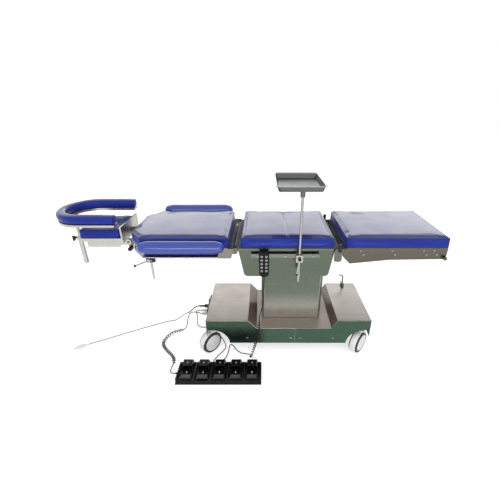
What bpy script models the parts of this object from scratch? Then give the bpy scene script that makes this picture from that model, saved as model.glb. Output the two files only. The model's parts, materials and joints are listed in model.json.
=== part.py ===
"""An electric operating table on four twin-wheel casters.

The table has a head, back, seat and leg section, a horseshoe wrist rest, two bolsters, an
instrument tray on a side-rail pole, a handset and a five-pedal foot switch.

Lengths are metres. +X runs to the foot end, +Y away from the front side and +Z up. Pieces are
worked out from the column's axis on the floor; the whole table then stands under one empty, which
shifts it so that the origin is under the middle of its box.
"""

import math

import bmesh
import bpy
from mathutils import Matrix, Vector

# Fits and roundness shared by the whole table
TOUCH = 0.0003  # gap between two faces that meet
PIN_FIT = 0.0003  # clearance round a pin in its bore
OVERRUN = 0.004  # how far a cutter runs past what it cuts
BITE = 0.001  # how far a joined piece reaches into its neighbour
ROUND_SIDES = 16
SMALL_SIDES = 12
SCREW_SIDES = 6
ARC_STEPS = 2
SMOOTH_ANGLE = math.radians(35)
CORNER_SHARE = 0.45  # most of an edge that one rounded corner takes
STEEP_SHARE = 0.9
HALF_SHARE = 0.5

# Base
SHEET = 0.002  # wall of the steel covers
BASE_HEAD_REACH = 0.573
BASE_FOOT_REACH = 0.524
BASE_HALF_WIDTH = 0.235
SKIRT_BOTTOM = 0.100
DECK_HEIGHT = 0.227
BOX_RISE = 0.061
HEAD_BOX_LENGTH = 0.282
FOOT_BOX_LENGTH = 0.225
HEAD_SLOPE_RUN = 0.055
FOOT_SLOPE_RUN = 0.034
COVER_SPLIT = 0.022
COVER_EDGE = 0.004
END_PANEL_BOTTOM = 0.160
ARCH_RUN = 0.149
ARCH_HEIGHT = 0.119
ARCH_STEPS = 7
ARCH_END_MARGIN = 0.005
SKIRT_SCREW_HEIGHT = 0.144
SKIRT_SCREW_RADIUS = 0.0045
SKIRT_SCREW_HEAD = 0.0015
SPLIT_SCREW_OFFSET = 0.030
SLOPE_SCREW_OFFSET = 0.010

# Chassis
CHASSIS_DROP = 0.015  # from the cover's underside to the plate's top
CHASSIS_THICKNESS = 0.010
CHASSIS_END_MARGIN = 0.010
CHASSIS_END_NARROWING = 0.010
BEAM_WIDTH = 0.040
BEAM_DEPTH = 0.060
BEAM_OFFSET = 0.180
BEAM_HEAD_REACH = 0.360
BEAM_FOOT_REACH = 0.335
GUIDE_HALF_LENGTH = 0.060
GUIDE_HALF_WIDTH = 0.045
GUIDE_WALL = 0.008
GUIDE_LENGTH = 0.390

# Hydraulic unit under the chassis plate
UNIT_HEAD_END = 0.300
UNIT_LENGTH = 0.200
UNIT_HALF_WIDTH = 0.085
UNIT_DEPTH = 0.070
MOTOR_RADIUS = 0.032
MOTOR_LENGTH = 0.110

# Column
COLUMN_HALF_LENGTH = 0.2025
COLUMN_HALF_WIDTH = 0.122
COLUMN_CHAMFER = 0.018
COLUMN_FOOT_GAP = 0.0025
COLUMN_HEIGHT = 0.4348
COLUMN_NEST_GAP = 0.004
FIXED_COVER_LENGTH = 0.390
RAM_FOOT = 0.005
HEAD_PLATE_THICKNESS = 0.006
HEAD_PLATE_MARGIN = 0.015
YOKE_SPACING = 0.052
YOKE_THICKNESS = 0.010
YOKE_HALF_WIDTH = 0.022
YOKE_TOP_MARGIN = 0.020
YOKE_HOLE_MARGIN = 0.008

# Gimbal of the two tilts
PIVOT_RISE = 0.0732  # above the column's lid
CROSS_HALF_WIDTH = 0.050
CROSS_HALF_HEIGHT = 0.020
SIDE_PIN_RADIUS = 0.010
LONG_PIN_RADIUS = 0.012
PIN_END = 0.004
SEAT_LUG_THICKNESS = 0.012
SEAT_LUG_HALF_LENGTH = 0.025
SEAT_LUG_DROP = 0.023

# Seat section
SEAT_RISE = 0.068  # from the gimbal's axes to the seat plate's underside
SEAT_PLATE = 0.0155
SEAT_HEAD_REACH = 0.325
SEAT_FOOT_REACH = 0.225
SEAT_HALF_WIDTH = 0.250
SEAT_PLATE_OVERHANG = 0.024
SEAT_PLATE_INSET = 0.005
SEAT_CUSHION_HEIGHT = 0.070
FRAME_BAR = 0.020
FRAME_BAR_DEPTH = 0.038
FRAME_HEAD_INSET = 0.003
FRAME_FOOT_INSET = 0.027
FRAME_SIDE_INSET = 0.0385

# Hood under the seat
HOOD_HEIGHT = 0.190
HOOD_TAPER_HEAD = 0.030
HOOD_TAPER_FOOT = 0.0176
HOOD_TAPER_SIDE = 0.0351
HOOD_FOOT_SETBACK = 0.023
HOOD_HEAD_SETBACK = 0.012
HOOD_CORNER = 0.026
HOOD_END_HEIGHT = 0.083

# Side rails
RAIL_HEAD_REACH = 0.263
RAIL_LENGTH = 0.400
RAIL_DEPTH = 0.025
RAIL_THICKNESS = 0.010
RAIL_DROP = 0.013
RAIL_GAP = 0.007
STANDOFF_RADIUS = 0.006
STANDOFF_SHARES = (0.10, 0.50, 0.90)
RAIL_SCREW_RADIUS = 0.006
RAIL_SCREW_HEAD = 0.003

# Section hinges
HINGE_REACH = 0.0075
BACK_HINGE_RISE = 0.0005
LEG_HINGE_DROP = 0.003
KNUCKLE_RADIUS = 0.017
KNUCKLE_STEPS = 6
SEAT_KNUCKLE_RADIUS = 0.0117
HINGE_PIN_RADIUS = 0.0065
LUG_THICKNESS = 0.010
LEG_LUG_THICKNESS = 0.006
PIN_HEAD_RADIUS = 0.011
PIN_HEAD_THICKNESS = 0.0035
LUG_ROOT = 0.016
SEAT_LUG_ROOT = 0.006
HINGE_PLATE_THICKNESS = 0.004
HINGE_PLATE_HEAD = 0.034
HINGE_PLATE_FOOT = 0.012
HINGE_PLATE_DROP = 0.063
HINGE_PLATE_RISE = 0.017
HINGE_PLATE_CORNER = 0.012
STOP_BLOCK_RISE = 0.052
STOP_BLOCK_HEAD = 0.013
STOP_BLOCK_FOOT = 0.006

# Back section
BACK_GAP = 0.0245
BACK_LENGTH = 0.600
BACK_PAD_SETBACK = 0.009
BACK_PAD_OVERHANG = 0.012
BACK_CHAMFER_RUN = 0.083
BACK_CHAMFER_WIDTH = 0.095
SECTION_DEPTH = 0.067
SECTION_SIDE_INSET = 0.0055
SECTION_SHEET = 0.0025
SECTION_CUSHION_HEIGHT = 0.068
CUSHION_TOP_DROP = 0.0003
BACK_BOLT_SHARE = 0.48
BOLT_RADIUS = 0.006
BOLT_HEAD = 0.003

# Leg section
LEG_GAP = 0.0255
LEG_LENGTH = 0.603
LEG_PAD_SETBACK = 0.003
LEG_PAD_OVERHANG = 0.007
LEG_HEAD_DEPTH = 0.0615
LEG_KNEE_RUN = 0.040
LEG_KNEE_DEPTH = 0.1015
LEG_MID_RUN = 0.272
LEG_MID_DEPTH = 0.0765
LEG_FOOT_DEPTH = 0.0715
LEG_TOE = 0.014
LEG_BOLT_SHARES = (0.156, 0.463, 0.768, 0.869)
LEG_BOLT_UPPER_DROP = 0.016
LEG_BOLT_LOWER_DROP = 0.041
LEG_BOLT_SHIFT = 0.020
END_KNOB_RADIUS = 0.011
END_KNOB_LENGTH = 0.018
END_KNOB_INSET = 0.012
END_KNOB_RISE = 0.010

# Cushion form
PAD_EDGE = 0.008
PAD_CORNER = 0.012
PAD_CROWN = 0.003
PAD_DRAW = 0.0012
PAD_EDGE_POINTS = 3
PAD_CROWN_SHARES = (0.85, 0.55)

# Head section
HEAD_HINGE_GAP = 0.037
HEAD_HINGE_DROP = 0.0203  # below the section's top face
HEAD_LUG_THICKNESS = 0.008
BACK_LUG_THICKNESS = 0.014
HEAD_LUG_OFFSET = 0.106
HEAD_PIN_RADIUS = 0.008
HEAD_KNUCKLE_RADIUS = 0.018
HEAD_PLATE_GAP = 0.020
HEAD_PLATE_WALL = 0.010
HEAD_PLATE_TOP = 0.105
HEAD_HALF_WIDTH = 0.135
HEAD_CUSHION_LENGTH = 0.250
HEAD_CUSHION_HEIGHT = 0.062
HEAD_CUSHION_SETBACK = 0.003
HEAD_TRAY_RISE = 0.018
HEAD_TRAY_THICKNESS = 0.0155
HEAD_RAIL_LENGTH = 0.200
HEAD_RAIL_DEPTH = 0.055
HEAD_RAIL_WIDTH = 0.012
HEAD_RAIL_SETBACK = 0.060
HEAD_CROSS_BAR = 0.018
HEAD_KNOB_DROP = 0.042
HEAD_KNOB_SHIFT = 0.008
HEAD_KNOB_RADIUS = 0.013
HEAD_KNOB_LENGTH = 0.020
HEAD_KNOB_STEM = 0.005

# Wrist rest
WRIST_ROD_OFFSET = 0.363  # from the head hinge to the rod's axis
WRIST_ROD_RADIUS = 0.010
SLEEVE_RADIUS = 0.015
SLEEVE_LENGTH = 0.190
SLEEVE_TOP_DROP = 0.010
SLEEVE_FIT = 0.0005
COLLAR_RADIUS = 0.019
COLLAR_LENGTH = 0.020
ROD_LENGTH = 0.262
TONGUE_HALF_WIDTH = 0.020
TONGUE_DEPTH = 0.028
WRIST_PAD_WIDTH = 0.061
WRIST_PAD_HEIGHT = 0.057
WRIST_BOW_RADIUS = 0.1625
WRIST_ARM_LENGTH = 0.223
WRIST_BOW_AHEAD = 0.115  # from the rod's axis back to the bow's centre
WRIST_PLATE_WIDTH = 0.050
WRIST_PLATE_THICKNESS = 0.014
WRIST_PLATE_RISE = 0.125
WRIST_PLATE_SETBACK = 0.006
WRIST_TAB_HALF_WIDTH = 0.024
WRIST_TAB_END = 0.014
WRIST_BOW_STEPS = 14
WRIST_SECTION_ROUND = 0.018
WRIST_END_SHARE = 0.8
WING_STEM_RADIUS = 0.004
WING_STEM_LENGTH = 0.026
WING_RADIUS = 0.020
WING_WAIST_SHARE = 0.45
WING_THICKNESS = 0.012
WING_LOBES = 3
WING_STEPS = 18

# Bolsters
BOLSTER_LENGTH = 0.500
BOLSTER_RADIUS = 0.042
BOLSTER_END_ROUND = 0.034
BOLSTER_END_LENGTH = 0.055
BOLSTER_END_STEPS = 2
BOLSTER_FOOT_GAP = 0.027
BOLSTER_BEYOND = 0.0425
BOLSTER_BELOW_CUSHION = 0.0433
BOLSTER_REAR_LIFT = 0.030
BRACKET_LENGTH = 0.420
BRACKET_HALF_WIDTH = 0.036
BRACKET_THICKNESS = 0.005
CLAMP_OFFSET = 0.060
CLAMP_HALF_LENGTH = 0.020
CLAMP_THICKNESS = 0.040
CLAMP_TOP_DROP = 0.033
CLAMP_HEIGHT = 0.040
BOLSTER_PIN_RADIUS = 0.007
BOLSTER_PIN_LENGTH = 0.175
BOLSTER_PIN_TIP = 0.004
BOLSTER_PIN_TAPER = 0.045
LEVER_HUB_RADIUS = 0.010
LEVER_HUB_LENGTH = 0.010
LEVER_ROD_RADIUS = 0.004
LEVER_BALL_RADIUS = 0.008
LEVER_REACH = 0.085
LEVER_FALL = 0.036
LEVER_KNOB_REACH = 0.030
LEVER_KNOB_RADIUS = 0.011
LEVER_KNOB_CLEAR = 0.0015

# Tray
TRAY_LENGTH = 0.272
TRAY_WIDTH = 0.354
TRAY_DEPTH = 0.033
TRAY_SHEET = 0.0018
TRAY_CORNER = 0.030
TRAY_RIM = 0.008
TRAY_RIM_THICKNESS = 0.004
TRAY_WALL_SLOPE = 0.012
TRAY_OFFSET = 0.010
TRAY_FRONT_OVER_POLE = 0.033
POLE_RADIUS = 0.007
POLE_LENGTH = 0.541
POLE_BELOW_CLAMP = 0.131
POLE_FROM_RAIL = 0.016
POLE_POSITION = 0.017
POLE_CLAMP_HALF_LENGTH = 0.020
POLE_CLAMP_DEPTH = 0.030
POLE_CLAMP_HEIGHT = 0.046
POLE_CLAMP_LIP = 0.006
TRAY_HUB_RADIUS = 0.013
TRAY_HUB_HEIGHT = 0.030
TRAY_HUB_TOP = 0.005
TRAY_ARM_HALF_WIDTH = 0.011
TRAY_ARM_THICKNESS = 0.006
TRAY_ARM_LENGTH = 0.140
POLE_LEVER_RUN = 0.012
POLE_LEVER_FALL = 0.099

# Handset
HANDSET_WIDTH = 0.058
HANDSET_LENGTH = 0.160
HANDSET_THICKNESS = 0.026
HANDSET_ROUND = 0.007
HANDSET_POSITION = 0.187
HANDSET_ABOVE_RAIL = 0.022
HANDSET_FOOT_ROUND = 0.022
HOOK_THICKNESS = 0.0025
HOOK_HALF_WIDTH = 0.012
HOOK_DROP = 0.012
KEY_RADIUS = 0.0065
KEY_RISE = 0.0010
KEY_ROWS = 5
KEY_SIDES = 8
KEY_PITCH = 0.0245
KEY_COLUMN_OFFSET = 0.0135
KEY_TOP_MARGIN = 0.026
RELIEF_RADIUS = 0.005
RELIEF_LENGTH = 0.012

# Casters
CASTER_RADIUS = 0.075
CASTER_INSET = 0.034
CASTER_TRACK = 0.165
CASTER_TRAIL = 0.030
CASTER_TURN = math.radians(47)
TREAD_WIDTH = 0.018
TREAD_ROUND = 0.005
HUB_DISC_RADIUS = 0.066
HUB_DISC_RECESS = 0.0015
FORK_HALF_WIDTH = 0.012
FORK_RADIUS = 0.079
FORK_LOWER_EDGE = 0.028
FORK_STEPS = 10
AXLE_RADIUS = 0.008
WHEEL_GAP = 0.0006
SWIVEL_RADIUS = 0.026
SWIVEL_NECK_RADIUS = 0.016
SWIVEL_COLLAR_HEIGHT = 0.012

# Brake lever
BRAKE_INSET = 0.099
BRAKE_OFFSET = 0.205
BRAKE_EAR_THICKNESS = 0.006
BRAKE_EAR_HEIGHT = 0.024
BRAKE_EAR_HALF_LENGTH = 0.011
BRAKE_PIN_RADIUS = 0.004
BRAKE_PIN_RISE = 0.014
BRAKE_HUB_RADIUS = 0.010
BRAKE_HUB_LENGTH = 0.018
BRAKE_ROD_RADIUS = 0.005
BRAKE_ROD_RISE = 0.060
BRAKE_HOOK_RADIUS = 0.016

# Socket panel on the head end
PANEL_THICKNESS = 0.014
PANEL_FRONT_REACH = 0.110
PANEL_REAR_REACH = 0.090
PANEL_BOTTOM = 0.195
PANEL_HEIGHT = 0.080
SWITCH_OFFSET = 0.050
SWITCH_HEIGHT = 0.247
SWITCH_HALF_LENGTH = 0.010
SWITCH_HALF_WIDTH = 0.007
BEZEL_WALL = 0.004
BEZEL_DEPTH = 0.008
SWITCH_FIT = 0.0006
SWITCH_POCKET = 0.0085
SWITCH_TILT_RISE = 0.002
INLET_OFFSET = 0.000
INLET_HEIGHT = 0.238
INLET_RADIUS = 0.013
INLET_LENGTH = 0.030
BOOT_RADIUS = 0.007
BOOT_LENGTH = 0.040
LINK_OFFSET = -0.042
SOCKET_HEIGHT = 0.230
SOCKET_RADIUS = 0.0105
SOCKET_LENGTH = 0.034
PEDAL_SOCKET_OFFSET = -0.078

# Foot switch
FS_HEAD_END = 0.742
FS_FRONT = 0.497
FS_PITCH = 0.1045
FS_COUNT = 5
FS_END_WALL = 0.008
FS_DEPTH = 0.160
FS_SLAB = 0.012
FS_RIB = 0.010
FS_RIB_HEIGHT = 0.018
FS_HOOD_HEIGHT = 0.048
FS_HOOD_FOOT = 0.098
FS_HOOD_TOP = 0.060
FS_HOOD_FRONT = 0.100
FS_HOOD_REAR = 0.152
FS_HOOD_WALL = 0.005
FS_NOSE_RUN = 0.016
FS_NOSE_HEIGHT = 0.006
PEDAL_WIDTH = 0.072
PEDAL_REAR = 0.128
PEDAL_FRONT = 0.024
PEDAL_THICKNESS = 0.006
PEDAL_LIFT = 0.009
PEDAL_PIN_RADIUS = 0.003
PEDAL_PIN_BACK = 0.120
PEDAL_PIN_REACH = 0.0075
PEDAL_LIP = 0.004
FS_GLAND_RADIUS = 0.006
FS_GLAND_LENGTH = 0.012
FS_GLAND_HEIGHT = 0.018
FS_SIDE_GLAND_FRONT = 0.075
LINK_GLAND_X = -0.523
FLOOR_LEAD_GLAND_X = -0.466

# Cords
POWER_CORD = 0.0075
LINK_CORD = 0.006
HANDSET_CORD = 0.006
CURL_WIRE = 0.006
HANDSET_CURL_RADIUS = 0.0070
HANDSET_CURL_PITCH = 0.0175
FOOT_CURL_RADIUS = 0.0090
FOOT_CURL_PITCH = 0.0190
CURL_POINTS = 8
CORD_STEP_SHARE = 3.0
ROUTE_FINENESS = 12
STRAIGHT_SKIP = 8
FOOT_LEAD_LENGTH = 0.320
FOOT_TAIL_LENGTH = 0.110
CURL_END_LENGTH = 0.014
HANDSET_CURL_TOP = (-0.2165, -0.2800, 0.3400)
HANDSET_CURL_FOOT = (-0.2815, -0.2680, 0.0130)
STRAIGHT_END = 0.010
END_CLEAR_SHARE = 1.7
PLUG_LENGTH = 0.050
PLUG_HALF_WIDTH = 0.014
PLUG_HALF_HEIGHT = 0.011
PLUG_BOOT_LENGTH = 0.022
PLUG_PIN_RADIUS = 0.0024
PLUG_PIN_LENGTH = 0.019
PLUG_PIN_SPACING = 0.0095

# Heights that follow from the sizes above
BOX_TOP = DECK_HEIGHT + BOX_RISE
CHASSIS_TOP = DECK_HEIGHT - SHEET - CHASSIS_DROP
CHASSIS_BOTTOM = CHASSIS_TOP - CHASSIS_THICKNESS
COLUMN_BOTTOM = DECK_HEIGHT + COLUMN_FOOT_GAP
COLUMN_TOP = COLUMN_BOTTOM + COLUMN_HEIGHT - SHEET
PIVOT_HEIGHT = COLUMN_TOP + PIVOT_RISE
SEAT_UNDER = PIVOT_HEIGHT + SEAT_RISE
SEAT_TOP = SEAT_UNDER + SEAT_PLATE
RAIL_TOP = SEAT_UNDER - RAIL_DROP
HOOD_BOTTOM = SEAT_UNDER - TOUCH - HOOD_HEIGHT
CUSHION_TOP = SEAT_TOP + TOUCH + SEAT_CUSHION_HEIGHT
SECTION_TOP = CUSHION_TOP - SECTION_CUSHION_HEIGHT - TOUCH

# Places along the table
SEAT_HEAD_END = -(SEAT_HEAD_REACH + SEAT_PLATE_OVERHANG)
SEAT_FOOT_END = SEAT_FOOT_REACH + SEAT_PLATE_OVERHANG
PLATE_SIDE = SEAT_HALF_WIDTH - SEAT_PLATE_INSET
BACK_HINGE = (SEAT_HEAD_END - HINGE_REACH, 0.0, SEAT_UNDER + BACK_HINGE_RISE)
LEG_HINGE = (SEAT_FOOT_END + HINGE_REACH, 0.0, SEAT_UNDER - LEG_HINGE_DROP)
BACK_FOOT_END = BACK_HINGE[0] - BACK_GAP
BACK_HEAD_END = BACK_FOOT_END - BACK_LENGTH
SECTION_SIDE = SEAT_HALF_WIDTH - SECTION_SIDE_INSET
HEAD_HINGE = (
    BACK_HEAD_END - BACK_PAD_OVERHANG - HEAD_HINGE_GAP,
    0.0,
    SECTION_TOP - HEAD_HINGE_DROP,
)
LEG_HEAD_END = LEG_HINGE[0] + LEG_GAP
LEG_FOOT_END = LEG_HEAD_END + LEG_LENGTH
WRIST_ROD_X = HEAD_HINGE[0] - WRIST_ROD_OFFSET
BOLSTER_FOOT_END = BACK_FOOT_END - BOLSTER_FOOT_GAP
BOLSTER_HEAD_END = BOLSTER_FOOT_END - BOLSTER_LENGTH
CLAMP_X = BOLSTER_HEAD_END + CLAMP_OFFSET
BOLSTER_Y = SEAT_HALF_WIDTH + BOLSTER_BEYOND
RAIL_FACE = SEAT_HALF_WIDTH + RAIL_GAP - RAIL_THICKNESS / 2
RAIL_OUTER = RAIL_FACE + RAIL_THICKNESS
POLE_Y = -(RAIL_OUTER + POLE_FROM_RAIL)
POLE_CLAMP_TOP = RAIL_TOP + POLE_CLAMP_LIP + TOUCH


def clear_scene():
    """Remove what the file opened with."""
    for old in list(bpy.data.objects):
        bpy.data.objects.remove(old, do_unlink=True)


# Flat outlines


def inset_corners(corners, distance):
    """Move every edge of a convex outline, given anticlockwise, inwards by a distance."""
    moved = []
    count = len(corners)
    for index in range(count):
        before = Vector(corners[index - 1])
        here = Vector(corners[index])
        after = Vector(corners[(index + 1) % count])
        first = (here - before).normalized()
        second = (after - here).normalized()
        inward = Vector((-first.y, first.x)) + Vector((-second.y, second.x))
        inward.normalize()
        sine = inward.dot(Vector((-first.y, first.x)))
        moved.append(tuple(here + inward * (distance / sine)))
    return moved


def rounded_outline(corners, radius, steps=ARC_STEPS, edge_points=0):
    """Round each corner of an outline by an arc, and divide its long edges evenly."""
    count = len(corners)
    arcs = []
    for index in range(count):
        here = Vector(corners[index])
        back = Vector(corners[index - 1]) - here
        ahead = Vector(corners[(index + 1) % count]) - here
        half = back.angle(ahead) / 2
        reach = min(radius / math.tan(half), back.length * CORNER_SHARE, ahead.length * CORNER_SHARE)
        fitted = reach * math.tan(half)
        centre = here + (back.normalized() + ahead.normalized()).normalized() * (
            fitted / math.sin(half)
        )
        start = here + back.normalized() * reach - centre
        end = here + ahead.normalized() * reach - centre
        turn = start.angle_signed(end)
        arc = []
        for step in range(steps + 1):
            angle = -turn * step / steps
            spoke = Matrix.Rotation(angle, 2) @ start
            arc.append(tuple(centre + spoke))
        arcs.append(arc)
    outline = []
    for index in range(count):
        outline += arcs[index]
        tail = Vector(arcs[index][-1])
        head = Vector(arcs[(index + 1) % count][0])
        for step in range(edge_points):
            outline.append(tuple(tail.lerp(head, (step + 1) / (edge_points + 1))))
    return outline


def rectangle(low_x, high_x, low_y, high_y):
    """Corners of a rectangle, anticlockwise."""
    return [(low_x, low_y), (high_x, low_y), (high_x, high_y), (low_x, high_y)]


def chamfered(half_x, half_y, chamfer):
    """A rectangle about zero with its four corners cut off."""
    return [
        (half_x - chamfer, -half_y),
        (half_x, -half_y + chamfer),
        (half_x, half_y - chamfer),
        (half_x - chamfer, half_y),
        (-half_x + chamfer, half_y),
        (-half_x, half_y - chamfer),
        (-half_x, -half_y + chamfer),
        (-half_x + chamfer, -half_y),
    ]


# Solids, each a bmesh with its faces pointing out


def finished(shape):
    """Point the faces outwards."""
    bmesh.ops.recalc_face_normals(shape, faces=shape.faces[:])
    return shape


def axis_point(axis, first, second, along):
    """A point from two coordinates across an axis and one along it."""
    if axis == "X":
        return (along, first, second)
    if axis == "Y":
        return (first, along, second)
    return (first, second, along)


def lofted(rings):
    """Rings of equally many points, joined in turn and closed at both ends."""
    shape = bmesh.new()
    loops = [[shape.verts.new(point) for point in ring] for ring in rings]
    shape.faces.new(loops[0])
    shape.faces.new(reversed(loops[-1]))
    for first, second in zip(loops, loops[1:]):
        for index in range(len(first)):
            after = (index + 1) % len(first)
            shape.faces.new([first[index], first[after], second[after], second[index]])
    return finished(shape)


def prism(outline, axis, low, high):
    """An outline across an axis, carried from low to high along it."""
    rings = []
    for along in (low, high):
        rings.append([axis_point(axis, u, v, along) for u, v in outline])
    return lofted(rings)


def box(low, high):
    """A plain block between two corners."""
    return prism(rectangle(low[0], high[0], low[1], high[1]), "Z", low[2], high[2])


def rounded_box(low, high, radius, segments=2):
    """A block with every edge rounded."""
    shape = box(low, high)
    bmesh.ops.bevel(
        shape,
        geom=shape.edges[:],
        offset=radius,
        segments=segments,
        profile=0.5,
        affect="EDGES",
    )
    return finished(shape)


def turned(profile, axis, centre, sides=ROUND_SIDES, phase=0.5):
    """A closed profile of (radius, along) points turned about an axis through a centre."""
    shape = bmesh.new()
    rings = []
    for radius, along in profile:
        if radius == 0:
            spot = Vector(axis_point(axis, 0.0, 0.0, along)) + Vector(centre)
            rings.append([shape.verts.new(spot)] * sides)
            continue
        ring = []
        for side in range(sides):
            angle = math.tau * (side + phase) / sides
            across = (radius * math.cos(angle), radius * math.sin(angle))
            spot = Vector(axis_point(axis, *across, along)) + Vector(centre)
            ring.append(shape.verts.new(spot))
        rings.append(ring)
    for index in range(len(rings)):
        lower = rings[index]
        upper = rings[(index + 1) % len(rings)]
        for side in range(sides):
            after = (side + 1) % sides
            loop = [lower[side], lower[after], upper[after], upper[side]]
            corners = list(dict.fromkeys(loop))
            if len(corners) > 2:
                shape.faces.new(corners)
    return finished(shape)


def cylinder(axis, centre, radius, low, high, sides=ROUND_SIDES):
    """A round bar from low to high along an axis, measured from the centre."""
    profile = [(0, low), (radius, low), (radius, high), (0, high)]
    return turned(profile, axis, centre, sides)


def ball(centre, radius, sides=SMALL_SIDES, steps=4):
    """A faceted ball."""
    profile = []
    for step in range(steps + 1):
        angle = math.pi * step / steps
        across = 0 if step in (0, steps) else radius * math.sin(angle)
        profile.append((across, -radius * math.cos(angle)))
    return turned(profile, "Z", centre, sides)


def swept(path, section, up=(0, 0, 1), end_share=1.0):
    """A section of (sideways, upwards) points carried along a path that keeps one up side."""
    points = [Vector(point) for point in path]
    rings = []
    for index, point in enumerate(points):
        before = points[max(index - 1, 0)]
        after = points[min(index + 1, len(points) - 1)]
        ahead = (after - before).normalized()
        side = ahead.cross(Vector(up)).normalized()
        lift = side.cross(ahead)
        share = end_share if index in (0, len(points) - 1) else 1.0
        rings.append([point + (side * u + lift * v) * share for u, v in section])
    return lofted(rings)


def circle(radius, sides=SMALL_SIDES):
    """Points of a circle about zero."""
    turns = [math.tau * (side + 0.5) / sides for side in range(sides)]
    return [(radius * math.cos(turn), radius * math.sin(turn)) for turn in turns]


def bar(start, end, radius, sides=SMALL_SIDES):
    """A round bar between two points."""
    ahead = (Vector(end) - Vector(start)).normalized()
    up = (0, 1, 0) if abs(ahead.y) < STEEP_SHARE else (0, 0, 1)
    return swept([start, end], circle(radius, sides), up)


def cushion(corners, bottom, top):
    """An upholstered pad: rounded edges, sides drawn in at mid height and a crowned top."""
    shoulder = top - PAD_CROWN
    levels = [(PAD_EDGE / 2, bottom), (0.0, bottom + PAD_EDGE / 2)]
    levels.append((PAD_DRAW, (bottom + shoulder) / 2))
    for step in range(ARC_STEPS + 1):
        angle = math.pi / 2 * step / ARC_STEPS
        inset = PAD_EDGE * (1 - math.cos(angle))
        levels.append((inset, shoulder - PAD_EDGE * (1 - math.sin(angle))))
    rings = []
    for inset, height in levels:
        outline = rounded_outline(
            inset_corners(corners, inset),
            max(PAD_CORNER - inset, PAD_EDGE / 2),
            edge_points=PAD_EDGE_POINTS,
        )
        rings.append([(x, y, height) for x, y in outline])
    middle = Vector(
        [sum(point[axis] for point in rings[-1]) / len(rings[-1]) for axis in range(3)]
    )
    for share in PAD_CROWN_SHARES:
        rise = PAD_CROWN * (1 - share * share)
        edge = rings[len(levels) - 1]
        ring = []
        for point in edge:
            spot = middle.lerp(Vector(point), share)
            ring.append((spot.x, spot.y, shoulder + rise))
        rings.append(ring)
    shape = bmesh.new()
    loops = [[shape.verts.new(point) for point in ring] for ring in rings]
    shape.faces.new(loops[0])
    for lower, upper in zip(loops, loops[1:]):
        for index in range(len(lower)):
            after = (index + 1) % len(lower)
            shape.faces.new([lower[index], lower[after], upper[after], upper[index]])
    crest = shape.verts.new((middle.x, middle.y, top))
    last = loops[-1]
    for index in range(len(last)):
        shape.faces.new([last[index], last[(index + 1) % len(last)], crest])
    return finished(shape)


# Objects


def material(name, colour, roughness, metallic=0.0):
    """A plain finish."""
    finish = bpy.data.materials.new(name)
    finish.use_nodes = True
    shader = finish.node_tree.nodes["Principled BSDF"]
    shader.inputs["Base Color"].default_value = (*colour, 1.0)
    shader.inputs["Roughness"].default_value = roughness
    shader.inputs["Metallic"].default_value = metallic
    return finish


def mesh_of(shape, name):
    """The mesh of a bmesh, which is freed."""
    mesh = bpy.data.meshes.new(name)
    shape.to_mesh(mesh)
    shape.free()
    return mesh


def pivot(name, spot, parent):
    """An empty on a joint's axis, carried by the one before it."""
    empty = bpy.data.objects.new(name, None)
    bpy.context.scene.collection.objects.link(empty)
    empty.empty_display_size = KNUCKLE_RADIUS
    hang(empty, parent)
    empty.location = spot
    empty["spot"] = spot
    return empty


def hang(thing, parent):
    """Parent a thing so that its own coordinates stay those of the table."""
    if parent is None:
        return
    thing.parent = parent
    thing.matrix_parent_inverse = Matrix.Translation(-Vector(parent["spot"]))


def extend(thing, joined=(), cut=()):
    """Join solids to a thing, then cut solids out of it."""
    tools = []
    bpy.context.view_layer.update()
    for shapes, operation in ((joined, "UNION"), (cut, "DIFFERENCE")):
        for shape in shapes:
            tool = bpy.data.objects.new("tool", mesh_of(shape, "tool"))
            bpy.context.scene.collection.objects.link(tool)
            tool.matrix_world = thing.matrix_world.copy()
            step = thing.modifiers.new("step", "BOOLEAN")
            step.operation = operation
            step.object = tool
            tools.append(tool)
    if not tools:
        return thing
    finish = thing.data.materials[0]
    bpy.context.view_layer.update()
    depsgraph = bpy.context.evaluated_depsgraph_get()
    made = bpy.data.meshes.new_from_object(thing.evaluated_get(depsgraph))
    thing.modifiers.clear()
    thing.data = made
    made.name = thing.name
    for tool in tools:
        bpy.data.objects.remove(tool, do_unlink=True)
    made.materials.clear()
    made.materials.append(finish)
    made.shade_smooth()
    made.set_sharp_from_angle(angle=SMOOTH_ANGLE)
    return thing


def piece(name, body, finish, parent, joined=(), cut=()):
    """One named piece: a body, the solids joined to it, then the solids cut out of it."""
    mesh = mesh_of(body, name)
    mesh.materials.append(finish)
    mesh.shade_smooth()
    mesh.set_sharp_from_angle(angle=SMOOTH_ANGLE)
    thing = bpy.data.objects.new(name, mesh)
    bpy.context.scene.collection.objects.link(thing)
    hang(thing, parent)
    return extend(thing, joined, cut)


# Shapes that several pieces share


def across(side, inner, outer):
    """Low and high y of something between two distances from the middle, on one side."""
    return sorted((side * inner, side * outer))


def side_box(side, xs, distances, zs):
    """A block on one side of the table."""
    low_y, high_y = across(side, *distances)
    return box((xs[0], low_y, zs[0]), (xs[1], high_y, zs[1]))


def side_pin(spot, radius, side, inner, outer, sides=SMALL_SIDES):
    """A round bar along Y on one side of the table."""
    low, high = across(side, inner, outer)
    return cylinder("Y", (spot[0], 0.0, spot[2]), radius, low, high, sides)


def lug(spot, root_x, radius, side, inner, outer):
    """A hinge lug: a round end about its axis, and a straight root."""
    away = -1.0 if root_x > spot[0] else 1.0
    outline = [(root_x, spot[2] - radius)]
    for step in range(KNUCKLE_STEPS + 1):
        angle = math.pi * (step / KNUCKLE_STEPS - HALF_SHARE)
        outline.append((spot[0] + away * radius * math.cos(angle), spot[2] + radius * math.sin(angle)))
    outline.append((root_x, spot[2] + radius))
    low, high = across(side, inner, outer)
    return prism(outline, "Y", low, high)


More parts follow.
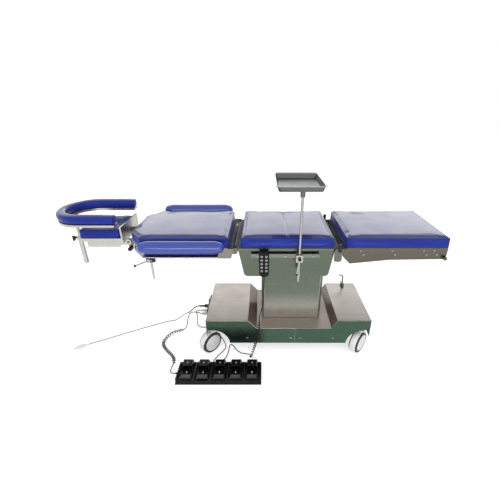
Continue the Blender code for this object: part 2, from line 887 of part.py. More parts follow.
def plate_outline(low_x, high_x, low_z, high_z, radius):
    """A rectangle with round corners."""
    return rounded_outline(rectangle(low_x, high_x, low_z, high_z), radius)


def screw_heads(xs, z, face, radius, height, sides=SCREW_SIDES):
    """Round screw heads on the front and rear faces of a piece."""
    heads = []
    for side in (-1, 1):
        for x in xs:
            heads.append(side_pin((x, 0.0, z), radius, side, face - BITE, face + height, sides))
    return heads


def rail_hook(side, low_x, high_x, body, thickness):
    """A hook from a body in front of a side rail, over the rail and down behind it."""
    top = RAIL_TOP + TOUCH
    behind = RAIL_FACE - TOUCH
    over = side_box(side, (low_x, high_x), (behind - HOOK_THICKNESS, body + BITE), (top, top + thickness))
    drop = (behind - HOOK_THICKNESS, behind)
    leg = side_box(side, (low_x, high_x), drop, (RAIL_TOP - HOOK_DROP, top + BITE))
    return [over, leg]


# Base


def chassis(finish, parent):
    """Plate that carries the covers, with two beams and the guide of the lifting ram."""
    head = -BASE_HEAD_REACH + SHEET + CHASSIS_END_MARGIN
    foot = BASE_FOOT_REACH - SHEET - CHASSIS_END_MARGIN
    wide = BASE_HALF_WIDTH - SHEET - TOUCH
    narrow = wide - CHASSIS_END_NARROWING
    outline = [(head, -narrow), (-BEAM_HEAD_REACH, -narrow), (-BEAM_HEAD_REACH, -wide)]
    outline += [(BEAM_FOOT_REACH, -wide), (BEAM_FOOT_REACH, -narrow), (foot, -narrow)]
    outline += [(x, -y) for x, y in reversed(outline)]
    joined = []
    for side in (-1, 1):
        ys = (BEAM_OFFSET - BEAM_WIDTH / 2, BEAM_OFFSET + BEAM_WIDTH / 2)
        zs = (CHASSIS_BOTTOM - BEAM_DEPTH, CHASSIS_BOTTOM + BITE)
        joined.append(side_box(side, (-BEAM_HEAD_REACH, BEAM_FOOT_REACH), ys, zs))
    guide_low = (-GUIDE_HALF_LENGTH, -GUIDE_HALF_WIDTH, CHASSIS_TOP - BITE)
    guide_high = (GUIDE_HALF_LENGTH, GUIDE_HALF_WIDTH, CHASSIS_TOP + GUIDE_LENGTH)
    joined.append(box(guide_low, guide_high))
    bore_x = GUIDE_HALF_LENGTH - GUIDE_WALL
    bore_y = GUIDE_HALF_WIDTH - GUIDE_WALL
    bore_top = CHASSIS_TOP + GUIDE_LENGTH + OVERRUN
    bore = box((-bore_x, -bore_y, CHASSIS_TOP), (bore_x, bore_y, bore_top))
    body = prism(outline, "Z", CHASSIS_BOTTOM, CHASSIS_TOP)
    return piece("chassis", body, finish, parent, joined, [bore])


def hydraulic_unit(finish, parent):
    """Pump block and motor that hang under the chassis plate."""
    top = CHASSIS_BOTTOM - TOUCH
    foot = -UNIT_HEAD_END + UNIT_LENGTH
    low = (-UNIT_HEAD_END, -UNIT_HALF_WIDTH, top - UNIT_DEPTH)
    block = box(low, (foot, UNIT_HALF_WIDTH, top))
    centre = (0.0, 0.0, top - UNIT_DEPTH / 2)
    motor = cylinder("X", centre, MOTOR_RADIUS, foot - BITE, foot + MOTOR_LENGTH)
    return piece("hydraulic_unit", block, finish, parent, [motor])


def column_outline(inset):
    """Plan of the column, a chamfered rectangle, moved inwards."""
    outline = chamfered(COLUMN_HALF_LENGTH, COLUMN_HALF_WIDTH, COLUMN_CHAMFER)
    return inset_corners(outline, inset)


def cover_profile(end, slope_top, slope_foot, split, bottom):
    """Side view of one cover half, anticlockwise, as (x, z) points."""
    profile = [(split, bottom), (split, DECK_HEIGHT), (slope_foot, DECK_HEIGHT)]
    profile += [(slope_top, BOX_TOP), (end, BOX_TOP), (end, bottom)]
    if end > split:
        profile.reverse()
    return profile


def bevel_outer_edges(shape, split):
    """Round the edges of a cover half that don't lie on its open sides."""
    edges = []
    for edge in shape.edges:
        middle = (edge.verts[0].co + edge.verts[1].co) / 2
        if abs(middle.x - split) > BITE and abs(middle.z - SKIRT_BOTTOM) > BITE:
            edges.append(edge)
    bmesh.ops.bevel(
        shape, geom=edges, offset=COVER_EDGE, segments=2, profile=HALF_SHARE, affect="EDGES"
    )
    return finished(shape)


def arch_cutter(end, side):
    """Quarter ellipse over a caster, cut through the front and rear skirts."""
    outer = end - side * ARCH_END_MARGIN
    outline = []
    for step in range(ARCH_STEPS + 1):
        angle = math.pi / 2 * step / ARCH_STEPS
        x = outer - side * ARCH_RUN * math.cos(angle)
        outline.append((x, SKIRT_BOTTOM + ARCH_HEIGHT * math.sin(angle)))
    outline.append((outer, SKIRT_BOTTOM - OVERRUN))
    outline.append((outer - side * ARCH_RUN, SKIRT_BOTTOM - OVERRUN))
    reach = BASE_HALF_WIDTH + OVERRUN
    return prism(outline, "Y", -reach, reach)


def end_cutter(end, side):
    """Lower part of an end panel, which stops above the casters."""
    reach = BASE_HALF_WIDTH + OVERRUN
    inner, outer = sorted((end - side * (ARCH_END_MARGIN + BITE), end + side * OVERRUN))
    return box((inner, -reach, SKIRT_BOTTOM - OVERRUN), (outer, reach, END_PANEL_BOTTOM))


def base_cover(name, side, finish, parent, joined=()):
    """One half of the sheet cover, open below and towards the other half."""
    if side < 0:
        end = -BASE_HEAD_REACH
        slope_top = end + HEAD_BOX_LENGTH
        slope_foot = slope_top + HEAD_SLOPE_RUN
        screw_x = slope_top - SLOPE_SCREW_OFFSET
    else:
        end = BASE_FOOT_REACH
        slope_top = end - FOOT_BOX_LENGTH
        slope_foot = slope_top - FOOT_SLOPE_RUN
        screw_x = slope_foot + SLOPE_SCREW_OFFSET
    split = COVER_SPLIT + side * TOUCH / 2
    body = prism(
        cover_profile(end, slope_top, slope_foot, split, SKIRT_BOTTOM),
        "Y",
        -BASE_HALF_WIDTH,
        BASE_HALF_WIDTH,
    )
    body = bevel_outer_edges(body, split)
    past = SHEET + OVERRUN
    hollow = inset_corners(
        cover_profile(end, slope_top, slope_foot, split - side * past, SKIRT_BOTTOM - past), SHEET
    )
    inner = BASE_HALF_WIDTH - SHEET
    opening = column_outline(SHEET + COLUMN_NEST_GAP - TOUCH)
    cut = [
        prism(hollow, "Y", -inner, inner),
        arch_cutter(end, side),
        end_cutter(end, side),
        prism(opening, "Z", DECK_HEIGHT - SHEET - OVERRUN, DECK_HEIGHT + OVERRUN),
    ]
    split_screw = COVER_SPLIT + side * SPLIT_SCREW_OFFSET
    heads = screw_heads(
        (screw_x, split_screw), SKIRT_SCREW_HEIGHT, BASE_HALF_WIDTH, SKIRT_SCREW_RADIUS, SKIRT_SCREW_HEAD
    )
    thing = piece(name, body, finish, parent, (), cut)
    return extend(thing, heads + list(joined))


def brake_spot():
    """The brake lever's axis."""
    return (BASE_FOOT_REACH - BRAKE_INSET, BRAKE_OFFSET, BOX_TOP + BRAKE_PIN_RISE)


def brake_ears():
    """Two ears on the foot end's box that hold the brake lever's pin."""
    spot = brake_spot()
    ears = []
    for side in (-1, 1):
        inner = BRAKE_HUB_LENGTH / 2 + TOUCH
        low, high = across(side, inner, inner + BRAKE_EAR_THICKNESS)
        outline = plate_outline(
            spot[0] - BRAKE_EAR_HALF_LENGTH,
            spot[0] + BRAKE_EAR_HALF_LENGTH,
            BOX_TOP - BITE,
            BOX_TOP + BRAKE_EAR_HEIGHT,
            BRAKE_PIN_RADIUS,
        )
        ears.append(prism(outline, "Y", spot[1] + low, spot[1] + high))
    return ears


def brake_bore():
    """The pin's hole through both ears."""
    reach = BRAKE_HUB_LENGTH / 2 + BRAKE_EAR_THICKNESS + OVERRUN
    return cylinder("Y", brake_spot(), BRAKE_PIN_RADIUS + PIN_FIT, -reach, reach, SMALL_SIDES)


def brake_lever(finish, parent):
    """Hub on its pin, with a rod that rises and hooks towards the head end."""
    spot = brake_spot()
    half = BRAKE_HUB_LENGTH / 2
    hub = cylinder("Y", spot, BRAKE_HUB_RADIUS, -half, half)
    reach = half + TOUCH + BRAKE_EAR_THICKNESS
    pin = cylinder("Y", spot, BRAKE_PIN_RADIUS, -reach, reach, SMALL_SIDES)
    bend = spot[2] + BRAKE_ROD_RISE
    path = [spot]
    for step in range(ARC_STEPS * 2 + 1):
        angle = math.pi / 2 * step / (ARC_STEPS * 2)
        x = spot[0] - BRAKE_HOOK_RADIUS * (1 - math.cos(angle))
        path.append((x, spot[1], bend + BRAKE_HOOK_RADIUS * math.sin(angle)))
    path.append((path[-1][0] - BRAKE_HOOK_RADIUS, spot[1], path[-1][2]))
    rod = swept(path, circle(BRAKE_ROD_RADIUS, KEY_SIDES), (0, 1, 0))
    return piece("brake_lever", hub, finish, parent, [pin, rod])


def socket_panel(finish, parent):
    """Panel on the head end: a bezel, the mains inlet with its plug, and two round plugs."""
    back = -BASE_HEAD_REACH - TOUCH
    face = back - PANEL_THICKNESS
    low = (face, -PANEL_FRONT_REACH, PANEL_BOTTOM)
    high = (back, PANEL_REAR_REACH, PANEL_BOTTOM + PANEL_HEIGHT)
    body = rounded_box(low, high, COVER_EDGE, 1)
    half_y = SWITCH_HALF_WIDTH + SWITCH_FIT
    half_z = SWITCH_HALF_LENGTH + SWITCH_FIT
    bezel = box(
        (face - BEZEL_DEPTH, SWITCH_OFFSET - half_y - BEZEL_WALL, SWITCH_HEIGHT - half_z - BEZEL_WALL),
        (face + BITE, SWITCH_OFFSET + half_y + BEZEL_WALL, SWITCH_HEIGHT + half_z + BEZEL_WALL),
    )
    pocket = box(
        (face - BEZEL_DEPTH - OVERRUN, SWITCH_OFFSET - half_y, SWITCH_HEIGHT - half_z),
        (face - BEZEL_DEPTH + SWITCH_POCKET, SWITCH_OFFSET + half_y, SWITCH_HEIGHT + half_z),
    )
    inlet = turned(
        [
            (0, BITE),
            (INLET_RADIUS, BITE),
            (INLET_RADIUS, -INLET_LENGTH),
            (BOOT_RADIUS, -INLET_LENGTH),
            (POWER_CORD / 2 + SHEET, -INLET_LENGTH - BOOT_LENGTH),
            (0, -INLET_LENGTH - BOOT_LENGTH),
        ],
        "X",
        (face, INLET_OFFSET, INLET_HEIGHT),
    )
    joined = [bezel, inlet]
    for offset in (LINK_OFFSET, PEDAL_SOCKET_OFFSET):
        centre = (face, offset, SOCKET_HEIGHT)
        joined.append(cylinder("X", centre, SOCKET_RADIUS, -SOCKET_LENGTH, BITE, KEY_SIDES))
    return piece("socket_panel", body, finish, parent, joined, [pocket])


def switch_spot():
    """The rocker's axis, just inside the bezel's face."""
    face = -BASE_HEAD_REACH - TOUCH - PANEL_THICKNESS - BEZEL_DEPTH
    return (face + SWITCH_TILT_RISE, SWITCH_OFFSET, SWITCH_HEIGHT)


def power_switch(finish, parent):
    """Rocker of the mains switch."""
    x, y, z = switch_spot()
    half = SWITCH_TILT_RISE * 2
    low = (x - half, y - SWITCH_HALF_WIDTH, z - SWITCH_HALF_LENGTH)
    high = (x + half, y + SWITCH_HALF_WIDTH, z + SWITCH_HALF_LENGTH)
    return piece("power_switch", rounded_box(low, high, SHEET / 2, 1), finish, parent)


# Casters


def caster_mesh(name, finish, spot, shapes, cut, parent):
    """A caster's piece, made about its swivel's axis and turned to where it stands."""
    turn = Matrix.Translation(Vector(spot)) @ Matrix.Rotation(CASTER_TURN, 4, "Z")
    for shape in list(shapes) + list(cut):
        bmesh.ops.transform(shape, matrix=turn, verts=shape.verts[:])
    return piece(name, shapes[0], finish, parent, shapes[1:], cut)


def caster_fork(name, finish, spot, parent):
    """Hood between the two wheels, with its stem, collar and neck."""
    outline = []
    centre = (-CASTER_TRAIL, CASTER_RADIUS)
    low = math.asin((FORK_LOWER_EDGE - CASTER_RADIUS) / FORK_RADIUS)
    span = math.pi - 2 * low
    for step in range(FORK_STEPS + 1):
        angle = low + span * step / FORK_STEPS
        outline.append((centre[0] + FORK_RADIUS * math.cos(angle), centre[1] + FORK_RADIUS * math.sin(angle)))
    hood = prism(outline, "Y", -FORK_HALF_WIDTH, FORK_HALF_WIDTH)
    collar_low = CASTER_RADIUS + FORK_RADIUS
    stem_y = FORK_HALF_WIDTH - BITE
    stem = box(
        (-SWIVEL_NECK_RADIUS, -stem_y, CASTER_RADIUS + HUB_DISC_RADIUS * HALF_SHARE),
        (SWIVEL_NECK_RADIUS, stem_y, collar_low),
    )
    top = CHASSIS_BOTTOM - TOUCH
    collar_top = collar_low - BITE + SWIVEL_COLLAR_HEIGHT
    neck = turned(
        [
            (0, collar_low - BITE),
            (SWIVEL_RADIUS, collar_low - BITE),
            (SWIVEL_RADIUS, collar_top),
            (SWIVEL_NECK_RADIUS, collar_top),
            (SWIVEL_NECK_RADIUS, top),
            (0, top),
        ],
        "Z",
        (0.0, 0.0, 0.0),
    )
    bore_centre = (-CASTER_TRAIL, 0.0, CASTER_RADIUS)
    reach = FORK_HALF_WIDTH + OVERRUN
    bore = cylinder("Y", bore_centre, AXLE_RADIUS + PIN_FIT, -reach, reach)
    return caster_mesh(name, finish, spot, [hood, stem, neck], [bore], parent)


def caster_wheel(name, finish, spot, parent):
    """Two treads with recessed discs, on one axle through the fork."""
    inner = FORK_HALF_WIDTH + WHEEL_GAP
    outer = inner + TREAD_WIDTH
    shoulder = CASTER_RADIUS - TREAD_ROUND
    half = [
        (AXLE_RADIUS, inner),
        (CASTER_RADIUS, inner),
        (CASTER_RADIUS, outer - TREAD_ROUND),
        (shoulder, outer),
        (HUB_DISC_RADIUS, outer),
        (HUB_DISC_RADIUS, outer - HUB_DISC_RECESS),
        (0, outer - HUB_DISC_RECESS),
    ]
    profile = [(radius, -along) for radius, along in reversed(half)] + half
    centre = (-CASTER_TRAIL, 0.0, CASTER_RADIUS)
    wheel = turned(profile, "Y", centre, ROUND_SIDES, 0.0)
    return caster_mesh(name, finish, spot, [wheel], [], parent)


def caster_spots():
    """Names and swivel axes of the four casters."""
    spots = {}
    for across_name, y in (("front", -CASTER_TRACK), ("rear", CASTER_TRACK)):
        spots[across_name + "_head"] = (-BASE_HEAD_REACH + CASTER_INSET, y, 0.0)
        spots[across_name + "_foot"] = (BASE_FOOT_REACH - CASTER_INSET, y, 0.0)
    return spots


def axle_spot(spot):
    """Centre of a caster's wheels."""
    x = spot[0] - CASTER_TRAIL * math.cos(CASTER_TURN)
    y = spot[1] - CASTER_TRAIL * math.sin(CASTER_TURN)
    return (x, y, CASTER_RADIUS)


# Column and gimbal


def column_lower_cover(finish, parent):
    """Fixed cover inside the moving one."""
    outer = column_outline(SHEET + COLUMN_NEST_GAP)
    inner = inset_corners(outer, SHEET)
    low = CHASSIS_TOP + TOUCH
    high = low + FIXED_COVER_LENGTH
    hollow = prism(inner, "Z", low - OVERRUN, high + OVERRUN)
    return piece("column_lower_cover", prism(outer, "Z", low, high), finish, parent, (), [hollow])


def column_upper_cover(finish, parent):
    """Moving cover with its lid, which is open round the yoke."""
    body = prism(column_outline(0.0), "Z", COLUMN_BOTTOM, COLUMN_TOP + SHEET)
    hollow = prism(column_outline(SHEET), "Z", COLUMN_BOTTOM - OVERRUN, COLUMN_TOP)
    hole_x = YOKE_SPACING + YOKE_THICKNESS + YOKE_HOLE_MARGIN
    hole_y = YOKE_HALF_WIDTH + YOKE_HOLE_MARGIN
    hole = box((-hole_x, -hole_y, COLUMN_TOP - OVERRUN), (hole_x, hole_y, COLUMN_TOP + SHEET + OVERRUN))
    return piece("column_upper_cover", body, finish, parent, (), [hollow, hole])


def lift_ram(finish, parent):
    """Ram in its guide, with the plate under the lid and the yoke of the side tilt."""
    half_x = GUIDE_HALF_LENGTH - GUIDE_WALL - PIN_FIT
    half_y = GUIDE_HALF_WIDTH - GUIDE_WALL - PIN_FIT
    plate_top = COLUMN_TOP - TOUCH
    plate_low = plate_top - HEAD_PLATE_THICKNESS
    ram = box((-half_x, -half_y, CHASSIS_TOP + RAM_FOOT), (half_x, half_y, plate_low + BITE))
    wide_x = COLUMN_HALF_LENGTH - HEAD_PLATE_MARGIN
    wide_y = COLUMN_HALF_WIDTH - HEAD_PLATE_MARGIN
    joined = [box((-wide_x, -wide_y, plate_low), (wide_x, wide_y, plate_top))]
    for side in (-1, 1):
        low, high = across(side, YOKE_SPACING, YOKE_SPACING + YOKE_THICKNESS)
        top = PIVOT_HEIGHT + YOKE_TOP_MARGIN
        joined.append(box((low, -YOKE_HALF_WIDTH, plate_top - BITE), (high, YOKE_HALF_WIDTH, top)))
    reach = YOKE_SPACING + YOKE_THICKNESS + OVERRUN
    centre = (0.0, 0.0, PIVOT_HEIGHT)
    bore = cylinder("X", centre, SIDE_PIN_RADIUS + PIN_FIT, -reach, reach)
    return piece("lift_ram", ram, finish, parent, joined, [bore])


def tilt_cross(finish, parent):
    """Cross between the yoke and the seat's lugs."""
    half_x = YOKE_SPACING - TOUCH
    low = (-half_x, -CROSS_HALF_WIDTH, PIVOT_HEIGHT - CROSS_HALF_HEIGHT)
    high = (half_x, CROSS_HALF_WIDTH, PIVOT_HEIGHT + CROSS_HALF_HEIGHT)
    centre = (0.0, 0.0, PIVOT_HEIGHT)
    reach_x = YOKE_SPACING + YOKE_THICKNESS + PIN_END
    reach_y = CROSS_HALF_WIDTH + SEAT_LUG_THICKNESS + PIN_END
    pins = [
        cylinder("X", centre, SIDE_PIN_RADIUS, -reach_x, reach_x),
        cylinder("Y", centre, LONG_PIN_RADIUS, -reach_y, reach_y),
    ]
    return piece("tilt_cross", box(low, high), finish, parent, pins)


# Seat section


def hinge_distances():
    """Distances from the middle of the faces of a section hinge, outwards."""
    seat_outer = PLATE_SIDE + BITE
    return (seat_outer - LUG_THICKNESS, seat_outer, seat_outer + TOUCH)


def seat_frame(finish, parent):
    """Plate, bars and lugs of the seat, with the pins of both section hinges."""
    plate = box((SEAT_HEAD_END, -PLATE_SIDE, SEAT_UNDER), (SEAT_FOOT_END, PLATE_SIDE, SEAT_TOP))
    head = -SEAT_HEAD_REACH + FRAME_HEAD_INSET
    foot = SEAT_FOOT_REACH - FRAME_FOOT_INSET
    side_y = SEAT_HALF_WIDTH - FRAME_SIDE_INSET
    zs = (SEAT_UNDER - FRAME_BAR_DEPTH, SEAT_UNDER + BITE)
    joined = []
    for side in (-1, 1):
        joined.append(side_box(side, (head, foot), (side_y - FRAME_BAR, side_y), zs))
        lug_y = (CROSS_HALF_WIDTH + TOUCH, CROSS_HALF_WIDTH + TOUCH + SEAT_LUG_THICKNESS)
        lug_z = (PIVOT_HEIGHT - SEAT_LUG_DROP, SEAT_UNDER + BITE)
        joined.append(side_box(side, (-SEAT_LUG_HALF_LENGTH, SEAT_LUG_HALF_LENGTH), lug_y, lug_z))
    bar_y = side_y - BITE
    joined.append(box((head, -bar_y, zs[0]), (head + FRAME_BAR, bar_y, zs[1])))
    joined.append(box((foot - FRAME_BAR, -bar_y, zs[0]), (foot, bar_y, zs[1])))
    inner, outer, next_face = hinge_distances()
    for side in (-1, 1):
        root = SEAT_HEAD_END + SEAT_LUG_ROOT
        joined.append(lug(BACK_HINGE, root, SEAT_KNUCKLE_RADIUS, side, inner, outer))
        back_lug_outer = next_face + LUG_THICKNESS
        head_face = back_lug_outer + TOUCH
        middle = (inner + outer) / 2
        joined.append(side_pin(BACK_HINGE, HINGE_PIN_RADIUS, side, middle, head_face + BITE))
        pin_end = head_face + PIN_HEAD_THICKNESS
        joined.append(side_pin(BACK_HINGE, PIN_HEAD_RADIUS, side, head_face, pin_end))
        root = SEAT_FOOT_END - LUG_ROOT
        joined.append(lug(LEG_HINGE, root, KNUCKLE_RADIUS, side, inner, outer))
        bracket = next_face + LEG_LUG_THICKNESS + TOUCH
        joined.append(side_pin(LEG_HINGE, HINGE_PIN_RADIUS, side, middle, bracket + BITE))
        low, high = across(side, bracket, bracket + HINGE_PLATE_THICKNESS)
        outline = plate_outline(
            LEG_HINGE[0] - HINGE_PLATE_HEAD,
            LEG_HINGE[0] + HINGE_PLATE_FOOT,
            LEG_HINGE[2] - HINGE_PLATE_DROP,
            LEG_HINGE[2] + HINGE_PLATE_RISE,
            HINGE_PLATE_CORNER,
        )
        joined.append(prism(outline, "Y", low, high))
        stop_x = (LEG_HINGE[0] - STOP_BLOCK_HEAD, LEG_HINGE[0] + STOP_BLOCK_FOOT)
        stop_y = (bracket + BITE, bracket + LUG_THICKNESS)
        joined.append(side_box(side, stop_x, stop_y, (LEG_HINGE[2], LEG_HINGE[2] + STOP_BLOCK_RISE)))
    reach = CROSS_HALF_WIDTH + SEAT_LUG_THICKNESS + OVERRUN
    bore = cylinder("Y", (0.0, 0.0, PIVOT_HEIGHT), LONG_PIN_RADIUS + PIN_FIT, -reach, reach)
    return piece("seat_frame", plate, finish, parent, joined, [bore])


def hood_side(height):
    """Half width of the hood at a height."""
    top = SEAT_UNDER - TOUCH
    return PLATE_SIDE - HOOD_TAPER_SIDE * (top - height) / HOOD_HEIGHT


def hood_solid(outline, inset):
    """A solid between the hood's sloping sides, from its side view as (x, z) points."""
    rings = []
    for side in (-1, 1):
        rings.append([(x, side * (hood_side(z) - inset), z) for x, z in outline])
    return lofted(rings)


def hood(finish, parent):
    """Sheet hood under the seat: sloping aprons, and short ends that clear the column."""
    top = SEAT_UNDER - TOUCH
    head = SEAT_HEAD_END + HOOD_HEAD_SETBACK
    foot = SEAT_FOOT_END - HOOD_FOOT_SETBACK
    corners = [(head + HOOD_TAPER_HEAD, HOOD_BOTTOM), (foot - HOOD_TAPER_FOOT, HOOD_BOTTOM)]
    corners += [(foot, top), (head, top)]
    outer = rounded_lower(corners)
    inner = inset_corners(corners, SHEET)
    head_step = HOOD_TAPER_HEAD / HOOD_HEIGHT * (SHEET + OVERRUN)
    foot_step = HOOD_TAPER_FOOT / HOOD_HEIGHT * (SHEET + OVERRUN)
    hollow = [
        (inner[0][0] + head_step, inner[0][1] - SHEET - OVERRUN),
        (inner[1][0] - foot_step, inner[1][1] - SHEET - OVERRUN),
        (inner[2][0] + foot_step, inner[2][1] + SHEET + OVERRUN),
        (inner[3][0] - head_step, inner[3][1] + SHEET + OVERRUN),
    ]
    ends = rectangle(head - OVERRUN, foot + OVERRUN, HOOD_BOTTOM - OVERRUN, top - HOOD_END_HEIGHT)
    cut = [hood_solid(hollow, SHEET), hood_solid(ends, SHEET)]
    return piece("hood", hood_solid(outer, 0.0), finish, parent, (), cut)


def rounded_lower(corners):
    """The hood's side view with its two lower corners rounded."""
    rounded = rounded_outline(corners, HOOD_CORNER, ARC_STEPS * 2)
    steps = ARC_STEPS * 2 + 1
    return rounded[: 2 * steps] + [corners[2], corners[3]]


def side_rail(name, side, finish, parent):
    """Side rail on three stand-offs."""
    low_y, high_y = across(side, RAIL_FACE, RAIL_OUTER)
    head = -RAIL_HEAD_REACH
    low = (head, low_y, RAIL_TOP - RAIL_DEPTH)
    body = rounded_box(low, (head + RAIL_LENGTH, high_y, RAIL_TOP), SHEET / 2, 1)
    joined = []
    middle = RAIL_TOP - RAIL_DEPTH / 2
    seat_y = hood_side(middle + STANDOFF_RADIUS) + TOUCH
    for share in STANDOFF_SHARES:
        spot = (head + RAIL_LENGTH * share, 0.0, middle)
        joined.append(side_pin(spot, STANDOFF_RADIUS, side, seat_y, RAIL_FACE + BITE, KEY_SIDES))
        head_y = RAIL_OUTER + RAIL_SCREW_HEAD
        joined.append(side_pin(spot, RAIL_SCREW_RADIUS, side, RAIL_OUTER - BITE, head_y, KEY_SIDES))
    return piece(name, body, finish, parent, joined)


def section_cushion(name, low_x, high_x, bottom, top, half_width, finish, parent):
    """One flat upholstered pad."""
    corners = rectangle(low_x, high_x, -half_width, half_width)
    return piece(name, cushion(corners, bottom, top), finish, parent)


def back_cushion(low_x, high_x, bottom, top, finish, parent):
    """The back section's pad, with its two head corners cut off like the tray's."""
    half = SEAT_HALF_WIDTH
    slim = SECTION_SIDE - BACK_CHAMFER_WIDTH
    run = low_x + BACK_CHAMFER_RUN
    corners = [(run, -half), (high_x, -half), (high_x, half), (run, half), (low_x, slim), (low_x, -slim)]
    return piece("back_cushion", cushion(corners, bottom, top), finish, parent)


# Back and leg sections


def back_frame(finish, parent):
    """Sheet tray of the back section, with its hinge lugs and the head section's lugs."""
    half = SECTION_SIDE
    slim = half - BACK_CHAMFER_WIDTH
    run = BACK_HEAD_END + BACK_CHAMFER_RUN
    outline = [(BACK_FOOT_END, -half), (BACK_FOOT_END, half), (run, half)]
    outline += [(BACK_HEAD_END, slim), (BACK_HEAD_END, -slim), (run, -half)]
    bottom = SECTION_TOP - SECTION_DEPTH
    body = prism(outline, "Z", bottom, SECTION_TOP)
    inner = inset_corners(outline, SECTION_SHEET)
    hollow = prism(inner, "Z", bottom - OVERRUN, SECTION_TOP - SECTION_SHEET)
    thing = piece("back_frame", body, finish, parent, (), [hollow])
    joined = []
    cut = []
    face = hinge_distances()[2]
    outer = face + LUG_THICKNESS
    root = BACK_FOOT_END - LUG_ROOT
    for side in (-1, 1):
        joined.append(lug(BACK_HINGE, root, KNUCKLE_RADIUS, side, face, outer))
        zs = (BACK_HINGE[2] - KNUCKLE_RADIUS, BACK_HINGE[2] + KNUCKLE_RADIUS)
        joined.append(side_box(side, (root, BACK_FOOT_END), (half - BITE, face + BITE), zs))
        reach = (face - OVERRUN, outer + OVERRUN)
        cut.append(side_pin(BACK_HINGE, HINGE_PIN_RADIUS + PIN_FIT, side, *reach))
        lug_inner = HEAD_LUG_OFFSET - BACK_LUG_THICKNESS
        lug_root = BACK_HEAD_END + SECTION_SHEET / 2
        joined.append(lug(HEAD_HINGE, lug_root, HEAD_KNUCKLE_RADIUS, side, lug_inner, HEAD_LUG_OFFSET))
        pin_end = HEAD_LUG_OFFSET + TOUCH + HEAD_LUG_THICKNESS + HINGE_PLATE_THICKNESS
        pin_start = HEAD_LUG_OFFSET - BACK_LUG_THICKNESS / 2
        joined.append(side_pin(HEAD_HINGE, HEAD_PIN_RADIUS, side, pin_start, pin_end))
    knob = head_knob_spot()
    outline = plate_outline(
        knob[0] - HEAD_KNOB_RADIUS, knob[0] + HEAD_KNOB_RADIUS, knob[2] - HEAD_KNOB_RADIUS, HEAD_HINGE[2],
        HEAD_KNOB_RADIUS / 2,
    )
    joined.append(prism(outline, "Y", *across(-1, lug_inner, HEAD_LUG_OFFSET)))
    bolt_x = BACK_HEAD_END + BACK_LENGTH * BACK_BOLT_SHARE
    joined += screw_heads((bolt_x,), SECTION_TOP - SECTION_DEPTH / 2, half, BOLT_RADIUS, BOLT_HEAD)
    return extend(thing, joined, cut)


def leg_frame(finish, parent):
    """Sheet tray of the leg section, deepest at its knee, with bolts and an end knob."""
    top = SECTION_TOP
    foot_z = top - LEG_FOOT_DEPTH
    outline = [
        (LEG_HEAD_END, top),
        (LEG_HEAD_END, top - LEG_HEAD_DEPTH),
        (LEG_HEAD_END + LEG_KNEE_RUN, top - LEG_KNEE_DEPTH),
        (LEG_HEAD_END + LEG_MID_RUN, top - LEG_MID_DEPTH),
        (LEG_FOOT_END - LEG_TOE, foot_z),
        (LEG_FOOT_END, foot_z + LEG_TOE),
        (LEG_FOOT_END, top),
    ]
    half = SECTION_SIDE
    body = prism(outline, "Y", -half, half)
    low = top - LEG_KNEE_DEPTH - OVERRUN
    hollow = box(
        (LEG_HEAD_END + SECTION_SHEET, -half + SECTION_SHEET, low),
        (LEG_FOOT_END - SECTION_SHEET, half - SECTION_SHEET, top - SECTION_SHEET),
    )
    thing = piece("leg_frame", body, finish, parent, (), [hollow])
    joined = []
    cut = []
    face = hinge_distances()[2]
    outer = face + LEG_LUG_THICKNESS
    root = LEG_HEAD_END + LUG_ROOT
    for side in (-1, 1):
        joined.append(lug(LEG_HINGE, root, KNUCKLE_RADIUS, side, face, outer))
        zs = (LEG_HINGE[2] - KNUCKLE_RADIUS, LEG_HINGE[2] + KNUCKLE_RADIUS)
        joined.append(side_box(side, (LEG_HEAD_END, root), (half - BITE, face + BITE), zs))
        cut.append(
            side_pin(LEG_HINGE, HINGE_PIN_RADIUS + PIN_FIT, side, face - OVERRUN, outer + OVERRUN)
        )
    upper = [LEG_HEAD_END + LEG_LENGTH * share for share in LEG_BOLT_SHARES]
    lower = [x + LEG_BOLT_SHIFT for x in upper]
    joined += screw_heads(upper, top - LEG_BOLT_UPPER_DROP, half, BOLT_RADIUS, BOLT_HEAD)
    joined += screw_heads(lower, top - LEG_BOLT_LOWER_DROP, half, BOLT_RADIUS, BOLT_HEAD)
    knob = (LEG_FOOT_END - END_KNOB_INSET, 0.0, top - LEG_FOOT_DEPTH + END_KNOB_RISE)
    joined.append(side_pin(knob, END_KNOB_RADIUS, -1, half - BITE, half + END_KNOB_LENGTH))
    return extend(thing, joined, cut)


# Head section and wrist rest


def head_knob_spot():
    """Axis of the knob that clamps the head section."""
    return (HEAD_HINGE[0] + HEAD_KNOB_SHIFT, -HEAD_LUG_OFFSET, HEAD_HINGE[2] - HEAD_KNOB_DROP)


def head_knob(finish, parent):
    """Clamping knob on its stem, against the front lug."""
    stem_end = -TOUCH - HEAD_KNOB_STEM
    profile = [
        (0, -TOUCH),
        (HEAD_KNOB_STEM, -TOUCH),
        (HEAD_KNOB_STEM, stem_end),
        (HEAD_KNOB_RADIUS, stem_end),
        (HEAD_KNOB_RADIUS, stem_end - HEAD_KNOB_LENGTH),
        (0, stem_end - HEAD_KNOB_LENGTH),
    ]
    return piece("head_knob", turned(profile, "Y", head_knob_spot()), finish, parent)


